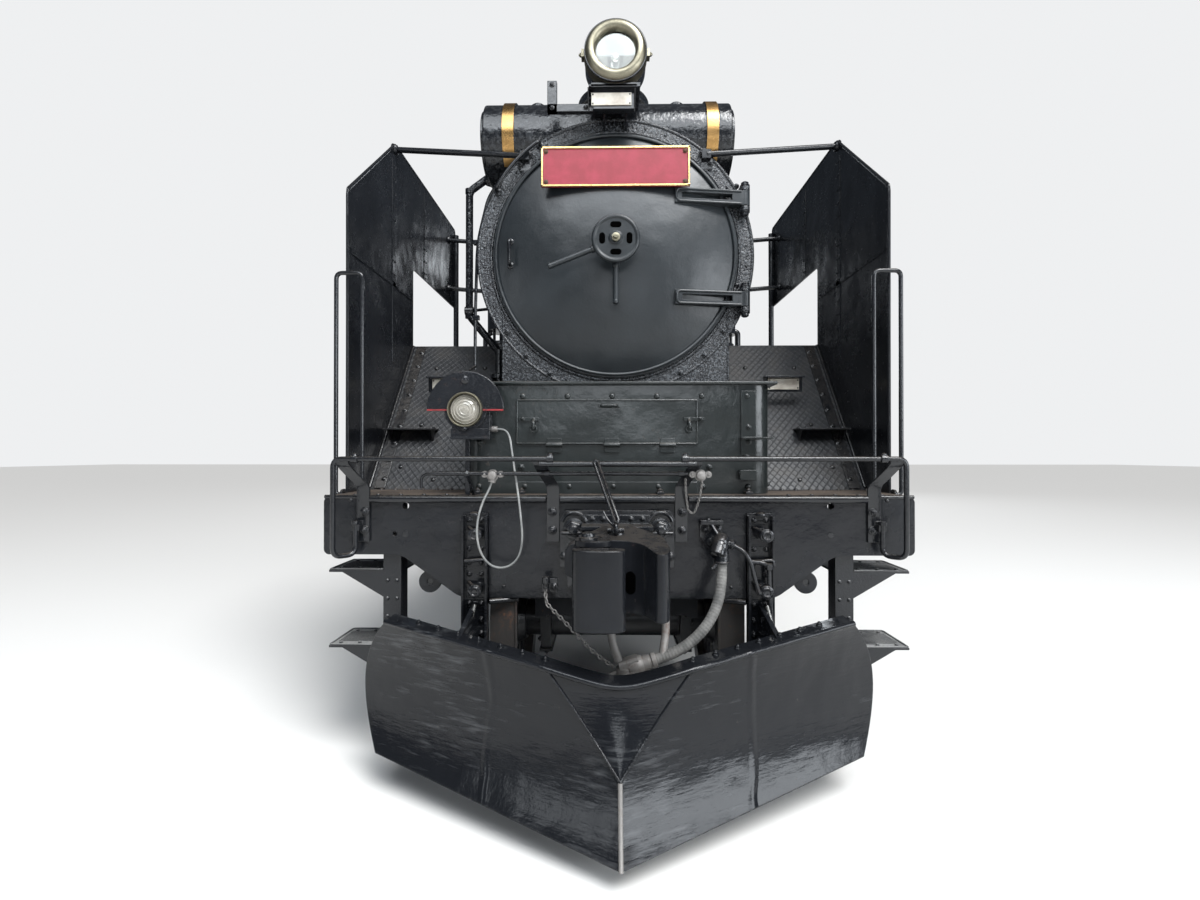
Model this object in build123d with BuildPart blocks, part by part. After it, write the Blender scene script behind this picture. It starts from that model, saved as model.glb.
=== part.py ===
from build123d import *
import math
import os

# A 2-6-2 steam locomotive for 1067 mm gauge track, without its tender. Millimetres.
# +Z is up, the engine faces -Y, and its left side is +X. The floor is at the tips of the wheel flanges.
# Heights are given above the rail, and lengths behind the front face of the front beam.

os.makedirs("parts", exist_ok=True)

SIDES = (("left", 1), ("right", -1))
FIT = 0.3  # clearance of pins, shafts and seated curved faces

# Wheels
FLANGE_DEPTH = 28
BACK_TO_BACK = 990  # between the inner faces of a pair of wheels
TYRE_WIDTH = 125
DRIVER_RADIUS = 760
CARRIER_RADIUS = 430  # leading and trailing wheels
AXLE_RADIUS = 95
STROKE = 610
DRIVER_HUB = 175
DRIVER_HUB_REACH = 640  # outer face of a driver's hub from the centre line
DRIVER_RIM = 125
DRIVER_WEB = (525, 600)
CRANK_BOSS = 135
COLLAR = 22
WEB_OPENING_ANGLES = (46, 81, 116)  # openings each side of the crank in a box-section wheel
CARRIER_HUB = 110
CARRIER_HUB_REACH = 624
CARRIER_RIM = 95
CARRIER_WEB = (535, 590)
CARRIER_SPOKES = 10
JOURNAL_RADIUS = 75  # of the trailing axle, outside its wheels
FRONT_TRUCK_X = (345, 400)
REAR_TRUCK_X = (655, 720)

# Lengths behind the front beam
LEADING_AXLE = 680
LEADING_TO_DRIVER = 2350
DRIVER_SPACING = 1830
DRIVER_TO_TRAILING = 2600
TRAILING_OVERHANG = 1080  # trailing axle to the rear face of the rear beam
FIRST_DRIVER = LEADING_AXLE + LEADING_TO_DRIVER
DRIVERS = tuple(FIRST_DRIVER + i * DRIVER_SPACING for i in range(3))
TRAILING_AXLE = DRIVERS[2] + DRIVER_TO_TRAILING
REAR_BEAM = TRAILING_AXLE + TRAILING_OVERHANG
DRAWBAR_REACH = 110  # drawbar eye centre behind the rear beam
DRAWBAR_EYE_RADIUS = 75
PLOUGH_REACH = 740  # tip of the plough ahead of the front beam
REAR_MOST = REAR_BEAM + DRAWBAR_REACH + DRAWBAR_EYE_RADIUS
BEAM_Y = -(REAR_MOST - PLOUGH_REACH) / 2
CYLINDERS = LEADING_AXLE + 1000
MAIN_AXLE = DRIVERS[1]
FRONT_PIVOT = LEADING_AXLE + 1500
REAR_PIVOT = TRAILING_AXLE - 1450

# Cranks: left and right are a quarter turn apart, both low at rest. Angles from +Y towards +Z.
CRANK_RADIUS = STROKE / 2
CRANK_ANGLES = {"left": -135, "right": -45}

# Outside motion, from the centre line outwards
COUPLING_ROD_X = 706
COUPLING_ROD_THICK = 68
MAIN_ROD_X = 896
MAIN_ROD_THICK = 80
MAIN_ROD_LENGTH = 2100
PIN_RADIUS = 60
MAIN_PIN_RADIUS = 75
PIN_GAP = 5  # from the end of the main crank pin to the main rod, where the linkage is opened
CYLINDER_X = MAIN_ROD_X
GEAR_X = (MAIN_ROD_X + MAIN_ROD_THICK / 2 + 24, MAIN_ROD_X + MAIN_ROD_THICK / 2 + 54)

# Frame
FRAME_INNER = 380
FRAME_THICK = 90
FRAME_OUTER = FRAME_INNER + FRAME_THICK
FRAME_TOP = 1100
FRAME_BOTTOM = 700
PEDESTAL_BOTTOM = 520
JAW_WIDTH = 280
JAW_SPAN = (580, 930)
REAR_FRAME_SPAN = (950, 1200)
FRONT_FRAME = (300, 370)
FRONT_FRAME_SPAN = (820, 1150)
BEAM_THICK = 28
BEAM_HALF_WIDTH = 1300
BEAM_TOP = 1156

# Deck, running boards and deflectors
DECK_H = 1160
PLATE = 10
BOARD_H = 2034
BOARD_HALF_WIDTH = 1290
DECK_REAR = 432
SLOPE_HEAD = 1105
CASING_HALF_WIDTH = 725
CASING_FRONT = 150
CASING_TOP = 1668

# Boiler
BOILER_H = 2450
SMOKEBOX_RADIUS = 775
SMOKEBOX_FRONT = 661
SMOKEBOX_LENGTH = 1850
SMOKEBOX_REAR = SMOKEBOX_FRONT + SMOKEBOX_LENGTH
SMOKEBOX_WALL = 22
DOOR_RADIUS = 680
DOOR_DISH = 118
DOOR_THICK = 14
BARREL_RADIUS = 740
BARREL_REAR = 7150
FIREBOX_RADIUS = 800
FIREBOX_REAR = 8950
FIREBOX_BOTTOM = 1350
HEATER_Y = 911
HEATER_H = 3195
HEATER_RADIUS = 225
HEATER_BAND = 8
HEATER_CENTRE_X = -45
HEATER_LENGTH = 1454
HEATER_BANDS = (-608, 552)
HEATER_BAND_WIDTH = 68
CHIMNEY_Y = 1640
CHIMNEY_TOP = 3900
CHIMNEY_BORE = 175

# Cab
CAB_FRONT = 8420
CAB_REAR = REAR_BEAM - 20
CAB_HALF_WIDTH = 1400
CAB_WALL = 30
CAB_EAVES = 3300
CAB_ROOF_TOP = 3860
CAB_BOTTOM = 1380
CAB_FLOOR = 1480
CAB_ROOF_THICK = 14
DOOR_SPAN_Y = (9720, 10280)
DOOR_SPAN_Z = (CAB_FLOOR + 10, 3180)
DOOR_GAP = 6
DOOR_KNOB = 36
WINDOWS = ((8600, 9100), (9150, 9650))  # front and rear edges of the side windows
WINDOW_SPAN_Z = (2330, 2960)


def behind(distance):
    """The Y of a point this far behind the front face of the front beam."""
    return BEAM_Y + distance


def above(height):
    """The Z of a point this far above the rail."""
    return FLANGE_DEPTH + height


def place(x, distance, height):
    return (x, behind(distance), above(height))


def side_plane(x):
    """A plane across X that faces the left side: local x is +Y and local y is +Z."""
    return Plane.YZ.offset(x)


def cross_plane(distance):
    """A plane across Y that faces forwards: local x is +X and local y is +Z."""
    return Plane.XZ.offset(-behind(distance))


def level_plane(height):
    return Plane.XY.offset(above(height))


def write(part, node):
    part.label = node
    export_step(part, f"parts/{node}.step")


def block(x, y, z, mode=Mode.ADD):
    """A block over spans of x, of y behind the beam and of z above the rail."""
    with Locations(place((x[0] + x[1]) / 2, (y[0] + y[1]) / 2, (z[0] + z[1]) / 2)):
        Box(x[1] - x[0], y[1] - y[0], z[1] - z[0], mode=mode)


def side_plate(x, outline, corner=0, mode=Mode.ADD):
    """A plate over the span x, with its outline as (behind the beam, above the rail)."""
    with BuildSketch(side_plane(x[0])) as face:
        with BuildLine():
            Polyline(*[(behind(y), above(z)) for y, z in outline], close=True)
        make_face()
        if corner:
            fillet(face.vertices(), corner)
    extrude(face.sketch, amount=x[1] - x[0], mode=mode)


def cross_plate(y, outline, corner=0, mode=Mode.ADD):
    """A plate over the span y behind the beam, with its outline as (x, above the rail)."""
    with BuildSketch(cross_plane(y[1])) as face:
        with BuildLine():
            Polyline(*[(x, above(z)) for x, z in outline], close=True)
        make_face()
        if corner:
            fillet(face.vertices(), corner)
    extrude(face.sketch, amount=y[1] - y[0], mode=mode)


def level_plate(z, outline, corner=0, mode=Mode.ADD):
    """A plate over the span z above the rail, with its outline as (x, behind the beam)."""
    with BuildSketch(level_plane(z[0])) as face:
        with BuildLine():
            Polyline(*[(x, behind(y)) for x, y in outline], close=True)
        make_face()
        if corner:
            fillet(face.vertices(), corner)
    extrude(face.sketch, amount=z[1] - z[0], mode=mode)


def lengthways_bar(x, y, z, radius, mode=Mode.ADD):
    """A round bar along Y over the span y."""
    with BuildSketch(cross_plane(y[1])) as section:
        with Locations((x, above(z))):
            Circle(radius)
    extrude(section.sketch, amount=y[1] - y[0], mode=mode)


def crossways_bar(x, y, z, radius, mode=Mode.ADD):
    """A round bar along X over the span x."""
    with BuildSketch(side_plane(x[0])) as section:
        with Locations((behind(y), above(z))):
            Circle(radius)
    extrude(section.sketch, amount=x[1] - x[0], mode=mode)


def upright_bar(x, y, z, radius, mode=Mode.ADD):
    """A round bar along Z over the span z."""
    with BuildSketch(level_plane(z[0])) as section:
        with Locations((x, behind(y))):
            Circle(radius)
    extrude(section.sketch, amount=z[1] - z[0], mode=mode)


def slanting_bar(start, end, radius, mode=Mode.ADD):
    """A round bar between two points given as (x, behind the beam, above the rail)."""
    first, last = Vector(*place(*start)), Vector(*place(*end))
    with BuildSketch(Plane(origin=first, z_dir=last - first)) as section:
        Circle(radius)
    extrude(section.sketch, amount=(last - first).length, mode=mode)


def bent_bar(points, bend, radius):
    """A round bar through points given as (x, behind the beam, above the rail)."""
    with BuildLine() as route:
        FilletPolyline(*[place(*point) for point in points], radius=bend)
    with BuildSketch(Plane(origin=route.line @ 0, z_dir=route.line % 0)) as section:
        Circle(radius)
    sweep(section.sketch, path=route.line)


def turned_about_y(x, z, profile, mode=Mode.ADD):
    """A turned form about a line along Y, with its profile as (radius, behind the beam)."""
    with BuildSketch(Plane(origin=(x, 0, above(z)), x_dir=(1, 0, 0), z_dir=(0, 0, 1))) as face:
        with BuildLine():
            Polyline(*[(radius, behind(y)) for radius, y in profile], close=True)
        make_face()
    revolve(face.sketch, axis=Axis((x, 0, above(z)), (0, 1, 0)), mode=mode)


def turned_about_z(x, y, profile, mode=Mode.ADD):
    """A turned form about a vertical line, with its profile as (radius, above the rail)."""
    with BuildSketch(Plane(origin=(x, behind(y), 0), x_dir=(1, 0, 0), z_dir=(0, -1, 0))) as face:
        with BuildLine():
            Polyline(*[(radius, above(z)) for radius, z in profile], close=True)
        make_face()
    revolve(face.sketch, axis=Axis((x, behind(y), 0), (0, 0, 1)), mode=mode)


# Wheelsets


def wheel_plane(distance, height, side, angle=0.0):
    """Origin at the axle's centre, local x towards the crank and local z outwards."""
    a = math.radians(angle)
    return Plane(
        origin=(0, behind(distance), above(height)),
        x_dir=(0, math.cos(a), math.sin(a)),
        z_dir=(side, 0, 0),
    )


def turned_wheel(plane, radius, hub, hub_reach, web, rim):
    """Adds one wheel, turned about the axle, and its half of the axle."""
    inner = BACK_TO_BACK / 2
    outer = inner + TYRE_WIDTH
    with BuildSketch(Plane(origin=plane.origin, x_dir=plane.z_dir, z_dir=-plane.y_dir)) as profile:
        with BuildLine():
            Polyline(
                (0, 0),
                (0, AXLE_RADIUS),
                (inner - 6, AXLE_RADIUS),
                (inner - 6, hub),
                (web[0], hub + 25),
                (web[0], radius - rim - 12),
                (inner, radius - rim),
                (inner, radius + FLANGE_DEPTH - 8),
                (inner + 8, radius + FLANGE_DEPTH),
                (inner + 18, radius + FLANGE_DEPTH),
                (inner + 33, radius + 2),
                (outer - 8, radius - 3),
                (outer, radius - 11),
                (outer, radius - rim),
                (web[1], radius - rim - 12),
                (web[1], hub + 25),
                (hub_reach, hub),
                (hub_reach, 0),
                close=True,
            )
        make_face()
    revolve(profile.sketch, axis=Axis(plane.origin, plane.z_dir))


def disc_on(plane, offset, amount, radius, at=(0, 0), mode=Mode.ADD):
    with BuildSketch(plane.offset(offset)) as face:
        with Locations(at):
            Circle(radius)
    extrude(face.sketch, amount=amount, mode=mode)


def driving_wheelset(number, distance):
    main = distance == MAIN_AXLE
    pin = MAIN_PIN_RADIUS if main else PIN_RADIUS
    rod_inner = COUPLING_ROD_X - COUPLING_ROD_THICK / 2
    rod_outer = COUPLING_ROD_X + COUPLING_ROD_THICK / 2
    collar_end = rod_outer + 1 + COLLAR
    pin_end = MAIN_ROD_X - MAIN_ROD_THICK / 2 - PIN_GAP if main else collar_end
    rim_inner = DRIVER_RADIUS - DRIVER_RIM
    weight_spread = 52 if main else 38
    web_mid = (DRIVER_HUB + rim_inner) / 2 + 10
    opening = ((-125, -45), (125, -105), (125, 105), (-125, 45))
    with BuildPart() as wheelset:
        for side_name, side in SIDES:
            plane = wheel_plane(distance, DRIVER_RADIUS, side, CRANK_ANGLES[side_name])
            turned_wheel(plane, DRIVER_RADIUS, DRIVER_HUB, DRIVER_HUB_REACH, DRIVER_WEB, DRIVER_RIM)
            # Counterweight opposite the crank
            with BuildSketch(plane.offset(DRIVER_WEB[0] - 15)):
                with BuildLine():
                    rim_arc = CenterArc((0, 0), rim_inner - 6, 180 - weight_spread, 2 * weight_spread)
                    Line(rim_arc @ 1, rim_arc @ 0)
                make_face()
            extrude(amount=DRIVER_WEB[1] - DRIVER_WEB[0] + 28)
            # Openings of the box-section web
            with BuildSketch(plane.offset(DRIVER_WEB[0] - 20)) as openings:
                for angle in WEB_OPENING_ANGLES:
                    for sign in (1, -1):
                        with Locations(Rot(0, 0, sign * angle) * Pos(web_mid, 0)):
                            Polygon(*opening, align=None)
                fillet(openings.vertices(), 34)
            extrude(amount=DRIVER_WEB[1] - DRIVER_WEB[0] + 40, mode=Mode.SUBTRACT)
            # Crank boss, pin and its collars
            crank = (CRANK_RADIUS, 0)
            disc_on(plane, DRIVER_WEB[0] - 15, DRIVER_HUB_REACH - DRIVER_WEB[0] + 15, CRANK_BOSS, crank)
            disc_on(plane, DRIVER_HUB_REACH - 5, pin_end - DRIVER_HUB_REACH + 5, pin, crank)
            disc_on(plane, DRIVER_HUB_REACH, rod_inner - 1 - DRIVER_HUB_REACH, pin + COLLAR, crank)
            disc_on(plane, rod_outer + 1, COLLAR, pin + COLLAR, crank)
    return wheelset.part


def carrier_wheelset(distance, journal_reach=0):
    """A spoked wheelset of a truck, with journals outside the wheels for outside frames."""
    inner_end = CARRIER_HUB + 25 + 8
    outer_end = CARRIER_RADIUS - CARRIER_RIM - 12 - 8
    gap = ((inner_end, -20), (outer_end, -68), (outer_end, 68), (inner_end, 20))
    with BuildPart() as wheelset:
        for _, side in SIDES:
            plane = wheel_plane(distance, CARRIER_RADIUS, side)
            turned_wheel(plane, CARRIER_RADIUS, CARRIER_HUB, CARRIER_HUB_REACH, CARRIER_WEB, CARRIER_RIM)
            with BuildSketch(plane.offset(CARRIER_WEB[0] - 10)) as gaps:
                with PolarLocations(0, CARRIER_SPOKES):
                    Polygon(*gap, align=None)
                fillet(gaps.vertices(), 16)
            extrude(amount=CARRIER_WEB[1] - CARRIER_WEB[0] + 20, mode=Mode.SUBTRACT)
        if journal_reach:
            crossways_bar((-journal_reach, journal_reach), distance, CARRIER_RADIUS, JOURNAL_RADIUS)
    return wheelset.part


for index, axle in enumerate(DRIVERS):
    write(driving_wheelset(index + 1, axle), f"driving_wheelset_{index + 1}")
write(carrier_wheelset(LEADING_AXLE), "leading_wheelset")
write(carrier_wheelset(TRAILING_AXLE, REAR_TRUCK_X[1] - 4), "trailing_wheelset")

# Coupling rods

ROD_BOSS = 112
ROD_DEPTH = 120
ROD_BAR = 46
ROD_FLUTE = 12


def crank_pin(side_name, axle):
    """The crank pin's place on one side, behind the beam and above the rail."""
    angle = math.radians(CRANK_ANGLES[side_name])
    return axle + CRANK_RADIUS * math.cos(angle), DRIVER_RADIUS + CRANK_RADIUS * math.sin(angle)


def coupling_rod(side_name, side):
    x = side * COUPLING_ROD_X
    pins = [crank_pin(side_name, axle) for axle in DRIVERS]
    height = pins[0][1]
    half = ROD_DEPTH / 2
    with BuildPart() as rod:
        span = ((pins[0][0], height - half), (pins[2][0], height - half), (pins[2][0], height + half))
        side_plate((x - ROD_BAR / 2, x + ROD_BAR / 2), (*span, (pins[0][0], height + half)))
        for first, last in ((pins[0], pins[1]), (pins[1], pins[2])):
            flute = [(first[0] + ROD_BOSS + 90, height), (last[0] - ROD_BOSS - 90, height)]
            for face in (-1, 1):
                outer = x + face * ROD_BAR / 2
                inner = outer - face * ROD_FLUTE
                with BuildSketch(side_plane(min(outer, inner))) as groove:
                    with Locations((behind((flute[0][0] + flute[1][0]) / 2), above(height))):
                        SlotOverall(flute[1][0] - flute[0][0], ROD_DEPTH - 50)
                extrude(groove.sketch, amount=ROD_FLUTE, mode=Mode.SUBTRACT)
        reach = (x - COUPLING_ROD_THICK / 2, x + COUPLING_ROD_THICK / 2)
        for pin in pins:
            crossways_bar(reach, *pin, ROD_BOSS)
        for pin, radius in zip(pins, (PIN_RADIUS, MAIN_PIN_RADIUS, PIN_RADIUS)):
            crossways_bar(reach, *pin, radius + FIT, mode=Mode.SUBTRACT)
    return rod.part


for side_name, side in SIDES:
    write(coupling_rod(side_name, side), f"coupling_rod_{side_name}")


# Main frame

STRETCHERS = (1400, 2500, 3945, 5775, 7450)
PIVOT_PIN_RADIUS = 45
PIVOT_SPAN = (440, 700)  # the pin of each truck, above the rail

with BuildPart() as frame:
    underside = []
    for axle in DRIVERS:
        underside += [
            (axle - 330, FRAME_BOTTOM),
            (axle - 230, PEDESTAL_BOTTOM),
            (axle + 230, PEDESTAL_BOTTOM),
            (axle + 330, FRAME_BOTTOM),
        ]
    side_plate(
        (FRAME_INNER, FRAME_OUTER),
        (
            (1350, FRAME_BOTTOM),
            *underside,
            (7600, FRAME_BOTTOM),
            (7800, REAR_FRAME_SPAN[0]),
            (REAR_BEAM - BEAM_THICK, REAR_FRAME_SPAN[0]),
            (REAR_BEAM - BEAM_THICK, REAR_FRAME_SPAN[1]),
            (7600, REAR_FRAME_SPAN[1]),
            (7500, FRAME_TOP),
            (1350, FRAME_TOP),
        ),
    )
    for axle in DRIVERS:
        block(
            (FRAME_INNER, FRAME_OUTER),
            (axle - JAW_WIDTH / 2, axle + JAW_WIDTH / 2),
            JAW_SPAN,
            mode=Mode.SUBTRACT,
        )
        # Lightening hole between the jaws
        crossways_bar((FRAME_INNER, FRAME_OUTER), axle + DRIVER_SPACING / 2, 900, 90, mode=Mode.SUBTRACT)
    side_plate(
        FRONT_FRAME,
        (
            (BEAM_THICK, FRONT_FRAME_SPAN[0]),
            (1900, FRONT_FRAME_SPAN[0]),
            (1900, FRAME_TOP),
            (1250, FRAME_TOP),
            (1150, FRONT_FRAME_SPAN[1]),
            (BEAM_THICK, FRONT_FRAME_SPAN[1]),
        ),
    )
    block((FRONT_FRAME[1], FRAME_INNER), (1350, 1900), (FRONT_FRAME_SPAN[0], FRAME_TOP))
    mirror(about=Plane.YZ)
    for y in STRETCHERS:
        block((-FRAME_INNER, FRAME_INNER), (y, y + 30), (FRAME_BOTTOM + 20, FRAME_TOP - 20))
    for y in (BEAM_THICK, 560):
        block((-FRONT_FRAME[0], FRONT_FRAME[0]), (y, y + 30), (FRONT_FRAME_SPAN[0] + 20, 1130))
    for y in (8800, 9800):
        block((-FRAME_INNER, FRAME_INNER), (y, y + 30), (REAR_FRAME_SPAN[0] + 20, REAR_FRAME_SPAN[1] - 20))
    # Pivot crossbars of the two trucks with their pins
    for y, top in ((FRONT_PIVOT, FRAME_BOTTOM + 60), (REAR_PIVOT, REAR_FRAME_SPAN[0] + 60)):
        block((-FRAME_INNER, FRAME_INNER), (y - 90, y + 90), (top - 60, top))
        upright_bar(0, y, (PIVOT_SPAN[0], top - 60), PIVOT_PIN_RADIUS)
        upright_bar(0, y, (PIVOT_SPAN[1] - 20, top - 60), PIVOT_PIN_RADIUS + 40)
write(frame.part, "frame_plates")

# Axleboxes in the jaws, with the leaf springs above them on the frame

LEAVES = ((450, 0), (370, 14), (290, 28), (210, 42), (130, 56))  # half length, height above the longest

with BuildPart() as axleboxes:
    for axle in DRIVERS:
        block(
            (FRAME_INNER - 8, FRAME_OUTER + 13),
            (axle - JAW_WIDTH / 2, axle + JAW_WIDTH / 2),
            (JAW_SPAN[0] + 25, JAW_SPAN[1] - 5),
        )
        crossways_bar(
            (FRAME_INNER - 8, FRAME_OUTER + 13), axle, DRIVER_RADIUS, AXLE_RADIUS + FIT, mode=Mode.SUBTRACT
        )
        for half, rise in LEAVES:
            leaf = (1140 + rise, 1154 + rise)
            block((FRAME_INNER + 15, FRAME_OUTER - 15), (axle - half, axle + half), leaf)
        for end in (-1, 1):
            middle = axle + end * 420
            block((FRAME_INNER + 10, FRAME_OUTER - 10), (middle - 25, middle + 25), (FRAME_TOP, 1140))
        block((FRAME_INNER + 5, FRAME_OUTER - 5), (axle - 50, axle + 50), (FRAME_TOP, 1225))
    mirror(about=Plane.YZ)
write(axleboxes.part, "axleboxes")

# Brake shoes behind the driving wheels, hung from the frame

SHOE_GAP = 8
SHOE_THICK = 50
SHOE_X = (534, 612)
HANGER_OFFSET = 850

with BuildPart() as brakes:
    for axle in DRIVERS:
        with BuildSketch(side_plane(SHOE_X[0])) as shoe:
            with Locations((behind(axle), above(DRIVER_RADIUS))):
                Circle(DRIVER_RADIUS + SHOE_GAP + SHOE_THICK)
                Circle(DRIVER_RADIUS + SHOE_GAP, mode=Mode.SUBTRACT)
            with Locations((behind(axle + DRIVER_RADIUS + 20), above(DRIVER_RADIUS - 40))):
                Rectangle(200, 340, mode=Mode.INTERSECT)
        extrude(shoe.sketch, amount=SHOE_X[1] - SHOE_X[0])
        y = axle + HANGER_OFFSET
        block((555, 590), (y - 38, y + 22), (620, 1085))
        crossways_bar((FRAME_OUTER, 600), y, 1050, 26)
    mirror(about=Plane.YZ)
    for axle in DRIVERS:
        crossways_bar((-600, 600), axle + HANGER_OFFSET, 645, 28)
write(brakes.part, "brake_gear")

# Leading and trailing trucks

TRUCK_BOX = 130
ARM_SPAN = (560, 610)


def truck_frame(axle, pivot, x, arm_from, reach, nose):
    """A truck: side plates bored for the axle, crossbars, and arms that meet at the pivot."""
    inward = 1 if pivot > axle else -1
    ends = (axle - inward * nose, axle + inward * reach)
    low, high = min(ends), max(ends)
    eye = PIVOT_PIN_RADIUS + 60
    with BuildPart() as truck:
        side_plate(
            x,
            (
                (low, 540),
                (axle - TRUCK_BOX - 60, 500),
                (axle - TRUCK_BOX, 300),
                (axle + TRUCK_BOX, 300),
                (axle + TRUCK_BOX + 60, 500),
                (high, 540),
                (high, 660),
                (low, 660),
            ),
        )
        level_plate(
            ARM_SPAN,
            (
                (arm_from - 70, ends[1]),
                (arm_from, ends[1]),
                (eye - 20, pivot),
                (eye - 80, pivot),
            ),
        )
        mirror(about=Plane.YZ)
        for end, shift in ((low, 0), (high, -60)):
            block((-x[0], x[0]), (end + shift, end + shift + 60), (550, 650))
        upright_bar(0, pivot, (ARM_SPAN[0] - 30, ARM_SPAN[1] + 30), eye)
        bore = (ARM_SPAN[0] - 30, ARM_SPAN[1] + 30)
        upright_bar(0, pivot, bore, PIVOT_PIN_RADIUS + FIT, mode=Mode.SUBTRACT)
    return truck


truck = truck_frame(LEADING_AXLE, FRONT_PIVOT, FRONT_TRUCK_X, 345, 380, 380)
with BuildPart() as front_truck:
    add(truck.part)
    crossways_bar((-500, 500), LEADING_AXLE, CARRIER_RADIUS, AXLE_RADIUS + FIT, mode=Mode.SUBTRACT)
    # Bolster with the side bearers below the front frame
    block((-FRONT_TRUCK_X[0], FRONT_TRUCK_X[0]), (LEADING_AXLE - 110, LEADING_AXLE + 110), (560, 700))
    for side in (-1, 1):
        block((side * 200 - 60, side * 200 + 60), (LEADING_AXLE - 80, LEADING_AXLE + 80), (700, 810))
write(front_truck.part, "front_truck")

truck = truck_frame(TRAILING_AXLE, REAR_PIVOT, REAR_TRUCK_X, 500, 620, 600)
with BuildPart() as rear_truck:
    add(truck.part)
    crossways_bar((-900, 900), TRAILING_AXLE, CARRIER_RADIUS, JOURNAL_RADIUS + FIT, mode=Mode.SUBTRACT)
write(rear_truck.part, "rear_truck")

# Cylinders, each cast with its valve chest and steam pipe

CYLINDER_RADIUS = 322
CYLINDER_LENGTH = 1000
VALVE_X = 862
VALVE_H = 1235
VALVE_RADIUS = 200
COVER_THICK = 30
PISTON_ROD_RADIUS = 42
SPINDLE_RADIUS = 28
cylinder_span = (CYLINDERS - CYLINDER_LENGTH / 2, CYLINDERS + CYLINDER_LENGTH / 2)

with BuildPart() as cylinders:
    with BuildSketch(cross_plane(cylinder_span[1])) as casing:
        with Locations((CYLINDER_X, above(DRIVER_RADIUS))):
            Circle(CYLINDER_RADIUS)
        with Locations((VALVE_X, above(VALVE_H))):
            Circle(VALVE_RADIUS)
        Polygon(
            *[
                (x, above(z))
                for x, z in (
                    (FRAME_OUTER, 520),
                    (CYLINDER_X - 100, 460),
                    (CYLINDER_X + CYLINDER_RADIUS, DRIVER_RADIUS),
                    (VALVE_X + VALVE_RADIUS, VALVE_H),
                    (VALVE_X - VALVE_RADIUS, VALVE_H),
                    (FRAME_OUTER, FRAME_TOP),
                )
            ],
            align=None,
        )
    extrude(casing.sketch, amount=CYLINDER_LENGTH)
    rear = cylinder_span[1]
    front = cylinder_span[0]
    covers = ((CYLINDER_RADIUS - 24, CYLINDER_X, DRIVER_RADIUS), (VALVE_RADIUS - 30, VALVE_X, VALVE_H))
    for radius, x, z in covers:
        lengthways_bar(x, (front - COVER_THICK, rear + COVER_THICK), z, radius)
    lengthways_bar(CYLINDER_X, (front - COVER_THICK - 20, front), DRIVER_RADIUS, 190)
    lengthways_bar(CYLINDER_X, (rear, rear + COVER_THICK + 40), DRIVER_RADIUS, 90)
    gland = (rear - 10, rear + 200)
    lengthways_bar(CYLINDER_X, gland, DRIVER_RADIUS, PISTON_ROD_RADIUS + FIT, mode=Mode.SUBTRACT)
    lengthways_bar(VALVE_X, (rear - 10, rear + 200), VALVE_H, SPINDLE_RADIUS + FIT, mode=Mode.SUBTRACT)
    slanting_bar((500, CYLINDERS, 1880), (VALVE_X, CYLINDERS, VALVE_H + 100), 110)
    lengthways_bar(0, (CYLINDERS - 400, CYLINDERS + 400), BOILER_H, SMOKEBOX_RADIUS + FIT, mode=Mode.SUBTRACT)
    mirror(about=Plane.YZ)
write(cylinders.part, "cylinders")

with BuildPart() as saddle:
    cross_plate(
        (CYLINDERS - 430, CYLINDERS + 430),
        (
            (-FRAME_OUTER, FRAME_TOP),
            (FRAME_OUTER, FRAME_TOP),
            (380, 1350),
            (560, 1960),
            (-560, 1960),
            (-380, 1350),
        ),
    )
    lengthways_bar(0, (CYLINDERS - 500, CYLINDERS + 500), BOILER_H, SMOKEBOX_RADIUS + FIT, mode=Mode.SUBTRACT)
    for side in (-1, 1):
        pipe = ((side * 500, CYLINDERS, 1880), (side * VALVE_X, CYLINDERS, VALVE_H + 100))
        slanting_bar(*pipe, 110 + FIT, mode=Mode.SUBTRACT)
write(saddle.part, "smokebox_saddle")

# Crossheads with piston rods, slide bars with their brackets, and main rods at rest

SLIDE_HALF = 175  # from the cylinder's axis to each slide bar
SLIDE_DEPTH = 60
SLIDE_WIDTH = 100
BRACKET_Y = 3330
CHEEK = 16
CROSSHEAD_PIN = 40
CROSSHEAD_HALF = 150
BIG_END = 135
SMALL_END = 82
CHEEK_GAP = 4


def crosshead_y(side_name):
    pin_y, pin_z = crank_pin(side_name, MAIN_AXLE)
    return pin_y - math.sqrt(MAIN_ROD_LENGTH**2 - (DRIVER_RADIUS - pin_z) ** 2)


rear_cover = cylinder_span[1] + COVER_THICK

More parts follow.
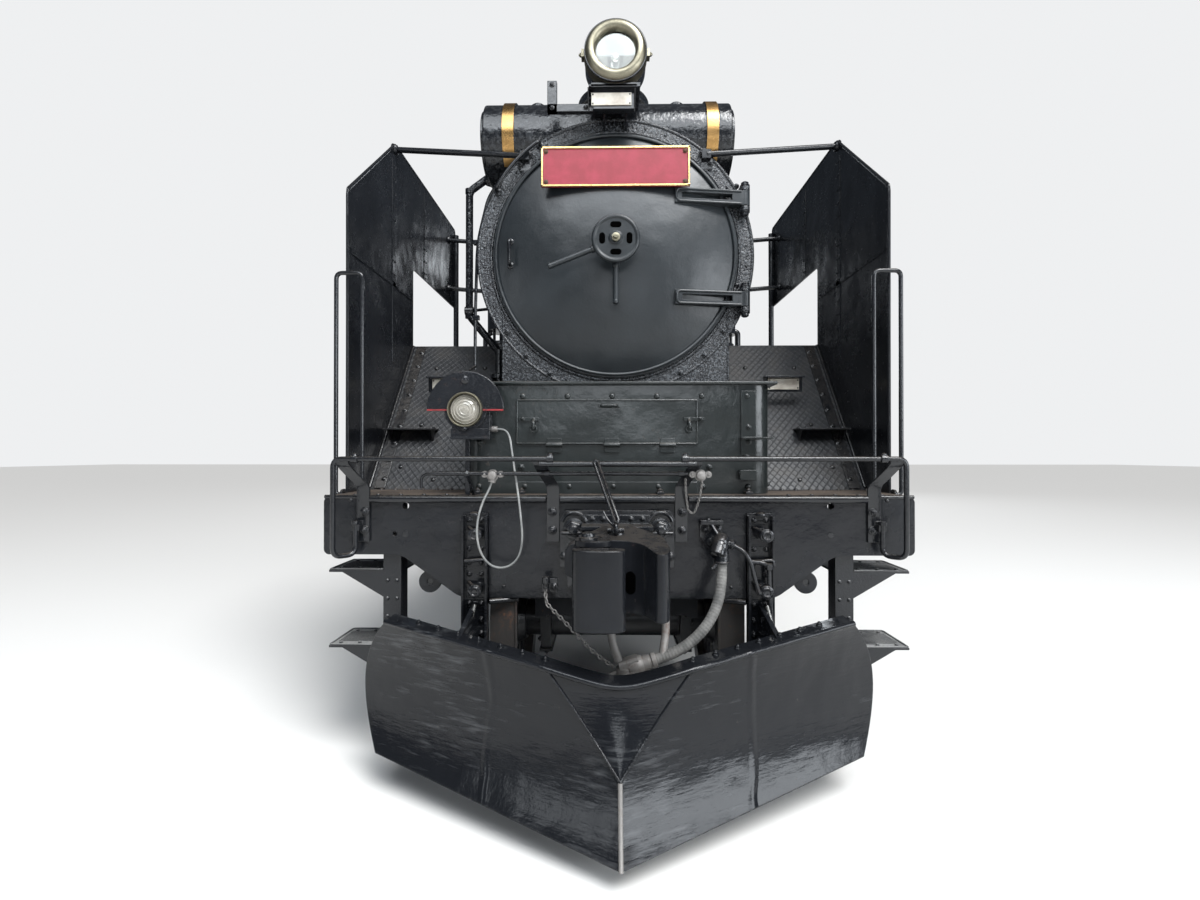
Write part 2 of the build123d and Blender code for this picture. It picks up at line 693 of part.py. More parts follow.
with BuildPart() as slide_bars:
    for rise in (SLIDE_HALF, -SLIDE_HALF - SLIDE_DEPTH):
        block(
            (CYLINDER_X - SLIDE_WIDTH / 2, CYLINDER_X + SLIDE_WIDTH / 2),
            (rear_cover, BRACKET_Y),
            (DRIVER_RADIUS + rise, DRIVER_RADIUS + rise + SLIDE_DEPTH),
        )
    cross_plate(
        (BRACKET_Y, BRACKET_Y + 24),
        (
            (CYLINDER_X - 80, DRIVER_RADIUS - SLIDE_HALF - SLIDE_DEPTH - 20),
            (GEAR_X[0] - 6, DRIVER_RADIUS - SLIDE_HALF - SLIDE_DEPTH - 20),
            (GEAR_X[0] - 6, 1420),
            (CYLINDER_X + 190, 1560),
            (CYLINDER_X + 190, BOARD_H - PLATE),
            (CYLINDER_X - 80, BOARD_H - PLATE),
        ),
    )
    cross_plate(
        (BRACKET_Y, BRACKET_Y + 24),
        (
            (CYLINDER_X - 58, DRIVER_RADIUS - SLIDE_HALF + 6),
            (CYLINDER_X + 46, DRIVER_RADIUS - SLIDE_HALF + 6),
            (CYLINDER_X + 46, DRIVER_RADIUS + SLIDE_HALF - 6),
            (CYLINDER_X - 58, DRIVER_RADIUS + SLIDE_HALF - 6),
        ),
        mode=Mode.SUBTRACT,
    )
    mirror(about=Plane.YZ)
write(slide_bars.part, "slide_bars")

with BuildPart() as crossheads:
    for side_name, side in SIDES:
        y = crosshead_y(side_name)
        middle = side * CYLINDER_X
        half = MAIN_ROD_THICK / 2 + CHEEK_GAP + CHEEK
        lengthways_bar(middle, (cylinder_span[1] - 8, y - SMALL_END - 20), DRIVER_RADIUS, PISTON_ROD_RADIUS)
        block(
            (middle - half, middle + half),
            (y - CROSSHEAD_HALF, y + CROSSHEAD_HALF),
            (DRIVER_RADIUS - SLIDE_HALF, DRIVER_RADIUS + SLIDE_HALF),
        )
        block(
            (middle - half + CHEEK, middle + half - CHEEK),
            (y - SMALL_END - 12, y + CROSSHEAD_HALF),
            (DRIVER_RADIUS - SLIDE_HALF + 30, DRIVER_RADIUS + SLIDE_HALF - 30),
            mode=Mode.SUBTRACT,
        )
        crossways_bar((middle - half - 8, middle + half + 8), y, DRIVER_RADIUS, CROSSHEAD_PIN)
write(crossheads.part, "crossheads")

with BuildPart() as main_rods:
    for side_name, side in SIDES:
        pin_y, pin_z = crank_pin(side_name, MAIN_AXLE)
        y = crosshead_y(side_name)
        x = side * MAIN_ROD_X
        reach = (x - MAIN_ROD_THICK / 2, x + MAIN_ROD_THICK / 2)
        along = Vector(0, pin_y - y, pin_z - DRIVER_RADIUS).normalized()
        plane = Plane(origin=place(x - ROD_BAR / 2, y, DRIVER_RADIUS), x_dir=along, z_dir=(1, 0, 0))
        with BuildSketch(plane) as bar:
            Polygon(
                (0, -48), (MAIN_ROD_LENGTH, -72), (MAIN_ROD_LENGTH, 72), (0, 48), align=None
            )
        extrude(bar.sketch, amount=ROD_BAR)
        crossways_bar(reach, y, DRIVER_RADIUS, SMALL_END)
        crossways_bar(reach, pin_y, pin_z, BIG_END)
        crossways_bar(reach, y, DRIVER_RADIUS, CROSSHEAD_PIN + FIT, mode=Mode.SUBTRACT)
        for face in (-1, 1):
            outer = x + face * ROD_BAR / 2
            inner = outer - face * ROD_FLUTE
            with BuildSketch(plane.offset(min(outer, inner) - (x - ROD_BAR / 2))) as groove:
                with Locations((MAIN_ROD_LENGTH / 2, 0)):
                    SlotOverall(MAIN_ROD_LENGTH - 560, 62)
            extrude(groove.sketch, amount=ROD_FLUTE, mode=Mode.SUBTRACT)
write(main_rods.part, "main_rods")

# Valve gear outside the main rods: return crank, eccentric rod, link, radius rod and combination lever

LINK_Y = 3640
LINK_H = 1190
LINK_HALF = 250
ECCENTRIC_THROW = 130
LEVER_TOP = 1320


def link_bar(x, start, end, depth):
    """A flat bar in the YZ plane from start to end, rounded about both."""
    first, last = Vector(*place(0, *start)), Vector(*place(0, *end))
    length = (last - first).length
    plane = Plane(origin=(x[0], first.Y, first.Z), x_dir=last - first, z_dir=(1, 0, 0))
    with BuildSketch(plane) as face:
        with Locations((length / 2, 0)):
            SlotOverall(length + depth, depth)
    extrude(face.sketch, amount=x[1] - x[0])


with BuildPart() as valve_gear:
    for side_name, side in SIDES:
        near, far = side * GEAR_X[0], side * GEAR_X[1]
        gear = (min(near, far), max(near, far))
        face = side * (MAIN_ROD_X + MAIN_ROD_THICK / 2)
        crank = (min(face, near), max(face, near))
        pin = crank_pin(side_name, MAIN_AXLE)
        turn = math.radians(CRANK_ANGLES[side_name] + 90)
        eccentric = (
            MAIN_AXLE + ECCENTRIC_THROW * math.cos(turn),
            DRIVER_RADIUS + ECCENTRIC_THROW * math.sin(turn),
        )
        y = crosshead_y(side_name)
        foot = (LINK_Y + 20, LINK_H - LINK_HALF - 120)
        lever_top = (2390 + (y - 2760) * 0.1, LEVER_TOP)
        lever_foot = (y - 40, 540)
        link_bar(crank, pin, eccentric, 110)
        link_bar(gear, eccentric, foot, 74)
        link_bar(gear, foot, (LINK_Y, LINK_H + LINK_HALF), 110)
        link_bar(gear, (LINK_Y, LINK_H - 90), (lever_top[0], VALVE_H + 10), 56)
        link_bar(gear, lever_top, lever_foot, 58)
        link_bar(gear, lever_foot, (y, 560), 50)
        # Arm from the crosshead down to the lever's foot, and the valve spindle
        inner = side * (CYLINDER_X + MAIN_ROD_THICK / 2 + CHEEK_GAP + CHEEK)
        arm = (min(inner, far), max(inner, far))
        crossways_bar(arm, y, 640, 24)
        link_bar(gear, (y, 640), (y, 560), 50)
        lengthways_bar(side * VALVE_X, (cylinder_span[1] - 8, lever_top[0] - 20), VALVE_H, SPINDLE_RADIUS)
        spindle_head = (min(side * (VALVE_X - 30), far), max(side * (VALVE_X - 30), far))
        block(spindle_head, (lever_top[0] - 30, lever_top[0] + 30), (VALVE_H - 34, VALVE_H + 34))
        # Bracket that holds the link below the running board
        for a, b in ((GEAR_X[0] - 26, GEAR_X[0] - 10), (GEAR_X[1] + 10, GEAR_X[1] + 26)):
            plate = (min(side * a, side * b), max(side * a, side * b))
            side_plate(
                plate,
                (
                    (LINK_Y - 90, LINK_H - 60),
                    (LINK_Y + 90, LINK_H - 60),
                    (LINK_Y + 160, BOARD_H - PLATE),
                    (LINK_Y - 160, BOARD_H - PLATE),
                ),
            )
        trunnion = (side * (GEAR_X[0] - 30), side * (GEAR_X[1] + 30))
        crossways_bar((min(trunnion), max(trunnion)), LINK_Y, LINK_H, 34)
write(valve_gear.part, "valve_gear")

# Smokebox, open in front behind the door

DOOR_HINGE_X = 715
DOOR_HINGE_Y = 628
DOOR_RIM_Y = (640, 660)
STRAP_RISES = (300, -255)
STRAP_HALF = 40
HINGE_PIN = 13
KNUCKLE = 27
HEATER_RECESS = HEATER_RADIUS + HEATER_BAND + FIT
APRON = ((-628, CASING_TOP + 16), (628, CASING_TOP + 16), (628, 2100), (-628, 2100))  # plate below the door

with BuildPart() as smokebox:
    lengthways_bar(0, (SMOKEBOX_FRONT, SMOKEBOX_REAR), BOILER_H, SMOKEBOX_RADIUS)
    cross_plate((SMOKEBOX_FRONT, SMOKEBOX_FRONT + 12), APRON)
    lengthways_bar(
        0, (SMOKEBOX_FRONT + 24, SMOKEBOX_REAR), BOILER_H, SMOKEBOX_RADIUS - SMOKEBOX_WALL, mode=Mode.SUBTRACT
    )
    lengthways_bar(0, (SMOKEBOX_FRONT, SMOKEBOX_FRONT + 24), BOILER_H, DOOR_RADIUS - 50, mode=Mode.SUBTRACT)
    # Trough in the top for the heater
    heater_span = (HEATER_CENTRE_X - HEATER_LENGTH / 2 - 50, HEATER_CENTRE_X + HEATER_LENGTH / 2 + 50)
    crossways_bar(heater_span, HEATER_Y, HEATER_H, HEATER_RECESS + 14)
    crossways_bar(heater_span, HEATER_Y, HEATER_H, HEATER_RECESS, mode=Mode.SUBTRACT)
    with BuildSketch(cross_plane(SMOKEBOX_REAR)) as round_limit:
        with Locations((0, above(BOILER_H))):
            Circle(SMOKEBOX_RADIUS)
        Polygon(*[(x, above(z)) for x, z in APRON], align=None)
    extrude(round_limit.sketch, amount=SMOKEBOX_LENGTH, mode=Mode.INTERSECT)
    crown = (BOILER_H + 500, BOILER_H + SMOKEBOX_RADIUS + 50)
    upright_bar(0, CHIMNEY_Y, crown, CHIMNEY_BORE, mode=Mode.SUBTRACT)
    # Blast pipe below the chimney
    turned_about_z(
        0,
        CHIMNEY_Y,
        (
            (0, BOILER_H - SMOKEBOX_RADIUS + 5),
            (170, BOILER_H - SMOKEBOX_RADIUS + 30),
            (90, 2250),
            (0, 2250),
        ),
    )
    # Hinge lugs beside each strap of the door, with the pin through them
    for rise in STRAP_RISES:
        middle = BOILER_H + rise
        for low, high in ((STRAP_HALF + 3, STRAP_HALF + 27), (-STRAP_HALF - 27, -STRAP_HALF - 3)):
            upright_bar(DOOR_HINGE_X, DOOR_HINGE_Y, (middle + low, middle + high), KNUCKLE)
            block(
                (DOOR_HINGE_X - 30, DOOR_HINGE_X + 20),
                (DOOR_HINGE_Y, SMOKEBOX_FRONT + 14),
                (middle + low, middle + high),
            )
        upright_bar(
            DOOR_HINGE_X, DOOR_HINGE_Y, (middle - STRAP_HALF - 30, middle + STRAP_HALF + 30), HINGE_PIN
        )
write(smokebox.part, "smokebox")

DISH_RADIUS = (655**2 + DOOR_DISH**2) / (2 * DOOR_DISH)


def dish_y(radius, depth=0.0):
    """How far behind the beam the door's face, or a depth below it, lies at a radius from its centre."""
    centre = DOOR_RIM_Y[0] - DOOR_DISH + DISH_RADIUS
    return centre - math.sqrt((DISH_RADIUS - depth) ** 2 - radius**2)


with BuildPart() as door:
    with BuildSketch(Plane(origin=(0, 0, above(BOILER_H)))) as profile:
        with BuildLine():
            outer = ThreePointArc(*[(r, behind(dish_y(r))) for r in (0, 330, 655)])
            Polyline(
                outer @ 1,
                (DOOR_RADIUS, behind(DOOR_RIM_Y[0])),
                (DOOR_RADIUS, behind(DOOR_RIM_Y[1])),
                (640, behind(DOOR_RIM_Y[1])),
                (640, behind(dish_y(640, DOOR_THICK))),
            )
            inner = ThreePointArc(*[(r, behind(dish_y(r, DOOR_THICK))) for r in (640, 330, 0)])
            Line(inner @ 1, outer @ 0)
        make_face()
    revolve(profile.sketch, axis=Axis((0, 0, above(BOILER_H)), (0, 1, 0)))
    for rise in STRAP_RISES:
        middle = BOILER_H + rise
        tip_y = dish_y(math.hypot(324, rise))
        with BuildPart() as strap:
            level_plate(
                (middle - STRAP_HALF, middle + STRAP_HALF),
                (
                    (324, tip_y + 10),
                    (324, tip_y - 16),
                    (DOOR_HINGE_X - 20, DOOR_HINGE_Y - 24),
                    (DOOR_HINGE_X, DOOR_HINGE_Y - 24),
                    (DOOR_HINGE_X, DOOR_HINGE_Y),
                    (660, DOOR_RIM_Y[0] + 8),
                    (600, DOOR_RIM_Y[0] - 6),
                ),
            )
            block((362, 640), (tip_y - 60, SMOKEBOX_FRONT), (middle - 16, middle + 16), mode=Mode.SUBTRACT)
        upright_bar(DOOR_HINGE_X, DOOR_HINGE_Y, (middle - STRAP_HALF, middle + STRAP_HALF), KNUCKLE)
        upright_bar(
            DOOR_HINGE_X,
            DOOR_HINGE_Y,
            (middle - STRAP_HALF, middle + STRAP_HALF),
            HINGE_PIN + FIT,
            mode=Mode.SUBTRACT,
        )
write(door.part, "smokebox_door")

# Handwheel and locking levers on the door's centre

WHEEL_Y = (dish_y(0) - 75, dish_y(0) - 55)

with BuildPart() as handwheel:
    lengthways_bar(0, (WHEEL_Y[0] - 70, dish_y(0)), BOILER_H, 22)
    lengthways_bar(0, (WHEEL_Y[0] - 12, WHEEL_Y[1] + 12), BOILER_H, 45)
    with BuildSketch(cross_plane(WHEEL_Y[1])) as wheel:
        with Locations((0, above(BOILER_H))):
            Circle(122)
            with PolarLocations(82, 4, start_angle=45):
                SlotCenterToCenter(44, 42, rotation=90, mode=Mode.SUBTRACT)
    extrude(wheel.sketch, amount=WHEEL_Y[1] - WHEEL_Y[0])
    lever_y = WHEEL_Y[0] - 40
    for dx, dz in ((-345, -138), (0, -323)):
        slanting_bar((0, lever_y, BOILER_H), (dx, lever_y - 10, BOILER_H + dz), 15)
        lever_y -= 24
write(handwheel.part, "door_handwheel")

PLATE_RISE = 440
NUMBER_PLATE = (800, 215)

with BuildPart() as number_plate:
    y = dish_y(PLATE_RISE) - 40
    half_width, half_height = NUMBER_PLATE[0] / 2, NUMBER_PLATE[1] / 2
    middle = BOILER_H + PLATE_RISE
    block((-half_width, half_width), (y, y + 10), (middle - half_height, middle + half_height))
    for x in (-250, 250):
        seat = dish_y(math.hypot(abs(x) - 20, PLATE_RISE - 20)) - FIT
        block((x - 20, x + 20), (y + 10, seat), (middle - 20, middle + 20))
write(number_plate.part, "number_plate")

# Feedwater heater across the smokebox, with its two bands and the pipe down its right side

DRAIN_RADIUS = 22
DRAIN = ((-742, 3035), (-880, 2935), (-880, 2180), (-700, 1960), (-700, 1740))  # (x, height)
DRAIN_FLANGES = ((-742, 2985, 50, 26), (-700, 1800, 48, 22))  # x, height, radius, thickness

with BuildPart() as heater:
    ends = (HEATER_CENTRE_X - HEATER_LENGTH / 2, HEATER_CENTRE_X + HEATER_LENGTH / 2)
    crossways_bar((ends[0] + 24, ends[1] - 24), HEATER_Y, HEATER_H, HEATER_RADIUS)
    crossways_bar(ends, HEATER_Y, HEATER_H, HEATER_RADIUS - 30)
    for x in HEATER_BANDS:
        half = HEATER_BAND_WIDTH / 2
        crossways_bar((x - half, x + half), HEATER_Y, HEATER_H, HEATER_RADIUS + HEATER_BAND)
    bent_bar([(x, HEATER_Y, z) for x, z in DRAIN], 60, DRAIN_RADIUS)
    for x, z, radius, thick in DRAIN_FLANGES:
        upright_bar(x, HEATER_Y, (z, z + thick), radius)
    slope = (BOARD_H - DECK_H) / (SLOPE_HEAD - DECK_REAR)
    surface = [(y, DECK_H + slope * (y - DECK_REAR)) for y in (HEATER_Y - 200, HEATER_Y + 200)]
    below = (*surface, (HEATER_Y + 200, DECK_H), (HEATER_Y - 200, DECK_H))
    side_plate((-800, -600), below, mode=Mode.SUBTRACT)
write(heater.part, "feedwater_heater")

with BuildPart() as chimney:
    turned_about_z(
        0,
        CHIMNEY_Y,
        (
            (CHIMNEY_BORE - 0.5, BOILER_H + SMOKEBOX_RADIUS - 60),
            (CHIMNEY_BORE + 150, BOILER_H + SMOKEBOX_RADIUS - 60),
            (CHIMNEY_BORE + 120, BOILER_H + SMOKEBOX_RADIUS + 24),
            (CHIMNEY_BORE + 52, BOILER_H + SMOKEBOX_RADIUS + 110),
            (CHIMNEY_BORE + 30, BOILER_H + SMOKEBOX_RADIUS + 200),
            (CHIMNEY_BORE + 45, CHIMNEY_TOP - 90),
            (CHIMNEY_BORE + 80, CHIMNEY_TOP - 60),
            (CHIMNEY_BORE + 80, CHIMNEY_TOP),
            (CHIMNEY_BORE - 0.5, CHIMNEY_TOP),
        ),
    )
    lengthways_bar(
        0, (CHIMNEY_Y - 500, CHIMNEY_Y + 500), BOILER_H, SMOKEBOX_RADIUS + FIT, mode=Mode.SUBTRACT
    )
write(chimney.part, "chimney")

# Boiler: a heavy closed body, with its cladding bands

CLAD_BANDS = (2560, 3180, 5520, 6340, 7100)

with BuildPart() as barrel:
    lengthways_bar(0, (SMOKEBOX_REAR, BARREL_REAR), BOILER_H, BARREL_RADIUS)
    for y in CLAD_BANDS:
        lengthways_bar(0, (y - 30, y + 30), BOILER_H, BARREL_RADIUS + 5)
write(barrel.part, "boiler_barrel")

DOME_SPAN = (3300, 5400)
DOME_HALF_WIDTH = 370
DOME_TOP = 3780

with BuildPart() as dome:
    middle = (DOME_SPAN[0] + DOME_SPAN[1]) / 2
    with BuildSketch(level_plane(BOILER_H + 600)) as plan:
        with Locations((0, behind(middle))):
            SlotOverall(DOME_SPAN[1] - DOME_SPAN[0], 2 * DOME_HALF_WIDTH, rotation=90)
    extrude(amount=DOME_TOP - BOILER_H - 600)
    fillet(dome.faces().sort_by(Axis.Z)[-1].edges(), 220)
    lengthways_bar(
        0, (DOME_SPAN[0] - 50, DOME_SPAN[1] + 50), BOILER_H, BARREL_RADIUS + FIT, mode=Mode.SUBTRACT
    )
write(dome.part, "dome_casing")

THROAT = 7560  # where the firebox drops between the wheels

with BuildPart() as firebox:
    with BuildSketch(cross_plane(FIREBOX_REAR)) as section:
        with Locations((0, above(BOILER_H))):
            Circle(FIREBOX_RADIUS)
        with BuildLine():
            Polyline(
                (-FIREBOX_RADIUS, above(BOILER_H)),
                (-FIREBOX_RADIUS, above(1700)),
                (-FIREBOX_RADIUS + 60, above(FIREBOX_BOTTOM)),
                (FIREBOX_RADIUS - 60, above(FIREBOX_BOTTOM)),
                (FIREBOX_RADIUS, above(1700)),
                (FIREBOX_RADIUS, above(BOILER_H)),
                close=True,
            )
        make_face()
    extrude(amount=FIREBOX_REAR - BARREL_REAR)
    block((-1000, 1000), (BARREL_REAR - 10, THROAT), (FIREBOX_BOTTOM - 10, 1640), mode=Mode.SUBTRACT)
write(firebox.part, "firebox")

with BuildPart() as ash_pan:
    side_plate(
        (-FRAME_INNER, FRAME_INNER),
        (
            (THROAT + 60, FIREBOX_BOTTOM),
            (THROAT + 60, 1180),
            (7950, 1050),
            (8000, 900),
            (8480, 900),
            (8600, 1180),
            (8640, FIREBOX_BOTTOM),
        ),
    )
    for side in (-1, 1):
        x = sorted((side * FRAME_INNER, side * 640))
        block(x, (THROAT + 60, 8640), (REAR_FRAME_SPAN[1], FIREBOX_BOTTOM))
write(ash_pan.part, "ash_pan")

# Safety valves, whistle, generator and washout plugs on the boiler

with BuildPart() as fittings:
    top = BOILER_H + FIREBOX_RADIUS
    for x in (-110, 110):
        turned_about_z(
            x,
            7420,
            [(radius, top + rise) for radius, rise in ((0, -40), (70, -40), (70, 60), (52, 80), (52, 260), (0, 280))],
        )
    upright_bar(0, 7420, (top - 40, top + 30), 190)
    whistle = ((0, -80), (26, -80), (26, 120), (48, 130), (48, 330), (0, 350))
    turned_about_z(230, 7900, [(radius, top + rise) for radius, rise in whistle])
    crossways_bar((-330, 120), 8180, top + 190, 130)
    block((-180, -40), (8110, 8250), (top - 60, top + 120))
    lengthways_bar(0, (BARREL_REAR, FIREBOX_REAR), BOILER_H, FIREBOX_RADIUS + FIT, mode=Mode.SUBTRACT)
write(fittings.part, "boiler_fittings")

# Handrails along the boiler on short pillars

RAIL_ANGLE = 24  # above the horizontal, about the boiler's axis
RAIL_REACH = 880
RAIL_POSTS = (2900, 3900, 4900, 5900, 6800, 7800)

with BuildPart() as handrails:
    c, s = math.cos(math.radians(RAIL_ANGLE)), math.sin(math.radians(RAIL_ANGLE))
    rail = (RAIL_REACH * c, BOILER_H + RAIL_REACH * s)
    lengthways_bar(rail[0], (2700, CAB_FRONT - 40), rail[1], 16)
    for y in RAIL_POSTS:
        foot = FIREBOX_RADIUS if y > BARREL_REAR else BARREL_RADIUS
        slanting_bar(((foot + FIT) * c, y, BOILER_H + (foot + FIT) * s), (rail[0], y, rail[1]), 14)
    mirror(about=Plane.YZ)
    lengthways_bar(0, (BARREL_REAR, FIREBOX_REAR), BOILER_H, FIREBOX_RADIUS + FIT, mode=Mode.SUBTRACT)
    lengthways_bar(0, (SMOKEBOX_REAR, BARREL_REAR), BOILER_H, BARREL_RADIUS + FIT, mode=Mode.SUBTRACT)
write(handrails.part, "boiler_handrails")

# Running boards, with the treadplate slopes at the front and the brackets from the boiler

BRACKETS = (2500, 4560, 6700, 7700)
SLOPE_INNER = 660
VALANCE = 50
LEDGE_X = (995, 1270)

with BuildPart() as boards:
    level_plate(
        (BOARD_H - PLATE, BOARD_H),
        (
            (SLOPE_INNER, SLOPE_HEAD),
            (BOARD_HALF_WIDTH, SLOPE_HEAD),
            (BOARD_HALF_WIDTH, CAB_FRONT),
            (FIREBOX_RADIUS + 10, CAB_FRONT),
            (FIREBOX_RADIUS + 10, BARREL_REAR - 20),
            (SLOPE_INNER, BARREL_REAR - 20),
        ),
    )
    edge = (BOARD_HALF_WIDTH - PLATE, BOARD_HALF_WIDTH)
    block(edge, (SLOPE_HEAD, CAB_FRONT), (BOARD_H - VALANCE, BOARD_H))
    slope = (DECK_H - BOARD_H) / (DECK_REAR - SLOPE_HEAD)
    casing_rear_h = DECK_H + slope * (SMOKEBOX_FRONT - DECK_REAR)
    side_plate(
        (CASING_HALF_WIDTH, BOARD_HALF_WIDTH),
        (
            (DECK_REAR, DECK_H),
            (SMOKEBOX_FRONT, casing_rear_h),
            (SMOKEBOX_FRONT, casing_rear_h - 20),
            (DECK_REAR + 15, DECK_H),
        ),
    )
    side_plate(
        (SLOPE_INNER, BOARD_HALF_WIDTH),
        (
            (SMOKEBOX_FRONT, casing_rear_h),
            (SLOPE_HEAD, BOARD_H),
            (SLOPE_HEAD, BOARD_H - 20),
            (SMOKEBOX_FRONT, casing_rear_h - 20),
        ),
    )
    # Foot ledge on the slope, on its two brackets
    block(LEDGE_X, (572, 689), (1478, 1486))
    for x in (LEDGE_X[0] + 18, LEDGE_X[1] - 18):
        side_plate((x - 4, x + 4), ((592, 1479), (681, 1479), (631, 1415)))
    for y in BRACKETS:
        cross_plate(
            (y, y + 12),
            (
                (500, BOARD_H - PLATE),
                (BOARD_HALF_WIDTH - PLATE, BOARD_H - PLATE),
                (BOARD_HALF_WIDTH - PLATE, BOARD_H - 60),
                (640, BOARD_H - 200),
                (420, BOARD_H - 200),
            ),
        )
    lengthways_bar(0, (SMOKEBOX_FRONT - 50, SMOKEBOX_REAR), BOILER_H, SMOKEBOX_RADIUS + FIT, mode=Mode.SUBTRACT)
    lengthways_bar(0, (SMOKEBOX_REAR, BARREL_REAR), BOILER_H, BARREL_RADIUS + FIT, mode=Mode.SUBTRACT)
    block((0, FIREBOX_RADIUS), (BARREL_REAR - 1, CAB_FRONT), (1500, BOARD_H + 50), mode=Mode.SUBTRACT)
    mirror(about=Plane.YZ)
write(boards.part, "running_boards")

# Smoke deflectors with their stays

DEFLECTOR_THICK = 8
DEFLECTOR_FRONT = 200
DEFLECTOR_TOP = 3170
DEFLECTOR_STEP = 2530
DEFLECTOR_NOSE = 2626
DEFLECTOR_REAR = DEFLECTOR_FRONT + 1885

with BuildPart() as deflectors:
    side_plate(
        (BOARD_HALF_WIDTH, BOARD_HALF_WIDTH + DEFLECTOR_THICK),
        (
            (DEFLECTOR_FRONT, DECK_H - PLATE),
            (DEFLECTOR_FRONT, DEFLECTOR_NOSE),
            (DEFLECTOR_FRONT + 598, DEFLECTOR_TOP),
            (DEFLECTOR_REAR, DEFLECTOR_TOP),
            (DEFLECTOR_REAR, DEFLECTOR_STEP),
            (SLOPE_HEAD, DEFLECTOR_STEP),
            (SLOPE_HEAD, BOARD_H - 30),
            (DECK_REAR, DECK_H - PLATE),
        ),
        corner=28,
    )
    block((480, 530), (SMOKEBOX_FRONT - 35, SMOKEBOX_FRONT), (2980, 3030))
    slanting_bar((505, 636, 3005), (BOARD_HALF_WIDTH + 4, 798, 3133), 16)
    for y, h in ((1900, 3020), (1900, 2640)):
        slanting_bar((540, y, h - 60), (BOARD_HALF_WIDTH + 4, y, h), 16)
    upright_bar(BOARD_HALF_WIDTH - 20, DEFLECTOR_REAR - 40, (BOARD_H, DEFLECTOR_TOP - 60), 20)
    lengthways_bar(0, (SMOKEBOX_FRONT, SMOKEBOX_REAR), BOILER_H, SMOKEBOX_RADIUS + FIT, mode=Mode.SUBTRACT)
    mirror(about=Plane.YZ)
write(deflectors.part, "deflectors")

# Front beam, deck and casing

TOW_EYE = (835, 777)
TOW_EYE_RADIUS = 49

with BuildPart() as beam:
    outline = (
        (BEAM_HALF_WIDTH, BEAM_TOP),
        (BEAM_HALF_WIDTH, 901),
        (956, 901),
        (690, 711),
        (-690, 711),
        (-956, 901),
        (-BEAM_HALF_WIDTH, 901),
        (-BEAM_HALF_WIDTH, BEAM_TOP),
    )
    with BuildSketch(cross_plane(BEAM_THICK)) as face:
        with BuildLine():
            Polyline(*[(x, above(z)) for x, z in outline], close=True)
        make_face()
        fillet(face.vertices().filter_by(lambda corner: abs(corner.X) < 1000), 120)
        fillet(face.vertices().filter_by(lambda corner: abs(corner.X) > 1290), 24)
    extrude(face.sketch, amount=BEAM_THICK)
    for side in (-1, 1):
        x, z = side * TOW_EYE[0], TOW_EYE[1]
        lengthways_bar(x, (BEAM_THICK - 4, BEAM_THICK + 16), z, TOW_EYE_RADIUS)
        lengthways_bar(x, (BEAM_THICK - 5, BEAM_THICK + 17), z, 14, mode=Mode.SUBTRACT)
    for x, z, radius in ((935, 1117, 15), (-935, 1117, 15), (-983, 993, 10)):
        lengthways_bar(x, (-1, BEAM_THICK + 1), z, radius, mode=Mode.SUBTRACT)
write(beam.part, "front_beam")

DECK_GUSSETS = (620, 1240)

with BuildPart() as deck:
    level_plate(
        (DECK_H - PLATE, DECK_H),
        (
            (BOARD_HALF_WIDTH, BEAM_THICK),
            (BOARD_HALF_WIDTH, DECK_REAR + 15),
            (CASING_HALF_WIDTH, DECK_REAR + 15),
            (CASING_HALF_WIDTH, 1140),
            (-CASING_HALF_WIDTH, 1140),
            (-CASING_HALF_WIDTH, DECK_REAR + 15),
            (-BOARD_HALF_WIDTH, DECK_REAR + 15),
            (-BOARD_HALF_WIDTH, BEAM_THICK),
        ),
    )
    for x in DECK_GUSSETS:
        for side in (-1, 1):
            side_plate(
                (side * x - 6, side * x + 6),
                (
                    (BEAM_THICK, DECK_H - PLATE),
                    (BEAM_THICK, 940),
                    (BEAM_THICK + 40, 940),
                    (400, DECK_H - PLATE - 40),
                    (400, DECK_H - PLATE),
                ),
            )
write(deck.part, "front_deck")

LIP = 18
CASING_LID_X = (-465, 376)

with BuildPart() as casing:
    block((-CASING_HALF_WIDTH, CASING_HALF_WIDTH), (CASING_FRONT, SMOKEBOX_FRONT), (DECK_H, CASING_TOP))
    fillet(casing.edges().filter_by(Axis.Z).group_by(Axis.Y)[0], 90)
    block(
        (-CASING_HALF_WIDTH - LIP, CASING_HALF_WIDTH + LIP),
        (CASING_FRONT - LIP, SMOKEBOX_FRONT),
        (CASING_TOP, CASING_TOP + 16),
    )
    # Hinged lid on the front, with its handle and the strip below it
    block(CASING_LID_X, (CASING_FRONT - 8, CASING_FRONT), (1391, 1600))
    block(CASING_LID_X, (CASING_FRONT - 5, CASING_FRONT), (DECK_H, 1215))
write(casing.part, "front_casing")

# Railing above the beam and the guard rails round the deflectors' front edges

RAIL_Y = -112
RAIL_H = 1325
RAIL_RADIUS = 11
GUARD_RAIL_RADIUS = 10
RAIL_BRACKETS = (281, 1120)
RAIL_END = 1205
RELEASE_ROD = (-84, 1262)  # the thin rod that lifts the coupler's lock, through the inner brackets
RELEASE_ROD_X = (-790, 300)
RELEASE_ROD_RADIUS = 6
RELEASE_STAY = -640

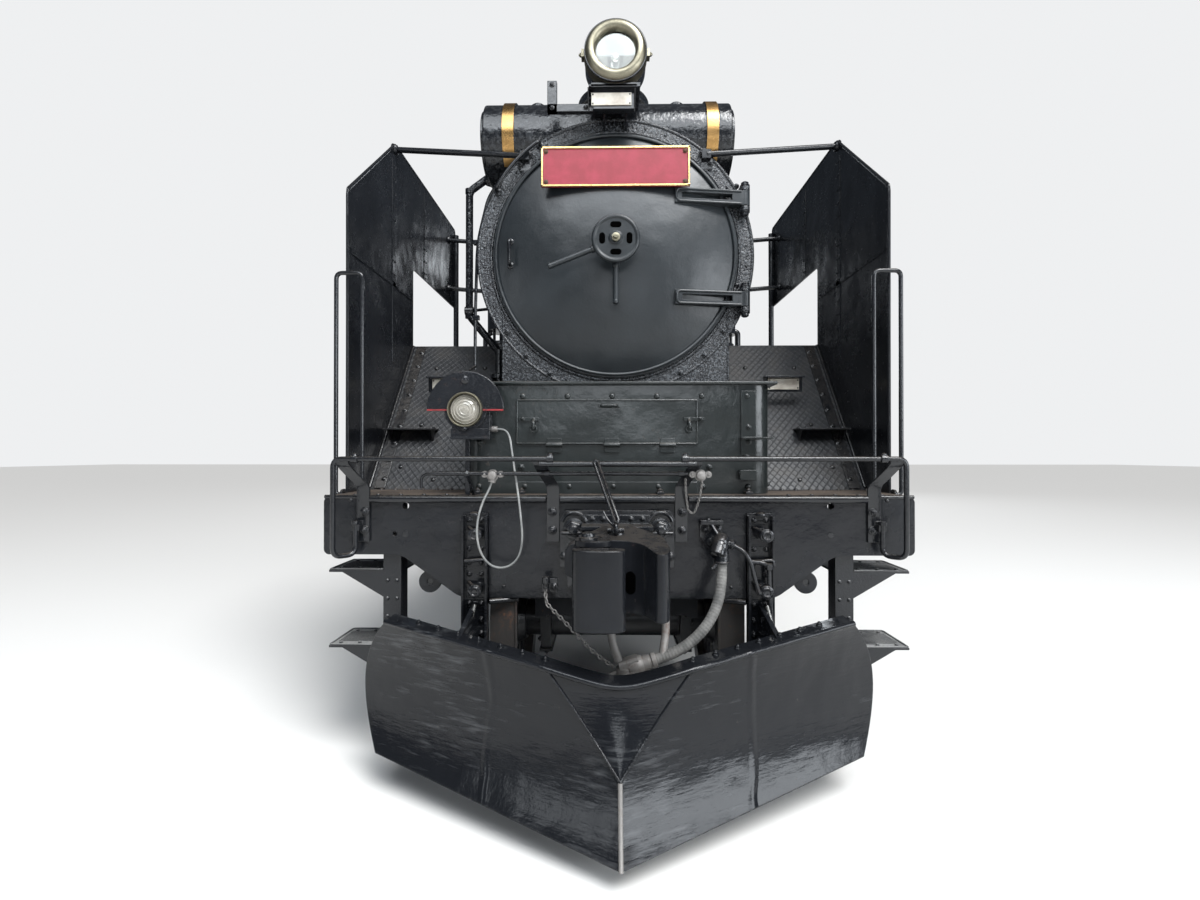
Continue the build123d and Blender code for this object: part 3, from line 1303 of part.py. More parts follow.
with BuildPart() as railing:
    for x in RAIL_BRACKETS:
        side_plate(
            (x - 28, x + 28),
            (
                (0, 960),
                (-12, 960),
                (-12, 1195),
                (RAIL_Y - 6, 1300),
                (RAIL_Y - 6, RAIL_H),
                (RAIL_Y + 6, RAIL_H),
                (RAIL_Y + 6, 1308),
                (0, 1203),
            ),
        )
    bent_bar(
        (
            (RAIL_BRACKETS[0], RAIL_Y, RAIL_H),
            (RAIL_END, RAIL_Y, RAIL_H),
            (RAIL_END, RAIL_Y, 909),
            (RAIL_END - 65, -40, 909),
            (RAIL_END - 65, -40, 1050),
        ),
        38,
        RAIL_RADIUS,
    )
    block((RAIL_END - 82, RAIL_END - 48), (-44, 0), (1012, 1052))
    bent_bar(
        (
            (1205, 170, DECK_H),
            (1205, 170, 2205),
            (1330, 170, 2205),
            (1330, 170, 1155),
            (BOARD_HALF_WIDTH, 170, 1155),
        ),
        30,
        GUARD_RAIL_RADIUS,
    )
    mirror(about=Plane.YZ)
    crossways_bar((-285, 285), RAIL_Y, RAIL_H - 22, RAIL_RADIUS)
    crossways_bar(RELEASE_ROD_X, *RELEASE_ROD, RELEASE_ROD_RADIUS)
    side_plate(
        (RELEASE_STAY - 6, RELEASE_STAY + 6),
        ((70, DECK_H), (70, DECK_H + 12), (40, DECK_H + 16), (-92, 1276), (-100, 1262), (28, DECK_H)),
    )
    # Links from the release rod down to the coupler's lock
    for x in (-26, 4):
        link = ((-76, 1276), (-94, 1276), (-330, 1084), (-330, 1049), (-306, 1049), (-76, 1248))
        side_plate((x, x + 8), link)
write(railing.part, "front_railing")

# Coupler

COUPLER_H = 880
COUPLER_FACE = 546
KNUCKLE_PIN = (-112, -408)
KNUCKLE_PIN_RADIUS = 17
KNUCKLE_SPAN = (755, 1005)
HEAD_SPAN = (730, 1030)
GUARD_SPAN = (765, 1048)
NOSE_SPAN = (725, 1016)

with BuildPart() as coupler:
    block((-65, 65), (-260, 0), (COUPLER_H - 65, COUPLER_H + 65))
    block((-150, 150), (-46, 0), (COUPLER_H - 150, COUPLER_H + 150))
    level_plate(
        GUARD_SPAN,
        (
            (-65, -230),
            (65, -230),
            (172, -350),
            (172, -480),
            (140, -COUPLER_FACE),
            (96, -520),
            (60, -430),
            (20, -398),
            (-55, -390),
            (-70, -340),
            (-160, -340),
            (-110, -300),
        ),
    )
    for low, high in ((HEAD_SPAN[0], KNUCKLE_SPAN[0] - FIT), (KNUCKLE_SPAN[1] + FIT, HEAD_SPAN[1])):
        level_plate(
            (low, high),
            (
                (-60, -300),
                (-20, -420),
                (KNUCKLE_PIN[0] + 10, KNUCKLE_PIN[1] - 45),
                (KNUCKLE_PIN[0] - 52, KNUCKLE_PIN[1] - 15),
                (-160, -330),
            ),
        )
    block((-150, -60), (-340, -305), (HEAD_SPAN[0], HEAD_SPAN[1]))
    upright_bar(*KNUCKLE_PIN, (HEAD_SPAN[0] - 20, HEAD_SPAN[1] + 25), KNUCKLE_PIN_RADIUS)
write(coupler.part, "front_coupler")

with BuildPart() as knuckle:
    level_plate(
        KNUCKLE_SPAN,
        (
            (KNUCKLE_PIN[0] - 40, KNUCKLE_PIN[1] - 5),
            (KNUCKLE_PIN[0] - 52, KNUCKLE_PIN[1] - 60),
            (-150, -520),
            (-120, -COUPLER_FACE),
            (-30, -540),
            (-8, -505),
            (-24, -478),
            (-62, -470),
            (-76, KNUCKLE_PIN[1]),
            (-90, KNUCKLE_PIN[1] + 30),
            (-130, KNUCKLE_PIN[1] + 35),
        ),
    )
    level_plate(
        NOSE_SPAN,
        ((-150, -520), (-120, -COUPLER_FACE), (-30, -540), (-8, -505), (-24, -478), (-150, -478)),
    )
    bore = (NOSE_SPAN[0] - 1, NOSE_SPAN[1] + 1)
    upright_bar(*KNUCKLE_PIN, bore, KNUCKLE_PIN_RADIUS + FIT, mode=Mode.SUBTRACT)
write(knuckle.part, "coupler_knuckle")

# Snowplough: two blades from the prow to the ends, hung from posts on the beam

POST_X = 622
POST_WIDTH = 112
BLADE_THICK = 14
PLOUGH_END = 1100
PROW = ((-560, 600), (-600, 300), (-PLOUGH_REACH, 60))  # top, middle and bottom of the blade at the centre
TIP_END = ((-150, 690), (-85, 430), (-150, 150))  # the same at the blade's outer end

with BuildPart() as plough:
    for side in (1, -1):
        for x, points in ((0, PROW), (side * PLOUGH_END, TIP_END)):
            with BuildSketch(side_plane(x)):
                with BuildLine():
                    face = ThreePointArc(*[(behind(y), above(z)) for y, z in points])
                    rear = [(y + BLADE_THICK * 1.6, z) for y, z in points[::-1]]
                    back = ThreePointArc(*[(behind(y), above(z)) for y, z in rear])
                    Line(face @ 1, back @ 0)
                    Line(back @ 1, face @ 0)
                make_face()
        loft(ruled=True)
    with BuildSketch(cross_plane(0)) as limit:
        with BuildLine():
            Polyline(
                (0, above(30)),
                (200, above(52)),
                (985, above(150)),
                (1065, above(330)),
                (930, above(690)),
                (0, above(690)),
                (-930, above(690)),
                (-1065, above(330)),
                (-985, above(150)),
                (-200, above(52)),
                close=True,
            )
        make_face()
    extrude(limit.sketch, amount=PLOUGH_REACH + 200, mode=Mode.INTERSECT)
    # Facet that ties the two blades together at the top of the prow
    top, foot = (-482, 617), (-603, 300)
    side_plate((-230, 230), (top, foot, (-900, 300), (-900, 720), (-482, 720)), mode=Mode.SUBTRACT)
    with BuildPart() as facet:
        side_plate((-215, 215), (top, foot, (foot[0] + 16, foot[1]), (top[0] + 16, top[1])))
        cross_plate((-PLOUGH_REACH, 0), ((-214, 620), (214, 620), (0, 294)), mode=Mode.INTERSECT)
    # Flange behind the top edge of each blade
    for side in (-1, 1):
        start = Vector(*place(0, PROW[0][0] + 30, PROW[0][1] - 2))
        end = Vector(*place(side * PLOUGH_END, TIP_END[0][0] + 30, TIP_END[0][1] - 2))
        with BuildPart() as flange:
            with BuildSketch(Plane(origin=start, x_dir=(0, 1, 0), z_dir=end - start)) as section:
                with Locations((35, 0)):
                    Rectangle(90, 12)
            extrude(section.sketch, amount=(end - start).length)
            x = sorted((side * 60, side * 930))
            block(x, (-PLOUGH_REACH, 0), (300, 800), mode=Mode.INTERSECT)
    # Posts on the beam: a web between two flanges, with two pin sockets
    for side in (-1, 1):
        x = side * POST_X
        half = POST_WIDTH / 2
        block((x - half, x + half), (-12, 0), (330, 1088))
        for edge in (x - half, x + half - 10):
            block((edge, edge + 10), (-44, 0), (330, 1076))
        for z in (998, 758):
            lengthways_bar(x + 12, (-85, -6), z, 23)
            lengthways_bar(x + 12, (-86, -30), z, 12, mode=Mode.SUBTRACT)
        arm = ((0, 700), (0, 300), (-250, 300), (-250, 600), (-330, 620), (-330, 660))
        side_plate((x - 10, x + 10), arm)
write(plough.part, "snowplough")

# Rail guards in front of the leading wheels

with BuildPart() as guards:
    side_plate(
        (500, 512),
        ((BEAM_THICK, 1000), (BEAM_THICK, 720), (60, 80), (130, 80), (130, 720), (220, 1000)),
    )
    block((500, 566), (60, 72), (80, 1000))
    mirror(about=Plane.YZ)
write(guards.part, "rail_guards")

# Steps below the ends of the beam

STEP_POST = (965, 1045)
STEP_END = 1290
TREADS = (827, 490)

with BuildPart() as steps:
    rear_face = BEAM_THICK
    block(STEP_POST, (rear_face, rear_face + 12), (TREADS[1] - 160, 1120))
    block((STEP_POST[0], STEP_POST[0] + 12), (rear_face, rear_face + 80), (TREADS[1] - 160, 1120))
    for z in TREADS:
        block((STEP_POST[0], STEP_END), (rear_face, rear_face + 240), (z - 10, z))
        side_plate(
            (STEP_POST[1] - 12, STEP_POST[1]),
            (
                (rear_face, z - 10),
                (rear_face + 200, z - 10),
                (rear_face + 20, z - 150),
                (rear_face, z - 150),
            ),
        )
        cross_plate(
            (rear_face, rear_face + 10),
            ((STEP_POST[1], z - 10), (STEP_END - 60, z - 10), (STEP_POST[1], z - 120)),
        )
    mirror(about=Plane.YZ)
write(steps.part, "front_steps")

# Headlamp on its bracket, side lamp on its post, and their glasses

LAMP_RADIUS = 165
LAMP_FRONT = 450
LAMP_REAR = 690
LAMP_H = 3460
LENS_RADIUS = 122
SIDE_LAMP = (-682, 1545)
SIDE_LAMP_Y = 40
SIDE_LENS_RADIUS = 76

with BuildPart() as headlamp:
    turned_about_y(
        0,
        LAMP_H,
        (
            (LENS_RADIUS + 4, LAMP_FRONT),
            (LAMP_RADIUS, LAMP_FRONT),
            (LAMP_RADIUS, LAMP_REAR - 70),
            (LAMP_RADIUS - 60, LAMP_REAR),
            (0, LAMP_REAR),
            (0, LAMP_REAR - 14),
            (LAMP_RADIUS - 70, LAMP_REAR - 14),
            (LAMP_RADIUS - 14, LAMP_REAR - 76),
            (LAMP_RADIUS - 14, LAMP_FRONT + 30),
            (LENS_RADIUS + 4, LAMP_FRONT + 24),
        ),
    )
    block((-130, 130), (LAMP_FRONT + 20, LAMP_REAR), (LAMP_H - LAMP_RADIUS - 16, LAMP_H - LAMP_RADIUS + 6))
    for x in (-60, 60):
        side_plate(
            (x - 6, x + 6),
            (
                (LAMP_FRONT + 60, LAMP_H - LAMP_RADIUS - 16),
                (LAMP_REAR - 20, LAMP_H - LAMP_RADIUS - 16),
                (LAMP_REAR - 20, 3150),
                (SMOKEBOX_FRONT, 3150),
                (LAMP_FRONT + 80, LAMP_H - LAMP_RADIUS - 60),
            ),
        )
    lengthways_bar(0, (SMOKEBOX_FRONT, SMOKEBOX_REAR), BOILER_H, SMOKEBOX_RADIUS + FIT, mode=Mode.SUBTRACT)
    lengthways_bar(0, (LAMP_FRONT + 6, LAMP_FRONT + 18), LAMP_H, LENS_RADIUS + 10, mode=Mode.SUBTRACT)
write(headlamp.part, "headlamp")

with BuildPart() as side_lamp:
    turned_about_y(
        *SIDE_LAMP,
        (
            (SIDE_LENS_RADIUS + 2, SIDE_LAMP_Y),
            (SIDE_LENS_RADIUS + 20, SIDE_LAMP_Y),
            (SIDE_LENS_RADIUS + 20, SIDE_LAMP_Y + 34),
            (SIDE_LENS_RADIUS - 20, SIDE_LAMP_Y + 80),
            (0, SIDE_LAMP_Y + 80),
            (0, SIDE_LAMP_Y + 68),
            (SIDE_LENS_RADIUS - 28, SIDE_LAMP_Y + 68),
            (SIDE_LENS_RADIUS + 8, SIDE_LAMP_Y + 28),
            (SIDE_LENS_RADIUS + 2, SIDE_LAMP_Y + 20),
        ),
    )

# Side lamp's shade, box and post

SHADE_RADIUS = 172
SIDE_BOX_X = (-65, 111)  # from the lamp's centre

with BuildPart() as lamp_post:
    x, z = SIDE_LAMP
    with BuildSketch(cross_plane(SIDE_LAMP_Y + 26)) as shade:
        with Locations((x, above(z))):
            Circle(SHADE_RADIUS)
            Circle(SIDE_LENS_RADIUS + 16, mode=Mode.SUBTRACT)
        with Locations((x, above(z + SHADE_RADIUS / 2))):
            Rectangle(2 * SHADE_RADIUS, SHADE_RADIUS, mode=Mode.INTERSECT)
    extrude(shade.sketch, amount=26)
    box_x = (x + SIDE_BOX_X[0], x + SIDE_BOX_X[1])
    block(box_x, (SIDE_LAMP_Y, SIDE_LAMP_Y + 80), (z - 130, z - SIDE_LENS_RADIUS - 8))
    block((x + SIDE_LENS_RADIUS + 6, box_x[1]), (SIDE_LAMP_Y + 32, SIDE_LAMP_Y + 80), (z - 130, z - 15))
    block((x - 10, x + 10), (SIDE_LAMP_Y + 40, SIDE_LAMP_Y + 60), (DECK_H, z - 130))
    add(side_lamp.part)
write(lamp_post.part, "side_lamp")

# Air reservoirs below the running boards, hung in straps

RESERVOIR_RADIUS = 185
RESERVOIR_X = 1080
RESERVOIR_H = BOARD_H - PLATE - 18 - RESERVOIR_RADIUS
RESERVOIRS = {1: (4750, 6550), -1: (4750, 6550)}

with BuildPart() as reservoirs:
    for side, span in RESERVOIRS.items():
        x = side * RESERVOIR_X
        lengthways_bar(x, (span[0] + 40, span[1] - 40), RESERVOIR_H, RESERVOIR_RADIUS)
        lengthways_bar(x, span, RESERVOIR_H, RESERVOIR_RADIUS - 50)
        for y in (span[0] + 250, span[1] - 250):
            lengthways_bar(x, (y - 30, y + 30), RESERVOIR_H, RESERVOIR_RADIUS + 8)
            block((x - 40, x + 40), (y - 30, y + 30), (RESERVOIR_H, BOARD_H - PLATE))
write(reservoirs.part, "air_reservoirs")

# Air compressor on the right board and feed pump on the left board

PUMP_Y = 2860
PUMP_X = 1015

# Each pump's cylinders from the board up, as (radius, bottom, top): the air pump and the feed pump
PUMPS = {
    -1: ((165, 0, 30), (140, 30, 330), (165, 330, 360), (60, 360, 470), (170, 470, 820), (130, 820, 860)),
    1: ((150, 0, 30), (120, 30, 300), (135, 300, 340), (60, 340, 430), (150, 430, 740), (110, 740, 790)),
}

with BuildPart() as pumps:
    for side, steps in PUMPS.items():
        for radius, low, high in steps:
            upright_bar(side * PUMP_X, PUMP_Y, (BOARD_H + low, BOARD_H + high), radius)
write(pumps.part, "steam_pumps")

# Cab

ROOF_OVERHANG = 40
EAVES_OUT = 30
FRONT_WINDOW = ((930, 1300), (2420, 2900))
ROOF_HALF = CAB_HALF_WIDTH + EAVES_OUT
ROOF_RISE = CAB_ROOF_TOP - CAB_EAVES


def under_roof(distance):
    """A sketch of the cab's full cross section up to the underside of the roof."""
    with BuildSketch(cross_plane(distance)) as section:
        with BuildLine():
            arch = ThreePointArc(
                (ROOF_HALF, above(CAB_EAVES - CAB_ROOF_THICK)),
                (0, above(CAB_ROOF_TOP - CAB_ROOF_THICK)),
                (-ROOF_HALF, above(CAB_EAVES - CAB_ROOF_THICK)),
            )
            Polyline(
                arch @ 1,
                (-ROOF_HALF, above(CAB_BOTTOM - 500)),
                (ROOF_HALF, above(CAB_BOTTOM - 500)),
                arch @ 0,
            )
        make_face()
    return section.sketch


with BuildPart() as cab_roof:
    with BuildSketch(cross_plane(CAB_REAR + ROOF_OVERHANG)) as section:
        with BuildLine():
            top = ThreePointArc(
                (ROOF_HALF, above(CAB_EAVES)), (0, above(CAB_ROOF_TOP)), (-ROOF_HALF, above(CAB_EAVES))
            )
            under = ThreePointArc(
                (-ROOF_HALF, above(CAB_EAVES - CAB_ROOF_THICK)),
                (0, above(CAB_ROOF_TOP - CAB_ROOF_THICK)),
                (ROOF_HALF, above(CAB_EAVES - CAB_ROOF_THICK)),
            )
            Line(top @ 1, under @ 0)
            Line(under @ 1, top @ 0)
        make_face()
    extrude(section.sketch, amount=CAB_REAR - CAB_FRONT + 2 * ROOF_OVERHANG)
write(cab_roof.part, "cab_roof")

DOOR_HINGE = (CAB_HALF_WIDTH - CAB_WALL - 10, DOOR_SPAN_Y[1] - DOOR_GAP / 2)
HINGE_HEIGHTS = (1700, 2230, 3000)
HINGE_HALF = 50  # each hinge's half height: the door's knuckle above the wall's
HINGE_BARREL = 9
HINGE_PIN_RADIUS = 5
HINGE_STRAP = 40


def hinges(side, half):
    """One cab door's hinges: the wall's halves with their pins for half = 1, the door's for half = -1."""
    x, y = side * DOOR_HINGE[0], DOOR_HINGE[1]
    wall = side * (CAB_HALF_WIDTH - CAB_WALL)
    for height in HINGE_HEIGHTS:
        span = (height - HINGE_HALF, height - 1) if half == 1 else (height, height + HINGE_HALF)
        upright_bar(x, y, span, HINGE_BARREL)
        block(sorted((wall, wall - side * 8)), sorted((y, y + half * HINGE_STRAP)), span)
        if half == 1:
            upright_bar(x, y, (span[0], height + HINGE_HALF), HINGE_PIN_RADIUS)
        else:
            upright_bar(x, y, span, HINGE_PIN_RADIUS + FIT, mode=Mode.SUBTRACT)


with BuildPart() as cab_sides:
    block((CAB_HALF_WIDTH - CAB_WALL, CAB_HALF_WIDTH), (CAB_FRONT, CAB_REAR), (CAB_BOTTOM, CAB_EAVES + 40))
    for window in WINDOWS:
        with BuildSketch(side_plane(CAB_HALF_WIDTH - CAB_WALL)) as pane:
            with Locations((behind(sum(window) / 2), above(sum(WINDOW_SPAN_Z) / 2))):
                RectangleRounded(window[1] - window[0], WINDOW_SPAN_Z[1] - WINDOW_SPAN_Z[0], 40)
        extrude(pane.sketch, amount=CAB_WALL, mode=Mode.SUBTRACT)
    block((CAB_HALF_WIDTH - CAB_WALL, CAB_HALF_WIDTH), DOOR_SPAN_Y, DOOR_SPAN_Z, mode=Mode.SUBTRACT)
    hinges(1, 1)
    mirror(about=Plane.YZ)
    extrude(under_roof(CAB_REAR + 100), amount=CAB_REAR - CAB_FRONT + 200, mode=Mode.INTERSECT)
write(cab_sides.part, "cab_sides")

with BuildPart() as cab_ends:
    inner = CAB_HALF_WIDTH - CAB_WALL
    block((-inner, inner), (CAB_FRONT, CAB_FRONT + CAB_WALL), (CAB_BOTTOM, CAB_ROOF_TOP))
    block((-inner, inner), (CAB_REAR - CAB_WALL, CAB_REAR), (CAB_FLOOR, CAB_ROOF_TOP))
    for side in (-1, 1):
        x = [side * value for value in FRONT_WINDOW[0]]
        block((min(x), max(x)), (CAB_FRONT, CAB_FRONT + CAB_WALL), FRONT_WINDOW[1], mode=Mode.SUBTRACT)
        block((min(x), max(x)), (CAB_REAR - CAB_WALL, CAB_REAR), FRONT_WINDOW[1], mode=Mode.SUBTRACT)
    # Way through to the tender, and the opening round the firebox
    block((-420, 420), (CAB_REAR - CAB_WALL, CAB_REAR), (CAB_FLOOR, 3250), mode=Mode.SUBTRACT)
    lengthways_bar(0, (CAB_FRONT, CAB_FRONT + CAB_WALL), BOILER_H, FIREBOX_RADIUS + FIT, mode=Mode.SUBTRACT)
    block(
        (-FIREBOX_RADIUS - FIT, FIREBOX_RADIUS + FIT),
        (CAB_FRONT, CAB_FRONT + CAB_WALL),
        (CAB_BOTTOM - 10, BOILER_H),
        mode=Mode.SUBTRACT,
    )
    extrude(under_roof(CAB_REAR + 100), amount=CAB_REAR - CAB_FRONT + 200, mode=Mode.INTERSECT)
write(cab_ends.part, "cab_ends")


def cab_door(side):
    """A side door that swings into the cab about its rear edge."""
    outer = side * (CAB_HALF_WIDTH - 2)
    inner = side * (CAB_HALF_WIDTH - CAB_WALL)
    y = (DOOR_SPAN_Y[0] + DOOR_GAP, DOOR_SPAN_Y[1] - DOOR_GAP)
    z = (DOOR_SPAN_Z[0] + DOOR_GAP, DOOR_SPAN_Z[1] - DOOR_GAP)
    with BuildPart() as leaf:
        block(sorted((outer, inner)), y, z)
        block(sorted((outer, inner)), (y[0] + 90, y[1] - 90), WINDOW_SPAN_Z, mode=Mode.SUBTRACT)
        hinges(side, -1)
        crossways_bar(sorted((inner, inner - side * DOOR_KNOB)), y[0] + 50, 2150, 14)
    return leaf.part


for side_name, side in SIDES:
    write(cab_door(side), f"cab_door_{side_name}")

with BuildPart() as cab_floor:
    inner = CAB_HALF_WIDTH - CAB_WALL
    block((-inner, inner), (FIREBOX_REAR, CAB_REAR - CAB_WALL), (CAB_FLOOR - 30, CAB_FLOOR))
    block((-inner, inner), (CAB_REAR - CAB_WALL, CAB_REAR), (CAB_FLOOR - 100, CAB_FLOOR))
    for side in (-1, 1):
        x = sorted((side * (FIREBOX_RADIUS + 5), side * inner))
        block(x, (CAB_FRONT + CAB_WALL, FIREBOX_REAR), (CAB_FLOOR - 30, CAB_FLOOR))
    for y in (9150, 9700, 10250):
        cross_plate(
            (y, y + 16),
            (
                (-FRAME_OUTER, REAR_FRAME_SPAN[1]),
                (FRAME_OUTER, REAR_FRAME_SPAN[1]),
                (inner, CAB_FLOOR - 90),
                (inner, CAB_FLOOR - 30),
                (-inner, CAB_FLOOR - 30),
                (-inner, CAB_FLOOR - 90),
            ),
        )
write(cab_floor.part, "cab_floor")

# Controls on the firebox's rear face: fire door, regulator, gauges and reverser

with BuildPart() as controls:
    lengthways_bar(0, (FIREBOX_REAR, FIREBOX_REAR + 60), 1900, 240)
    block((-90, 420), (FIREBOX_REAR, FIREBOX_REAR + 70), (2620, 2680))
    slanting_bar((300, FIREBOX_REAR + 60, 2650), (520, FIREBOX_REAR + 120, 2400), 18)
    for x in (-320, -160, 160, 320):
        lengthways_bar(x, (FIREBOX_REAR, FIREBOX_REAR + 60), 2850, 70)
    for x in (-420, 420):
        upright_bar(x, FIREBOX_REAR + 40, (2250, 2600), 22)
        block((x - 20, x + 20), (FIREBOX_REAR, FIREBOX_REAR + 40), (2400, 2440))
write(controls.part, "cab_controls")

with BuildPart() as seats:
    for side in (-1, 1):
        x = side * 1080
        block((x - 190, x + 190), (9280, 9620), (CAB_FLOOR + 480, CAB_FLOOR + 560))
        block((x - 150, x + 150), (9300, 9600), (CAB_FLOOR, CAB_FLOOR + 480))
        block((x - 190, x + 190), (9620, 9680), (CAB_FLOOR + 500, CAB_FLOOR + 950))
write(seats.part, "cab_seats")

GLASS = 6

with BuildPart() as glass:
    middle = CAB_HALF_WIDTH - CAB_WALL / 2
    for window in WINDOWS:
        block((middle - GLASS / 2, middle + GLASS / 2), window, WINDOW_SPAN_Z)
    y = CAB_FRONT + CAB_WALL / 2
    block(FRONT_WINDOW[0], (y - GLASS / 2, y + GLASS / 2), FRONT_WINDOW[1])
    y = CAB_REAR - CAB_WALL / 2
    block(FRONT_WINDOW[0], (y - GLASS / 2, y + GLASS / 2), FRONT_WINDOW[1])
    mirror(about=Plane.YZ)
    add(cab_sides.part, mode=Mode.SUBTRACT)
    lengthways_bar(0, (LAMP_FRONT + 9, LAMP_FRONT + 9 + GLASS), LAMP_H, LENS_RADIUS + 10 - FIT)
    lens_front = SIDE_LAMP_Y + 4
    lengthways_bar(SIDE_LAMP[0], (lens_front, lens_front + GLASS), SIDE_LAMP[1], SIDE_LENS_RADIUS + 2 - FIT)
write(glass.part, "glass_panes")

# Rear beam with the drawbar

DRAWBAR_H = 880
DRAWBAR_PIN = 35

with BuildPart() as rear_beam:
    cross_plate(
        (REAR_BEAM - BEAM_THICK, REAR_BEAM),
        ((-1250, 1200), (1250, 1200), (1250, 1000), (700, 800), (-700, 800), (-1250, 1000)),
        corner=20,
    )
    block((-140, 140), (REAR_BEAM - 240, REAR_BEAM - BEAM_THICK), (800, 945))
    block((-60, 60), (REAR_BEAM - 5, REAR_BEAM + DRAWBAR_REACH), (DRAWBAR_H - 35, DRAWBAR_H + 35))
    upright_bar(0, REAR_BEAM + DRAWBAR_REACH, (DRAWBAR_H - 35, DRAWBAR_H + 35), DRAWBAR_EYE_RADIUS)
    upright_bar(
        0, REAR_BEAM + DRAWBAR_REACH, (DRAWBAR_H - 40, DRAWBAR_H + 40), DRAWBAR_PIN, mode=Mode.SUBTRACT
    )
write(rear_beam.part, "rear_beam")

# Brake hose from its cock on the beam to the coupling head, and the lamp's cable to its socket

HOSE_RADIUS = 22
HOSE_ROUTE = (
    (434, -122, 905),
    (432, -140, 820),
    (408, -170, 730),
    (360, -195, 650),
    (290, -208, 585),
    (210, -214, 540),
    (125, -218, 515),
)
CABLE_RADIUS = 4.5
CABLE_ROUTE = (
    (-546, 90, 1460),
    (-512, 90, 1460),
    (-482, 50, 1425),
    (-464, -8, 1365),
    (-446, -48, 1285),
    (-426, -74, 1185),
    (-410, -95, 1080),
    (-402, -92, 985),
    (-416, -88, 910),
    (-455, -86, 868),
    (-505, -86, 858),
    (-552, -86, 878),
    (-585, -94, 932),
    (-597, -102, 1002),
    (-592, -100, 1075),
    (-572, -94, 1145),
    (-545, -88, 1195),
    (-536, -86, 1225),
)


def hanging_tube(points, radius):
    """A tube whose bends are as large as the runs beside them allow."""
    places = [Vector(*place(*point)) for point in points]
    radii = []
    for before, point, after in zip(places, places[1:], places[2:]):
        turn = math.radians((point - before).get_angle(after - point))
        radii.append(0.45 * min((point - before).length, (after - point).length) / math.tan(turn / 2))
    with BuildPart() as tube:
        with BuildLine() as route:
            FilletPolyline(*places, radius=radii)
        with BuildSketch(Plane(origin=route.line @ 0, z_dir=route.line % 0)) as section:
            Circle(radius)
        sweep(section.sketch, path=route.line)
    return tube.part


write(hanging_tube(HOSE_ROUTE, HOSE_RADIUS), "brake_hose")
write(hanging_tube(CABLE_ROUTE, CABLE_RADIUS), "lamp_cable")

with BuildPart() as hose_ends:
    start, following = Vector(*place(*HOSE_ROUTE[0])), Vector(*place(*HOSE_ROUTE[1]))
    with BuildSketch(Plane(origin=start, z_dir=start - following)) as neck:
        Circle(30)
    extrude(neck.sketch, amount=80)
    x, y, z = HOSE_ROUTE[0]
    lengthways_bar(x, (y, 0), z + 62, 26)
write(hose_ends.part, "brake_cock")

with BuildPart() as coupling_head:
    end, last = Vector(*place(*HOSE_ROUTE[-1])), Vector(*place(*HOSE_ROUTE[-2]))
    direction = (end - last).normalized()
    with BuildSketch(Plane(origin=end, z_dir=direction)) as neck:
        Circle(30)
    extrude(neck.sketch, amount=50)
    with BuildSketch(Plane(origin=end + direction * 40, z_dir=direction)) as head:
        RectangleRounded(80, 60, 14)
    extrude(head.sketch, amount=80)
write(coupling_head.part, "hose_coupling")

with BuildPart() as sockets:
    # Gland on the lamp's box and socket below the railing
    x, y, z = CABLE_ROUTE[0]
    crossways_bar((SIDE_LAMP[0] + SIDE_BOX_X[1], x), y, z, 14)
    start, following = Vector(*place(*CABLE_ROUTE[-1])), Vector(*place(*CABLE_ROUTE[-2]))
    with BuildSketch(Plane(origin=start, z_dir=start - following)) as socket:
        Circle(16)
    extrude(socket.sketch, amount=RELEASE_ROD[1] - CABLE_ROUTE[-1][2])
    add(railing.part, mode=Mode.SUBTRACT)
write(sockets.part, "cable_sockets")
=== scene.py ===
"""Finishes, cords and small fittings of a steam locomotive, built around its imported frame.

The tables are in millimetres, as on the drawings: x to the engine's left, the distance behind the front
face of the front beam, and the height above the rail. The frame and everything that is left in the scene
are in metres."""

import math
from itertools import product

import bmesh
import bpy
from mathutils import Matrix, Vector


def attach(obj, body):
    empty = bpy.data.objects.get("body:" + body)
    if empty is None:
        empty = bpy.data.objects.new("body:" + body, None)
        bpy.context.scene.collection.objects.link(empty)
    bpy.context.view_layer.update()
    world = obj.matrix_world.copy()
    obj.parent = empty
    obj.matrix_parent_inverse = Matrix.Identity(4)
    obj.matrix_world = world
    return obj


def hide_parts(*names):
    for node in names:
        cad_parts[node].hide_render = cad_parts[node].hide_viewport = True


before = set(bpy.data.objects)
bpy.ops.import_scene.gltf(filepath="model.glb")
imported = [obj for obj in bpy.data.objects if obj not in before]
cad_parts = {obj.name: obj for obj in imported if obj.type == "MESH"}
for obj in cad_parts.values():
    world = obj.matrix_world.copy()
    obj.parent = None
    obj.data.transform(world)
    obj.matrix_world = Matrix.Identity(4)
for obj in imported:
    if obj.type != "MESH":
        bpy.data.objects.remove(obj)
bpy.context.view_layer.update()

BEAM_Y = -4.9075
RAIL_Z = 0.028
TO_FRAME = Matrix.Translation((0, BEAM_Y, RAIL_Z)) @ Matrix.Scale(0.001, 4)

X, Y, Z = Vector((1, 0, 0)), Vector((0, 1, 0)), Vector((0, 0, 1))
SIDES = (1, -1)

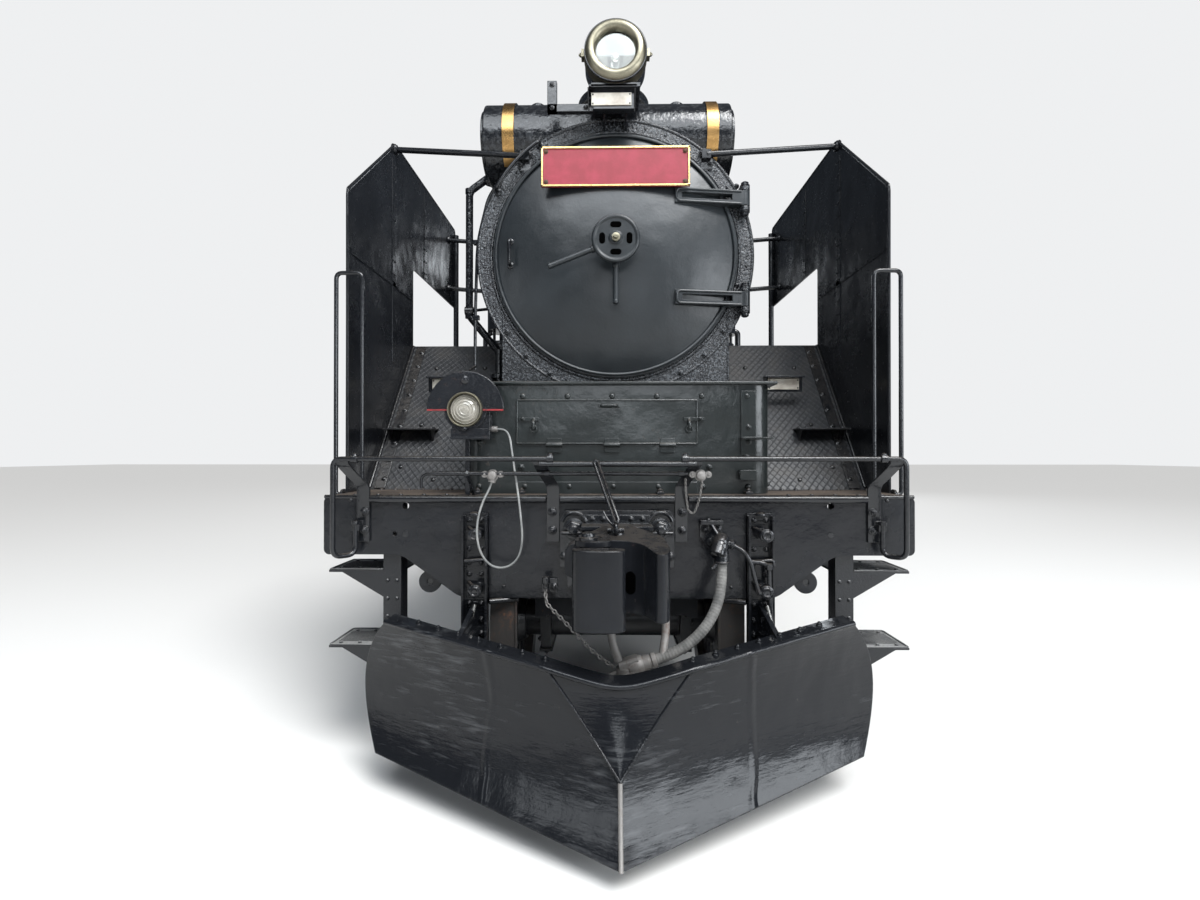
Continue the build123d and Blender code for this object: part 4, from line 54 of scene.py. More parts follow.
DECK_H = 1160
BOARD_H = 2034  # of the running boards
BOILER_H = 2450  # of the boiler's centre line
SMOKEBOX_FRONT = 661  # behind the beam
SMOKEBOX_RADIUS = 775
BARREL_RADIUS = 740
FIREBOX_RADIUS = 800
DRIVERS = (3030, 4860, 6690)
DRIVER_H = 760  # of the driving axles' centres
CARRIER_H = 430  # of the leading and trailing axles' centres
LEADING, TRAILING = 680, 9290  # their places
CRANK_THROW = 305
CRANKS = {1: -135, -1: -45}  # where the crank pins stand on each side, in degrees
ROD_X, MAIN_ROD_X = 706, 896  # the middles of the coupling rods and of the main rods
MAIN_ROD = 2100  # its length
DISH_HALF, DISH_DEPTH = 655, 118  # of the door's dished plate
DISH_RADIUS = (DISH_HALF**2 + DISH_DEPTH**2) / (2 * DISH_DEPTH)
DISH_Y = 522  # its foremost point


def at(x, behind, above):
    """A point of the drawings, in the frame."""
    return TO_FRAME @ Vector((x, behind, above))


def dish_y(radius):
    """How far behind the beam the door's dished face lies at a radius from its centre."""
    return DISH_Y + DISH_RADIUS - math.sqrt(DISH_RADIUS**2 - radius**2)


# Finishes


class Value:
    """A value inside a finish, so that masks are worked out as ordinary sums."""

    def __init__(self, finish, socket):
        self.finish = finish
        self.socket = socket

    def maths(self, operation, *others):
        return self.finish.node("ShaderNodeMath", {"operation": operation}, (self, *others))

    def __add__(self, other):
        return self.maths("ADD", other)

    def __sub__(self, other):
        return self.maths("SUBTRACT", other)

    def __rsub__(self, other):
        return self * -1 + other

    def __mul__(self, other):
        return self.maths("MULTIPLY", other)

    def __truediv__(self, other):
        return self.maths("DIVIDE", other)

    def __pow__(self, other):
        return self.maths("POWER", other)

    __radd__ = __add__
    __rmul__ = __mul__

    def rising(self, low, high):
        """0 up to low, 1 from high on."""
        settings = {"interpolation_type": "SMOOTHSTEP"}
        return self.finish.node("ShaderNodeMapRange", settings, {0: self, 1: low, 2: high})

    def larger(self, other):
        return self.maths("MAXIMUM", other)

    def ridge(self):
        """Peaks of height 1 at whole numbers, from a coordinate."""
        return (self.maths("FRACT") - 0.5).maths("ABSOLUTE") * 2


class Finish:
    """A material with its shader, and the patterns that a painted or plated surface is made of."""

    def __init__(self, name):
        self.material = bpy.data.materials.new(name)
        self.material.use_nodes = True
        self.tree = self.material.node_tree
        self.tree.nodes.clear()
        self.shader = self.tree.nodes.new("ShaderNodeBsdfPrincipled")
        output = self.tree.nodes.new("ShaderNodeOutputMaterial")
        self.tree.links.new(self.shader.outputs[0], output.inputs["Surface"])
        self.place = self.node("ShaderNodeTexCoord", output="Object")

    def feed(self, socket, value):
        if isinstance(value, Value):
            self.tree.links.new(value.socket, socket)
        else:
            socket.default_value = value

    def node(self, kind, settings=None, values=(), output=0):
        """Adds a node, with its settings first and then the values or links of its sockets."""
        node = self.tree.nodes.new(kind)
        for name, value in (settings or {}).items():
            setattr(node, name, value)
        for key, value in values.items() if isinstance(values, dict) else enumerate(values):
            self.feed(node.inputs[key], value)
        return Value(self, node.outputs[output])

    def set(self, **sockets):
        for name, value in sockets.items():
            self.feed(self.shader.inputs[name.replace("_", " ")], value)
        return self

    def stretched(self, scale):
        return self.node("ShaderNodeMapping", None, {"Vector": self.place, "Scale": scale})

    def noise(self, scale, detail=3.0, rough=0.55, stretch=None):
        """A cloudy pattern with this many clouds to the metre."""
        place = self.stretched(stretch) if stretch else self.place
        values = {"Vector": place, "Scale": scale, "Detail": detail, "Roughness": rough}
        return self.node("ShaderNodeTexNoise", None, values)

    def cells(self, scale, feature="F1"):
        values = {"Vector": self.place, "Scale": scale}
        return self.node("ShaderNodeTexVoronoi", {"feature": feature}, values)

    def along(self, axis):
        """The coordinate along an axis, 0 for x, 1 for y and 2 for z, in metres."""
        return self.node("ShaderNodeSeparateXYZ", None, (self.place,), output=axis)

    def upward(self):
        """1 where the surface faces up, 0 where it stands, -1 underneath."""
        normal = self.node("ShaderNodeTexCoord", output="Normal")
        return self.node("ShaderNodeSeparateXYZ", None, (normal,), output=2)

    def blend(self, mask, first, second):
        return self.node("ShaderNodeMix", {"data_type": "RGBA"}, {0: mask, 6: first, 7: second}, output=2)

    def eased(self, radius):
        """The normal with its edges eased over a radius in metres, as paint and filing leave them."""
        return self.node("ShaderNodeBevel", {"samples": 4}, {"Radius": radius})

    def relief(self, height, depth, normal=None):
        values = {"Height": height, "Distance": depth, "Strength": 1.0}
        if normal:
            values["Normal"] = normal
        return self.node("ShaderNodeBump", None, values)


BLACK = (0.0072, 0.0079, 0.0095, 1)
DUST = (0.075, 0.062, 0.048, 1)
RUST = (0.105, 0.042, 0.018, 1)
SCALE_BROWN = (0.058, 0.036, 0.024, 1)


def black_paint(name, colour=BLACK, gloss=0.3, shine=0.5, lumps=0.0012, lump_scale=55, waves=0.004,
                dust=0.5, rust=0.25, painted_glints=0.0):
    """Brushed black paint: in lumps over old rust, wavy with the plate, dusty on top, rusty in spots; its
    glints are painted highlights, silvery spots lightening the lumps.
    """
    finish = Finish(name)
    cloud = finish.noise(2.2, 4)
    speckle = finish.noise(34, 5, 0.65)
    lumpy = finish.noise(lump_scale, 3, 0.6)
    flow = finish.noise(3.1, 2)
    top = finish.upward()
    settled = top.rising(0.25, 0.95) * (cloud * 0.6 + speckle * 0.6).rising(0.4, 0.75) * dust
    chips = (speckle * 0.75 + cloud * 0.35).rising(0.66, 0.74) * rust
    base = finish.blend(cloud.rising(0.35, 0.75) * 0.6, colour, tuple(c * 1.9 for c in colour[:3]) + (1,))
    # painted highlights: silvery spots in the lumps stand in for glints of light on pebbled paint
    if painted_glints:
        lit = lumpy.rising(0.47, 0.66) * cloud.rising(0.1, 0.6) * painted_glints
        base = finish.blend(lit, base, (0.17, 0.185, 0.20, 1))
    base = finish.blend(chips, base, RUST)
    base = finish.blend(settled, base, DUST)
    faded = cloud.rising(0.5, 0.8) * 0.08
    roughness = gloss + (speckle - 0.5) * 0.16 + settled * 0.35 + chips * 0.35 + faded
    normal = finish.relief(flow, waves, finish.eased(0.005))
    normal = finish.relief(lumpy, lumps, normal)
    finish.set(Base_Color=base, Roughness=roughness, Normal=normal)
    finish.shader.inputs["Specular IOR Level"].default_value = shine
    return finish.material


def bare_iron(name, colour, roughness, rust, metal=0.75, pitting=0.0006):
    """Iron that is oiled, worn or rusty, with rust where rust is high."""
    finish = Finish(name)
    cloud = finish.noise(5, 5, 0.6)
    speckle = finish.noise(70, 4, 0.6)
    rusty = (cloud * 0.7 + speckle * 0.4).rising(0.75 - rust * 0.5, 0.95 - rust * 0.5)
    base = finish.blend(rusty, colour, finish.blend(speckle, SCALE_BROWN, RUST))
    normal = finish.relief(speckle, pitting, finish.eased(0.003))
    finish.set(
        Base_Color=base,
        Roughness=roughness + rusty * 0.35 + (speckle - 0.5) * 0.1,
        Metallic=(1 - rusty) * metal,
        Normal=normal,
    )
    return finish.material


def tread_plate(name):
    """Painted chequered plate: low crossing ridges 26 mm apart."""
    finish = Finish(name)
    across, down = finish.along(0), finish.along(1) * 1.3
    first = ((across + down) / 0.037).ridge() ** 7
    second = ((across - down) / 0.037).ridge() ** 7
    worn = finish.noise(9, 5, 0.6)
    ridges = first.larger(second)
    base = finish.blend(worn.rising(0.45, 0.8) * 0.3, BLACK, DUST)
    base = finish.blend(ridges * worn.rising(0.4, 0.6) * 0.3, base, (0.07, 0.068, 0.066, 1))
    normal = finish.relief(finish.noise(60, 3), 0.0008, finish.eased(0.004))
    normal = finish.relief(ridges, 0.0016, normal)
    finish.set(Base_Color=base, Roughness=0.36 + worn * 0.2, Normal=normal)
    return finish.material


def plough_paint(name):
    """Fresh gloss black over dented plate, scuffed in long strokes; the scuffs are lightened grey, partly
    wear and partly a painted reflection of bright streaks.
    """
    finish = Finish(name)
    strokes = finish.noise(5, 5, 0.62, (1.5, 1.5, 14))
    upright = finish.noise(7, 4, 0.6, (9, 9, 1))
    dents = finish.noise(2.4, 3, 0.5)
    grain = finish.noise(85, 3)
    scuffs_and_sheen = (strokes * 0.55 + dents * 0.5).rising(0.56, 0.74)
    # grey lightening of the scuffs: partly real wear, partly painted reflection standing in for bright
    # streaks on the blades
    base = finish.blend(scuffs_and_sheen * 0.6, BLACK, (0.085, 0.088, 0.092, 1))
    streaked = (upright * 0.6 + strokes * 0.4).rising(0.66, 0.72) * 0.5
    base = finish.blend(streaked, base, (0.12, 0.1, 0.085, 1))
    away = (finish.along(0).maths("ABSOLUTE") + finish.noise(3, 2) * 0.1 - 0.53).maths("ABSOLUTE")
    crease = (away * -1).rising(-0.022, 0)
    normal = finish.relief(dents, 0.022, finish.eased(0.005))
    normal = finish.relief(crease, 0.0028, normal)
    normal = finish.relief(strokes, 0.0011, normal)
    normal = finish.relief(grain, 0.0005, normal)
    finish.set(Base_Color=base, Roughness=0.12 + scuffs_and_sheen * 0.16, Normal=normal)
    finish.shader.inputs["Specular IOR Level"].default_value = 0.3
    return finish.material


def deck_paint(name, scale=SCALE_BROWN, dust=DUST):
    """Walked-on deck: black worn through to scale and dust."""
    finish = Finish(name)
    cloud = finish.noise(4.5, 6, 0.62)
    grit = finish.noise(90, 4, 0.7)
    worn = finish.upward().rising(0.5, 0.9) * (cloud * 0.8 + grit * 0.45).rising(0.46, 0.66)
    base = finish.blend(worn, BLACK, finish.blend(grit, scale, dust))
    normal = finish.relief(grit, 0.0016, finish.eased(0.004))
    finish.set(Base_Color=base, Roughness=0.33 + worn * 0.45, Normal=normal)
    return finish.material


def brass_finish(name, colour, tarnish, roughness=0.24, dulled=(0.16, 0.10, 0.045, 1)):
    finish = Finish(name)
    cloud = finish.noise(9, 5, 0.6)
    fine = finish.noise(120, 3, 0.6)
    dull = (cloud * 0.8 + fine * 0.25).rising(0.4, 0.8) * tarnish
    base = finish.blend(dull, colour, dulled)
    normal = finish.relief(fine, 0.0003, finish.eased(0.002))
    finish.set(Base_Color=base, Metallic=1.0, Roughness=dull * 0.3 + roughness, Normal=normal)
    return finish.material


def enamel(name, colour, second, roughness):
    """Coloured enamel paint with a little fading."""
    finish = Finish(name)
    faded = finish.noise(14, 5, 0.6)
    normal = finish.relief(finish.noise(90, 2), 0.0003, finish.eased(0.002))
    base = finish.blend(faded.rising(0.3, 0.8), colour, second)
    finish.set(Base_Color=base, Roughness=roughness + faded * 0.12, Normal=normal)
    return finish.material


def clear_glass(name):
    finish = Finish(name)
    film = finish.noise(11, 4)
    finish.set(Base_Color=(0.93, 0.96, 0.95, 1), Roughness=film.rising(0.5, 0.8) * 0.06 + 0.02)
    finish.shader.inputs["Transmission Weight"].default_value = 1.0
    finish.shader.inputs["IOR"].default_value = 1.48
    return finish.material


def rubber(name, colour, chalk):
    finish = Finish(name)
    cloud = finish.noise(18, 5, 0.6)
    weave = finish.noise(260, 3, 0.7)
    base = finish.blend((cloud * 0.7 + weave * 0.4).rising(0.35, 0.75), colour, chalk)
    finish.set(Base_Color=base, Roughness=0.72 + cloud * 0.15, Normal=finish.relief(weave, 0.0006))
    return finish.material


def leather(name, colour):
    finish = Finish(name)
    grain = finish.cells(420, "DISTANCE_TO_EDGE").rising(0.0, 0.25)
    worn = finish.noise(6, 4)
    base = finish.blend(worn.rising(0.5, 0.8) * 0.6, colour, tuple(c * 1.8 for c in colour[:3]) + (1,))
    normal = finish.relief(grain, 0.0004, finish.relief(finish.noise(9, 2), 0.006, finish.eased(0.018)))
    finish.set(Base_Color=base, Roughness=0.45 + worn * 0.15, Normal=normal)
    return finish.material


def mirror_metal(name):
    finish = Finish(name)
    haze = finish.noise(20, 3)
    finish.set(Base_Color=(0.55, 0.55, 0.52, 1), Metallic=1.0, Roughness=haze * 0.2 + 0.12)
    return finish.material


gloss_black = black_paint("gloss_black", gloss=0.16, waves=0.006, rust=0.06)
door_black = black_paint(
    "door_black", (0.011, 0.0135, 0.0155, 1), 0.33, 0.45, 0.0007, 60, 0.012, dust=0.1, rust=0.0,
)
# heater_black and thick_black carry painted highlights: silvery spots in their lumps
heater_black = black_paint(
    "heater_black", BLACK, 0.14, 0.5, 0.004, 34, 0.008, dust=0.2, rust=0.03, painted_glints=0.12,
)
thick_black = black_paint("thick_black", BLACK, 0.2, 0.5, 0.005, 88, 0.008, dust=0.2, rust=0.0, painted_glints=0.4)
plate_black = black_paint("plate_black", BLACK, 0.25, 0.32, 0.0007, 22, 0.016, dust=0.2, rust=0.08)
beam_black = black_paint("beam_black", BLACK, 0.22, 0.34, 0.0014, 40, 0.014, dust=0.5, rust=0.03)
casing_black = black_paint(
    "casing_black", (0.013, 0.0155, 0.0155, 1), 0.22, 0.45, 0.0014, 24, 0.014, dust=0.5, rust=0.12,
)
boiler_black = black_paint(
    "boiler_black", gloss=0.22, lumps=0.0006, lump_scale=24, waves=0.006, dust=0.4, rust=0.1,
)
cab_black = black_paint(
    "cab_black", gloss=0.22, lumps=0.0005, lump_scale=26, waves=0.012, dust=0.3, rust=0.1,
)
frame_black = black_paint("frame_black", gloss=0.32, lumps=0.0016, lump_scale=50, dust=0.6, rust=0.4)
# painted shade: a dead black with no shine, laid as flat plates where slots and pockets would lie in shadow
painted_shade = Finish("painted_shade_black").set(Base_Color=(0.001, 0.001, 0.001, 1), Roughness=1.0)
painted_shade.shader.inputs["Specular IOR Level"].default_value = 0.0
deck_brown = deck_paint("deck_brown")
coupler_black = black_paint("coupler_black", BLACK, 0.2, 0.2, 0.0016, 34, 0.014, dust=0.35, rust=0.08)
step_grey = deck_paint("step_grey", (0.10, 0.10, 0.098, 1), (0.30, 0.30, 0.29, 1))
chequered_black = tread_plate("chequered_black")
plough_black = plough_paint("plough_black")
worn_steel = bare_iron("worn_steel", (0.27, 0.265, 0.25, 1), 0.27, 0.2, metal=0.95, pitting=0.0002)
rusty_iron = bare_iron("rusty_iron", (0.05, 0.045, 0.042, 1), 0.5, 0.75)
guard_iron = bare_iron("guard_iron", (0.03, 0.027, 0.025, 1), 0.55, 0.3, metal=0.3)
cast_grey = bare_iron("cast_grey", (0.2, 0.19, 0.18, 1), 0.55, 0.3, metal=0.4, pitting=0.0012)
band_brass = brass_finish("band_brass", (0.44, 0.26, 0.095, 1), 0.6, 0.26, dulled=(0.15, 0.085, 0.04, 1))
trim_brass = brass_finish("trim_brass", (0.70, 0.50, 0.22, 1), tarnish=0.3)
lamp_bronze = brass_finish("lamp_bronze", (0.25, 0.23, 0.17, 1), 0.8, 0.34, dulled=(0.10, 0.093, 0.07, 1))
plate_red = enamel("plate_red", (0.20, 0.005, 0.015, 1), (0.27, 0.014, 0.034, 1), 0.42)
edge_red = enamel("edge_red", (0.28, 0.012, 0.015, 1), (0.04, 0.012, 0.012, 1), 0.5)
sign_white = enamel("sign_white", (0.55, 0.52, 0.45, 1), (0.32, 0.27, 0.22, 1), 0.5)
window_glass = clear_glass("window_glass")
hose_grey = rubber("hose_grey", (0.06, 0.06, 0.058, 1), (0.18, 0.175, 0.165, 1))
cable_grey = rubber("cable_grey", (0.13, 0.135, 0.135, 1), (0.26, 0.26, 0.25, 1))
seat_green = leather("seat_green", (0.015, 0.05, 0.035, 1))
reflector = mirror_metal("reflector")
lens_glass = enamel("lens_glass", (0.20, 0.19, 0.16, 1), (0.32, 0.30, 0.26, 1), 0.1)

NODE_FINISHES = (
    (gloss_black, "front_railing side_lamp headlamp door_handwheel brake_cock rail_guards"),
    (gloss_black, "boiler_handrails boiler_fittings air_reservoirs steam_pumps cylinders"),
    (coupler_black, "front_coupler coupler_knuckle"),
    (beam_black, "front_beam"),
    (door_black, "smokebox_door"),
    (thick_black, "smokebox"),
    (heater_black, "feedwater_heater chimney"),
    (plate_black, "deflectors"),
    (casing_black, "front_casing"),
    (boiler_black, "boiler_barrel firebox dome_casing"),
    (cab_black, "cab_sides cab_ends cab_door_left cab_door_right cab_roof"),
    (frame_black, "frame_plates axleboxes brake_gear front_truck rear_truck smokebox_saddle rear_beam"),
    (frame_black, "ash_pan driving_wheelset_1 driving_wheelset_2 driving_wheelset_3"),
    (frame_black, "leading_wheelset trailing_wheelset"),
    (deck_brown, "front_deck cab_floor"),
    (step_grey, "front_steps"),
    (chequered_black, "running_boards"),
    (plough_black, "snowplough"),
    (worn_steel, "coupling_rod_left coupling_rod_right main_rods crossheads slide_bars valve_gear"),
    (cast_grey, "hose_coupling cable_sockets"),
    (plate_red, "number_plate"),
    (trim_brass, "cab_controls"),
    (window_glass, "glass_panes"),
    (seat_green, "cab_seats"),
)
for finish, names in NODE_FINISHES:
    for name in names.split():
        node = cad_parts[name]
        node.data.materials.clear()
        node.data.materials.append(finish)


# Shapes


def skin(shapes, rings, joined=False):
    """Faces between rings of corners, each ring full or a single point."""
    count = max(len(ring) for ring in rings)
    for low, high in zip(rings, rings[1:] + rings[:1] * joined):
        for i in range(count):
            j = (i + 1) % count
            corners = [low[i % len(low)], low[j % len(low)], high[j % len(high)], high[i % len(high)]]
            shapes.faces.new(list(dict.fromkeys(corners)))


def cap(shapes, rings):
    """Closes both ends of a row of rings."""
    for ring, turn in ((rings[0], -1), (rings[-1], 1)):
        if len(ring) > 1:
            shapes.faces.new(ring[::turn])


def bar(shapes, line, radii, sides, closed=False):
    """A round bar along a line, with a radius for each of its points."""
    turns = [math.tau * k / sides for k in range(sides)]
    rings, side = [], None
    for i, (point, radius) in enumerate(zip(line, radii)):
        before = line[i - 1] if (i or closed) else point
        after = line[(i + 1) % len(line)] if (i < len(line) - 1 or closed) else point
        along = (after - before).normalized()
        side = along.orthogonal() if side is None else side - along * side.dot(along)
        side.normalize()
        third = along.cross(side)
        offsets = [(side * math.cos(a) + third * math.sin(a)) * radius for a in turns]
        rings.append([shapes.verts.new(point + offset) for offset in offsets])
    skin(shapes, rings, closed)
    if not closed:
        cap(shapes, rings)


def leave(shapes, name, finish):
    """Turns the shapes into a smooth object of the scene."""
    mesh = bpy.data.meshes.new(name)
    shapes.to_mesh(mesh)
    shapes.free()
    mesh.materials.append(finish)
    for face in mesh.polygons:
        face.use_smooth = True
    piece = bpy.data.objects.new(name, mesh)
    bpy.context.scene.collection.objects.link(piece)
    return piece


class Parts:
    """Gathers shapes, in the drawings' millimetres, for one piece."""

    def __init__(self):
        self.shapes = bmesh.new()

    def turned(self, start, along, profile, sides=20, ends="capped"):
        """A turned shape from a start point; the profile is (distance along, radius).

        Its ends are capped, open, or joined to each other."""
        start, along = Vector(start), Vector(along).normalized()
        across = along.orthogonal().normalized()
        third = along.cross(across)
        rings = []
        for distance, radius in profile:
            middle = start + along * distance
            if radius == 0:
                rings.append([self.shapes.verts.new(middle)])
                continue
            turns = [math.tau * i / sides for i in range(sides)]
            offsets = [(across * math.cos(a) + third * math.sin(a)) * radius for a in turns]
            rings.append([self.shapes.verts.new(middle + offset) for offset in offsets])
        skin(self.shapes, rings, ends == "joined")
        if ends == "capped":
            cap(self.shapes, rings)

    def rod(self, start, end, radius, sides=12):
        start, end = Vector(start), Vector(end)
        self.turned(start, end - start, ((0, radius), ((end - start).length, radius)), sides)

    def tube(self, points, radius, bend=0, sides=10, closed=False):
        """A round bar along points, its corners rounded over the bend."""
        line = rounded(points, bend)
        bar(self.shapes, line, [radius] * len(line), sides, closed)

    def hoop(self, centre, radius, wire, count, u=X, v=Z, sides=6):
        """A ring of round wire about a centre, in the plane of u and v."""
        self.tube(ring_of(centre, radius, count, u=u, v=v), wire, closed=True, sides=sides)

    def plate(self, outline, thickness, origin=(0, 0, 0), u=X, v=Z):
        """A flat plate: its outline is in u and v from the origin, and it is thickened along u x v."""
        origin, u, v = Vector(origin), Vector(u).normalized(), Vector(v).normalized()
        rise = u.cross(v) * thickness
        low = [self.shapes.verts.new(origin + u * a + v * b) for a, b in outline]
        high = [self.shapes.verts.new(vert.co + rise) for vert in low]
        cap(self.shapes, (low, high))
        skin(self.shapes, [low, high])

    def block(self, x, y, z):
        """A box between two values of x, of y and of z, whichever way round they come."""
        x, y, z = sorted(x), sorted(y), sorted(z)
        outline = ((x[0], y[0]), (x[1], y[0]), (x[1], y[1]), (x[0], y[1]))
        self.plate(outline, z[1] - z[0], (0, 0, z[0]), X, Y)

    def bolt(self, place, along, size=15, stud=True):
        """A hexagon nut on its washer with the stud's end showing, seated at the place."""
        self.turned(place, along, ((-2, size * 1.3), (size * 0.18, size * 1.3)), 14)
        self.turned(place, along, ((0, size), (size * 0.85, size), (size * 0.95, size * 0.85)), 6)
        if stud:
            end = ((0, size * 0.5), (size * 1.3, size * 0.5), (size * 1.4, size * 0.4))
            self.turned(place, along, end, 10)

    def rivet(self, place, along, size=11):
        profile = ((-2, size), (size * 0.3, size * 0.92), (size * 0.62, size * 0.6), (size * 0.75, 0))
        self.turned(place, along, profile, 8)

    def sheet(self, rows, back):
        """A closed sheet over rows of points, its back a step behind them."""
        front = [[self.shapes.verts.new(point) for point in row] for row in rows]
        rear = [[self.shapes.verts.new(vert.co + Vector(back)) for vert in row] for row in front]
        bands = [pair for face in (front, rear) for pair in zip(face, face[1:])]
        bands += [(front[0], rear[0]), (front[-1], rear[-1])]
        for side in (0, -1):
            bands.append(([row[side] for row in front], [row[side] for row in rear]))
        for low, high in bands:
            for corners in zip(low, low[1:], high[1:], high):
                self.shapes.faces.new(corners)

    def upright(self, outline, low, high, slope=0.0):
        """A solid over a level outline; its top falls by the slope towards the front."""
        feet = [self.shapes.verts.new((x, y, low)) for x, y in outline]
        tops = [self.shapes.verts.new((x, y, high + slope * y)) for x, y in outline]
        cap(self.shapes, (feet, tops))
        skin(self.shapes, [feet, tops])

    def done(self, name, finish, body="engine", slot="black_paint", replaces=(), ease=0.0, sharp=38):
        """Leaves what has been gathered as a piece that rides on a body."""
        self.shapes.transform(TO_FRAME)
        bmesh.ops.recalc_face_normals(self.shapes, faces=self.shapes.faces)
        piece = leave(self.shapes, name, finish)
        piece.data.set_sharp_from_angle(angle=math.radians(sharp))
        if ease:
            bevel = piece.modifiers.new("eased edges", "BEVEL")
            bevel.width = ease / 1000
            bevel.segments = 2
            bevel.limit_method = "ANGLE"
        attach(piece, body)
        if replaces:
            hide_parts(*replaces)


def rounded(points, bend, steps=6):
    """The line through the points with its corners rounded."""
    points = [Vector(point) for point in points]
    if bend <= 0 or len(points) < 3:
        return points
    line = [points[0]]
    for before, corner, after in zip(points, points[1:], points[2:]):
        into, out = (before - corner), (after - corner)
        reach = min(bend, into.length * 0.49, out.length * 0.49)
        first, last = corner + into.normalized() * reach, corner + out.normalized() * reach
        for i in range(steps + 1):
            t = i / steps
            line.append(first.lerp(corner, t).lerp(corner.lerp(last, t), t))
    line.append(points[-1])
    return line


def length_of(points):
    return sum((b - a).length for a, b in zip(points, points[1:]))


def spaced(points, count):
    """The same line at evenly spaced points."""
    step = length_of(points) / (count - 1)
    result, walked, target = [points[0]], 0.0, step
    for a, b in zip(points, points[1:]):
        run = (b - a).length
        while walked + run >= target and len(result) < count - 1:
            result.append(a.lerp(b, (target - walked) / run))
            target += step
        walked += run
    result.append(points[-1])
    return result


def rounded_loop(points, bend):
    """A closed outline with each corner rounded."""
    middle = (Vector(points[0]) + Vector(points[-1])) / 2
    return [tuple(point) for point in rounded((middle, *points, middle), bend)[:-1]]


def circle_points(centre, radius, count, start=0.0, u=X, v=Z, sweep=360):
    """Points round a circle, and the outward direction of each."""
    steps = count if sweep == 360 else count - 1
    for i in range(count):
        a = math.radians(start + sweep * i / steps)
        out = u * math.cos(a) + v * math.sin(a)
        yield Vector(centre) + out * radius, out


def ring_of(*circle, **options):
    """The points alone round a circle."""
    return [place for place, out in circle_points(*circle, **options)]


def outward(degrees, side=1):
    """The direction outwards from the boiler's middle, at an angle above level on one side."""
    a = math.radians(degrees)
    return Vector((side * math.cos(a), 0, math.sin(a)))


def on_drum(degrees, side, radius, y):
    """A place round the boiler's centre line."""
    return Vector((0, y, BOILER_H)) + outward(degrees, side) * radius


def crank_pin(axle, side):
    """The middle of a crank pin, on the engine's centre line."""
    a = math.radians(CRANKS[side])
    return Vector((0, axle + CRANK_THROW * math.cos(a), DRIVER_H + CRANK_THROW * math.sin(a)))


# Smokebox front and door


def on_dish(x, rise):
    """A place on the door's dished face, at a rise above its centre."""
    return Vector((x, dish_y(math.hypot(x, rise)), BOILER_H + rise))


bead = Parts()
bead.hoop((0, 636, BOILER_H), 664, 10, 120, sides=8)
bead.done("door_bead", door_black, "smokebox_door")

ring = Parts()
ring.hoop((0, 659, BOILER_H), 694, 9, 120, sides=8)
ring.hoop((0, 665, BOILER_H), 766, 10, 120, sides=8)
for place, out in circle_points((0, SMOKEBOX_FRONT, BOILER_H), 733, 40, start=4.5):
    if place.z > 1990:
        ring.rivet(place, -Y, 9)
ring.done("smokebox_ring", thick_black)

APRON_STUDS = ((-602, 2028), (-500, 1895), (-366, 1797), (366, 1797), (500, 1895), (602, 2028))
studs = Parts()
for x, z in APRON_STUDS:
    studs.bolt((x, SMOKEBOX_FRONT, z), -Y, 14)
studs.tube(((-628, 663, 1684), (-628, 663, 2120)), 7)
studs.tube(((628, 663, 1684), (628, 663, 2120)), 7)
studs.done("apron_studs", thick_black)

STRAP_RISES = (300, -255)
STRAP_TIP, STRAP_ROOT, STRAP_ROOT_Y = 324, 690, 604
straps = Parts()
for rise in STRAP_RISES:
    tip_y = dish_y(math.hypot(STRAP_TIP, rise)) - 16
    line = []
    for x, dz in ((STRAP_ROOT, 33), (345, 33), (331, 20), (331, -20), (345, -33), (STRAP_ROOT, -33)):
        y = tip_y + (x - STRAP_TIP) / (STRAP_ROOT - STRAP_TIP) * (STRAP_ROOT_Y - tip_y)
        line.append((x, y, BOILER_H + rise + dz))
    straps.tube(line, 7, 14, sides=8)
straps.done("strap_edges", door_black, "smokebox_door")

caps = Parts()
for rise, side in product(STRAP_RISES, SIDES):
    seat = (715, 628, BOILER_H + rise + side * 70)
    caps.turned(seat, Z * side, ((0, 27), (5, 27), (6, 21), (20, 21), (26, 12), (27, 0)), 16)
    caps.bolt((676, SMOKEBOX_FRONT, BOILER_H + rise + side * 88), -Y, 12)
caps.done("hinge_pin_caps", gloss_black)

grab = Parts()
top, foot = on_dish(-578, 66), on_dish(-578, -65)
grab.tube((top, top - Y * 48, foot - Y * 48, foot), 9, 20)
for seat in (top, foot):
    grab.turned(seat, -Y, ((-4, 20), (6, 18), (9, 12)), 14)
grab.done("door_grab_handle", gloss_black, "smokebox_door")

# Handwheel: a disc inside a round rim, its four slots painted as flat plates of shade, with the two locking
# levers coming from behind it
WHEEL_FRONT = dish_y(0) - 130
HUB = Vector((0, WHEEL_FRONT, BOILER_H))
wheel = Parts()
wheel.hoop(HUB + Y * 6, 113, 12, 56, sides=12)
wheel.turned(HUB, Y, ((0, 104), (10, 104)), 48)
wheel.turned(HUB - Y * 8, Y, ((0, 30), (8, 38), (130, 40)), 28)
for (dx, dz), set_back in (((-345, -138), 26), ((0, -323), 44)):
    lever = Vector((dx, 0, dz)).normalized()
    start = HUB + Y * set_back
    wheel.rod(start + lever * 20, start + Vector((dx, -8, dz)), 15)
    wheel.turned(start + lever * 104, lever, ((0, 19), (30, 20), (34, 16)), 16)
    wheel.turned(start + Vector((dx, -8, dz)), -lever, ((-6, 0), (-4, 14), (10, 17), (14, 15)), 14)
wheel.done("door_handwheel_and_levers", door_black, "smokebox_door", replaces=("door_handwheel",))
nut = Parts()
nut.turned(HUB - Y * 8, -Y, ((0, 22), (12, 22), (14, 13), (30, 12), (32, 0)), 20)
nut.done("handwheel_nut", lamp_bronze, "smokebox_door")
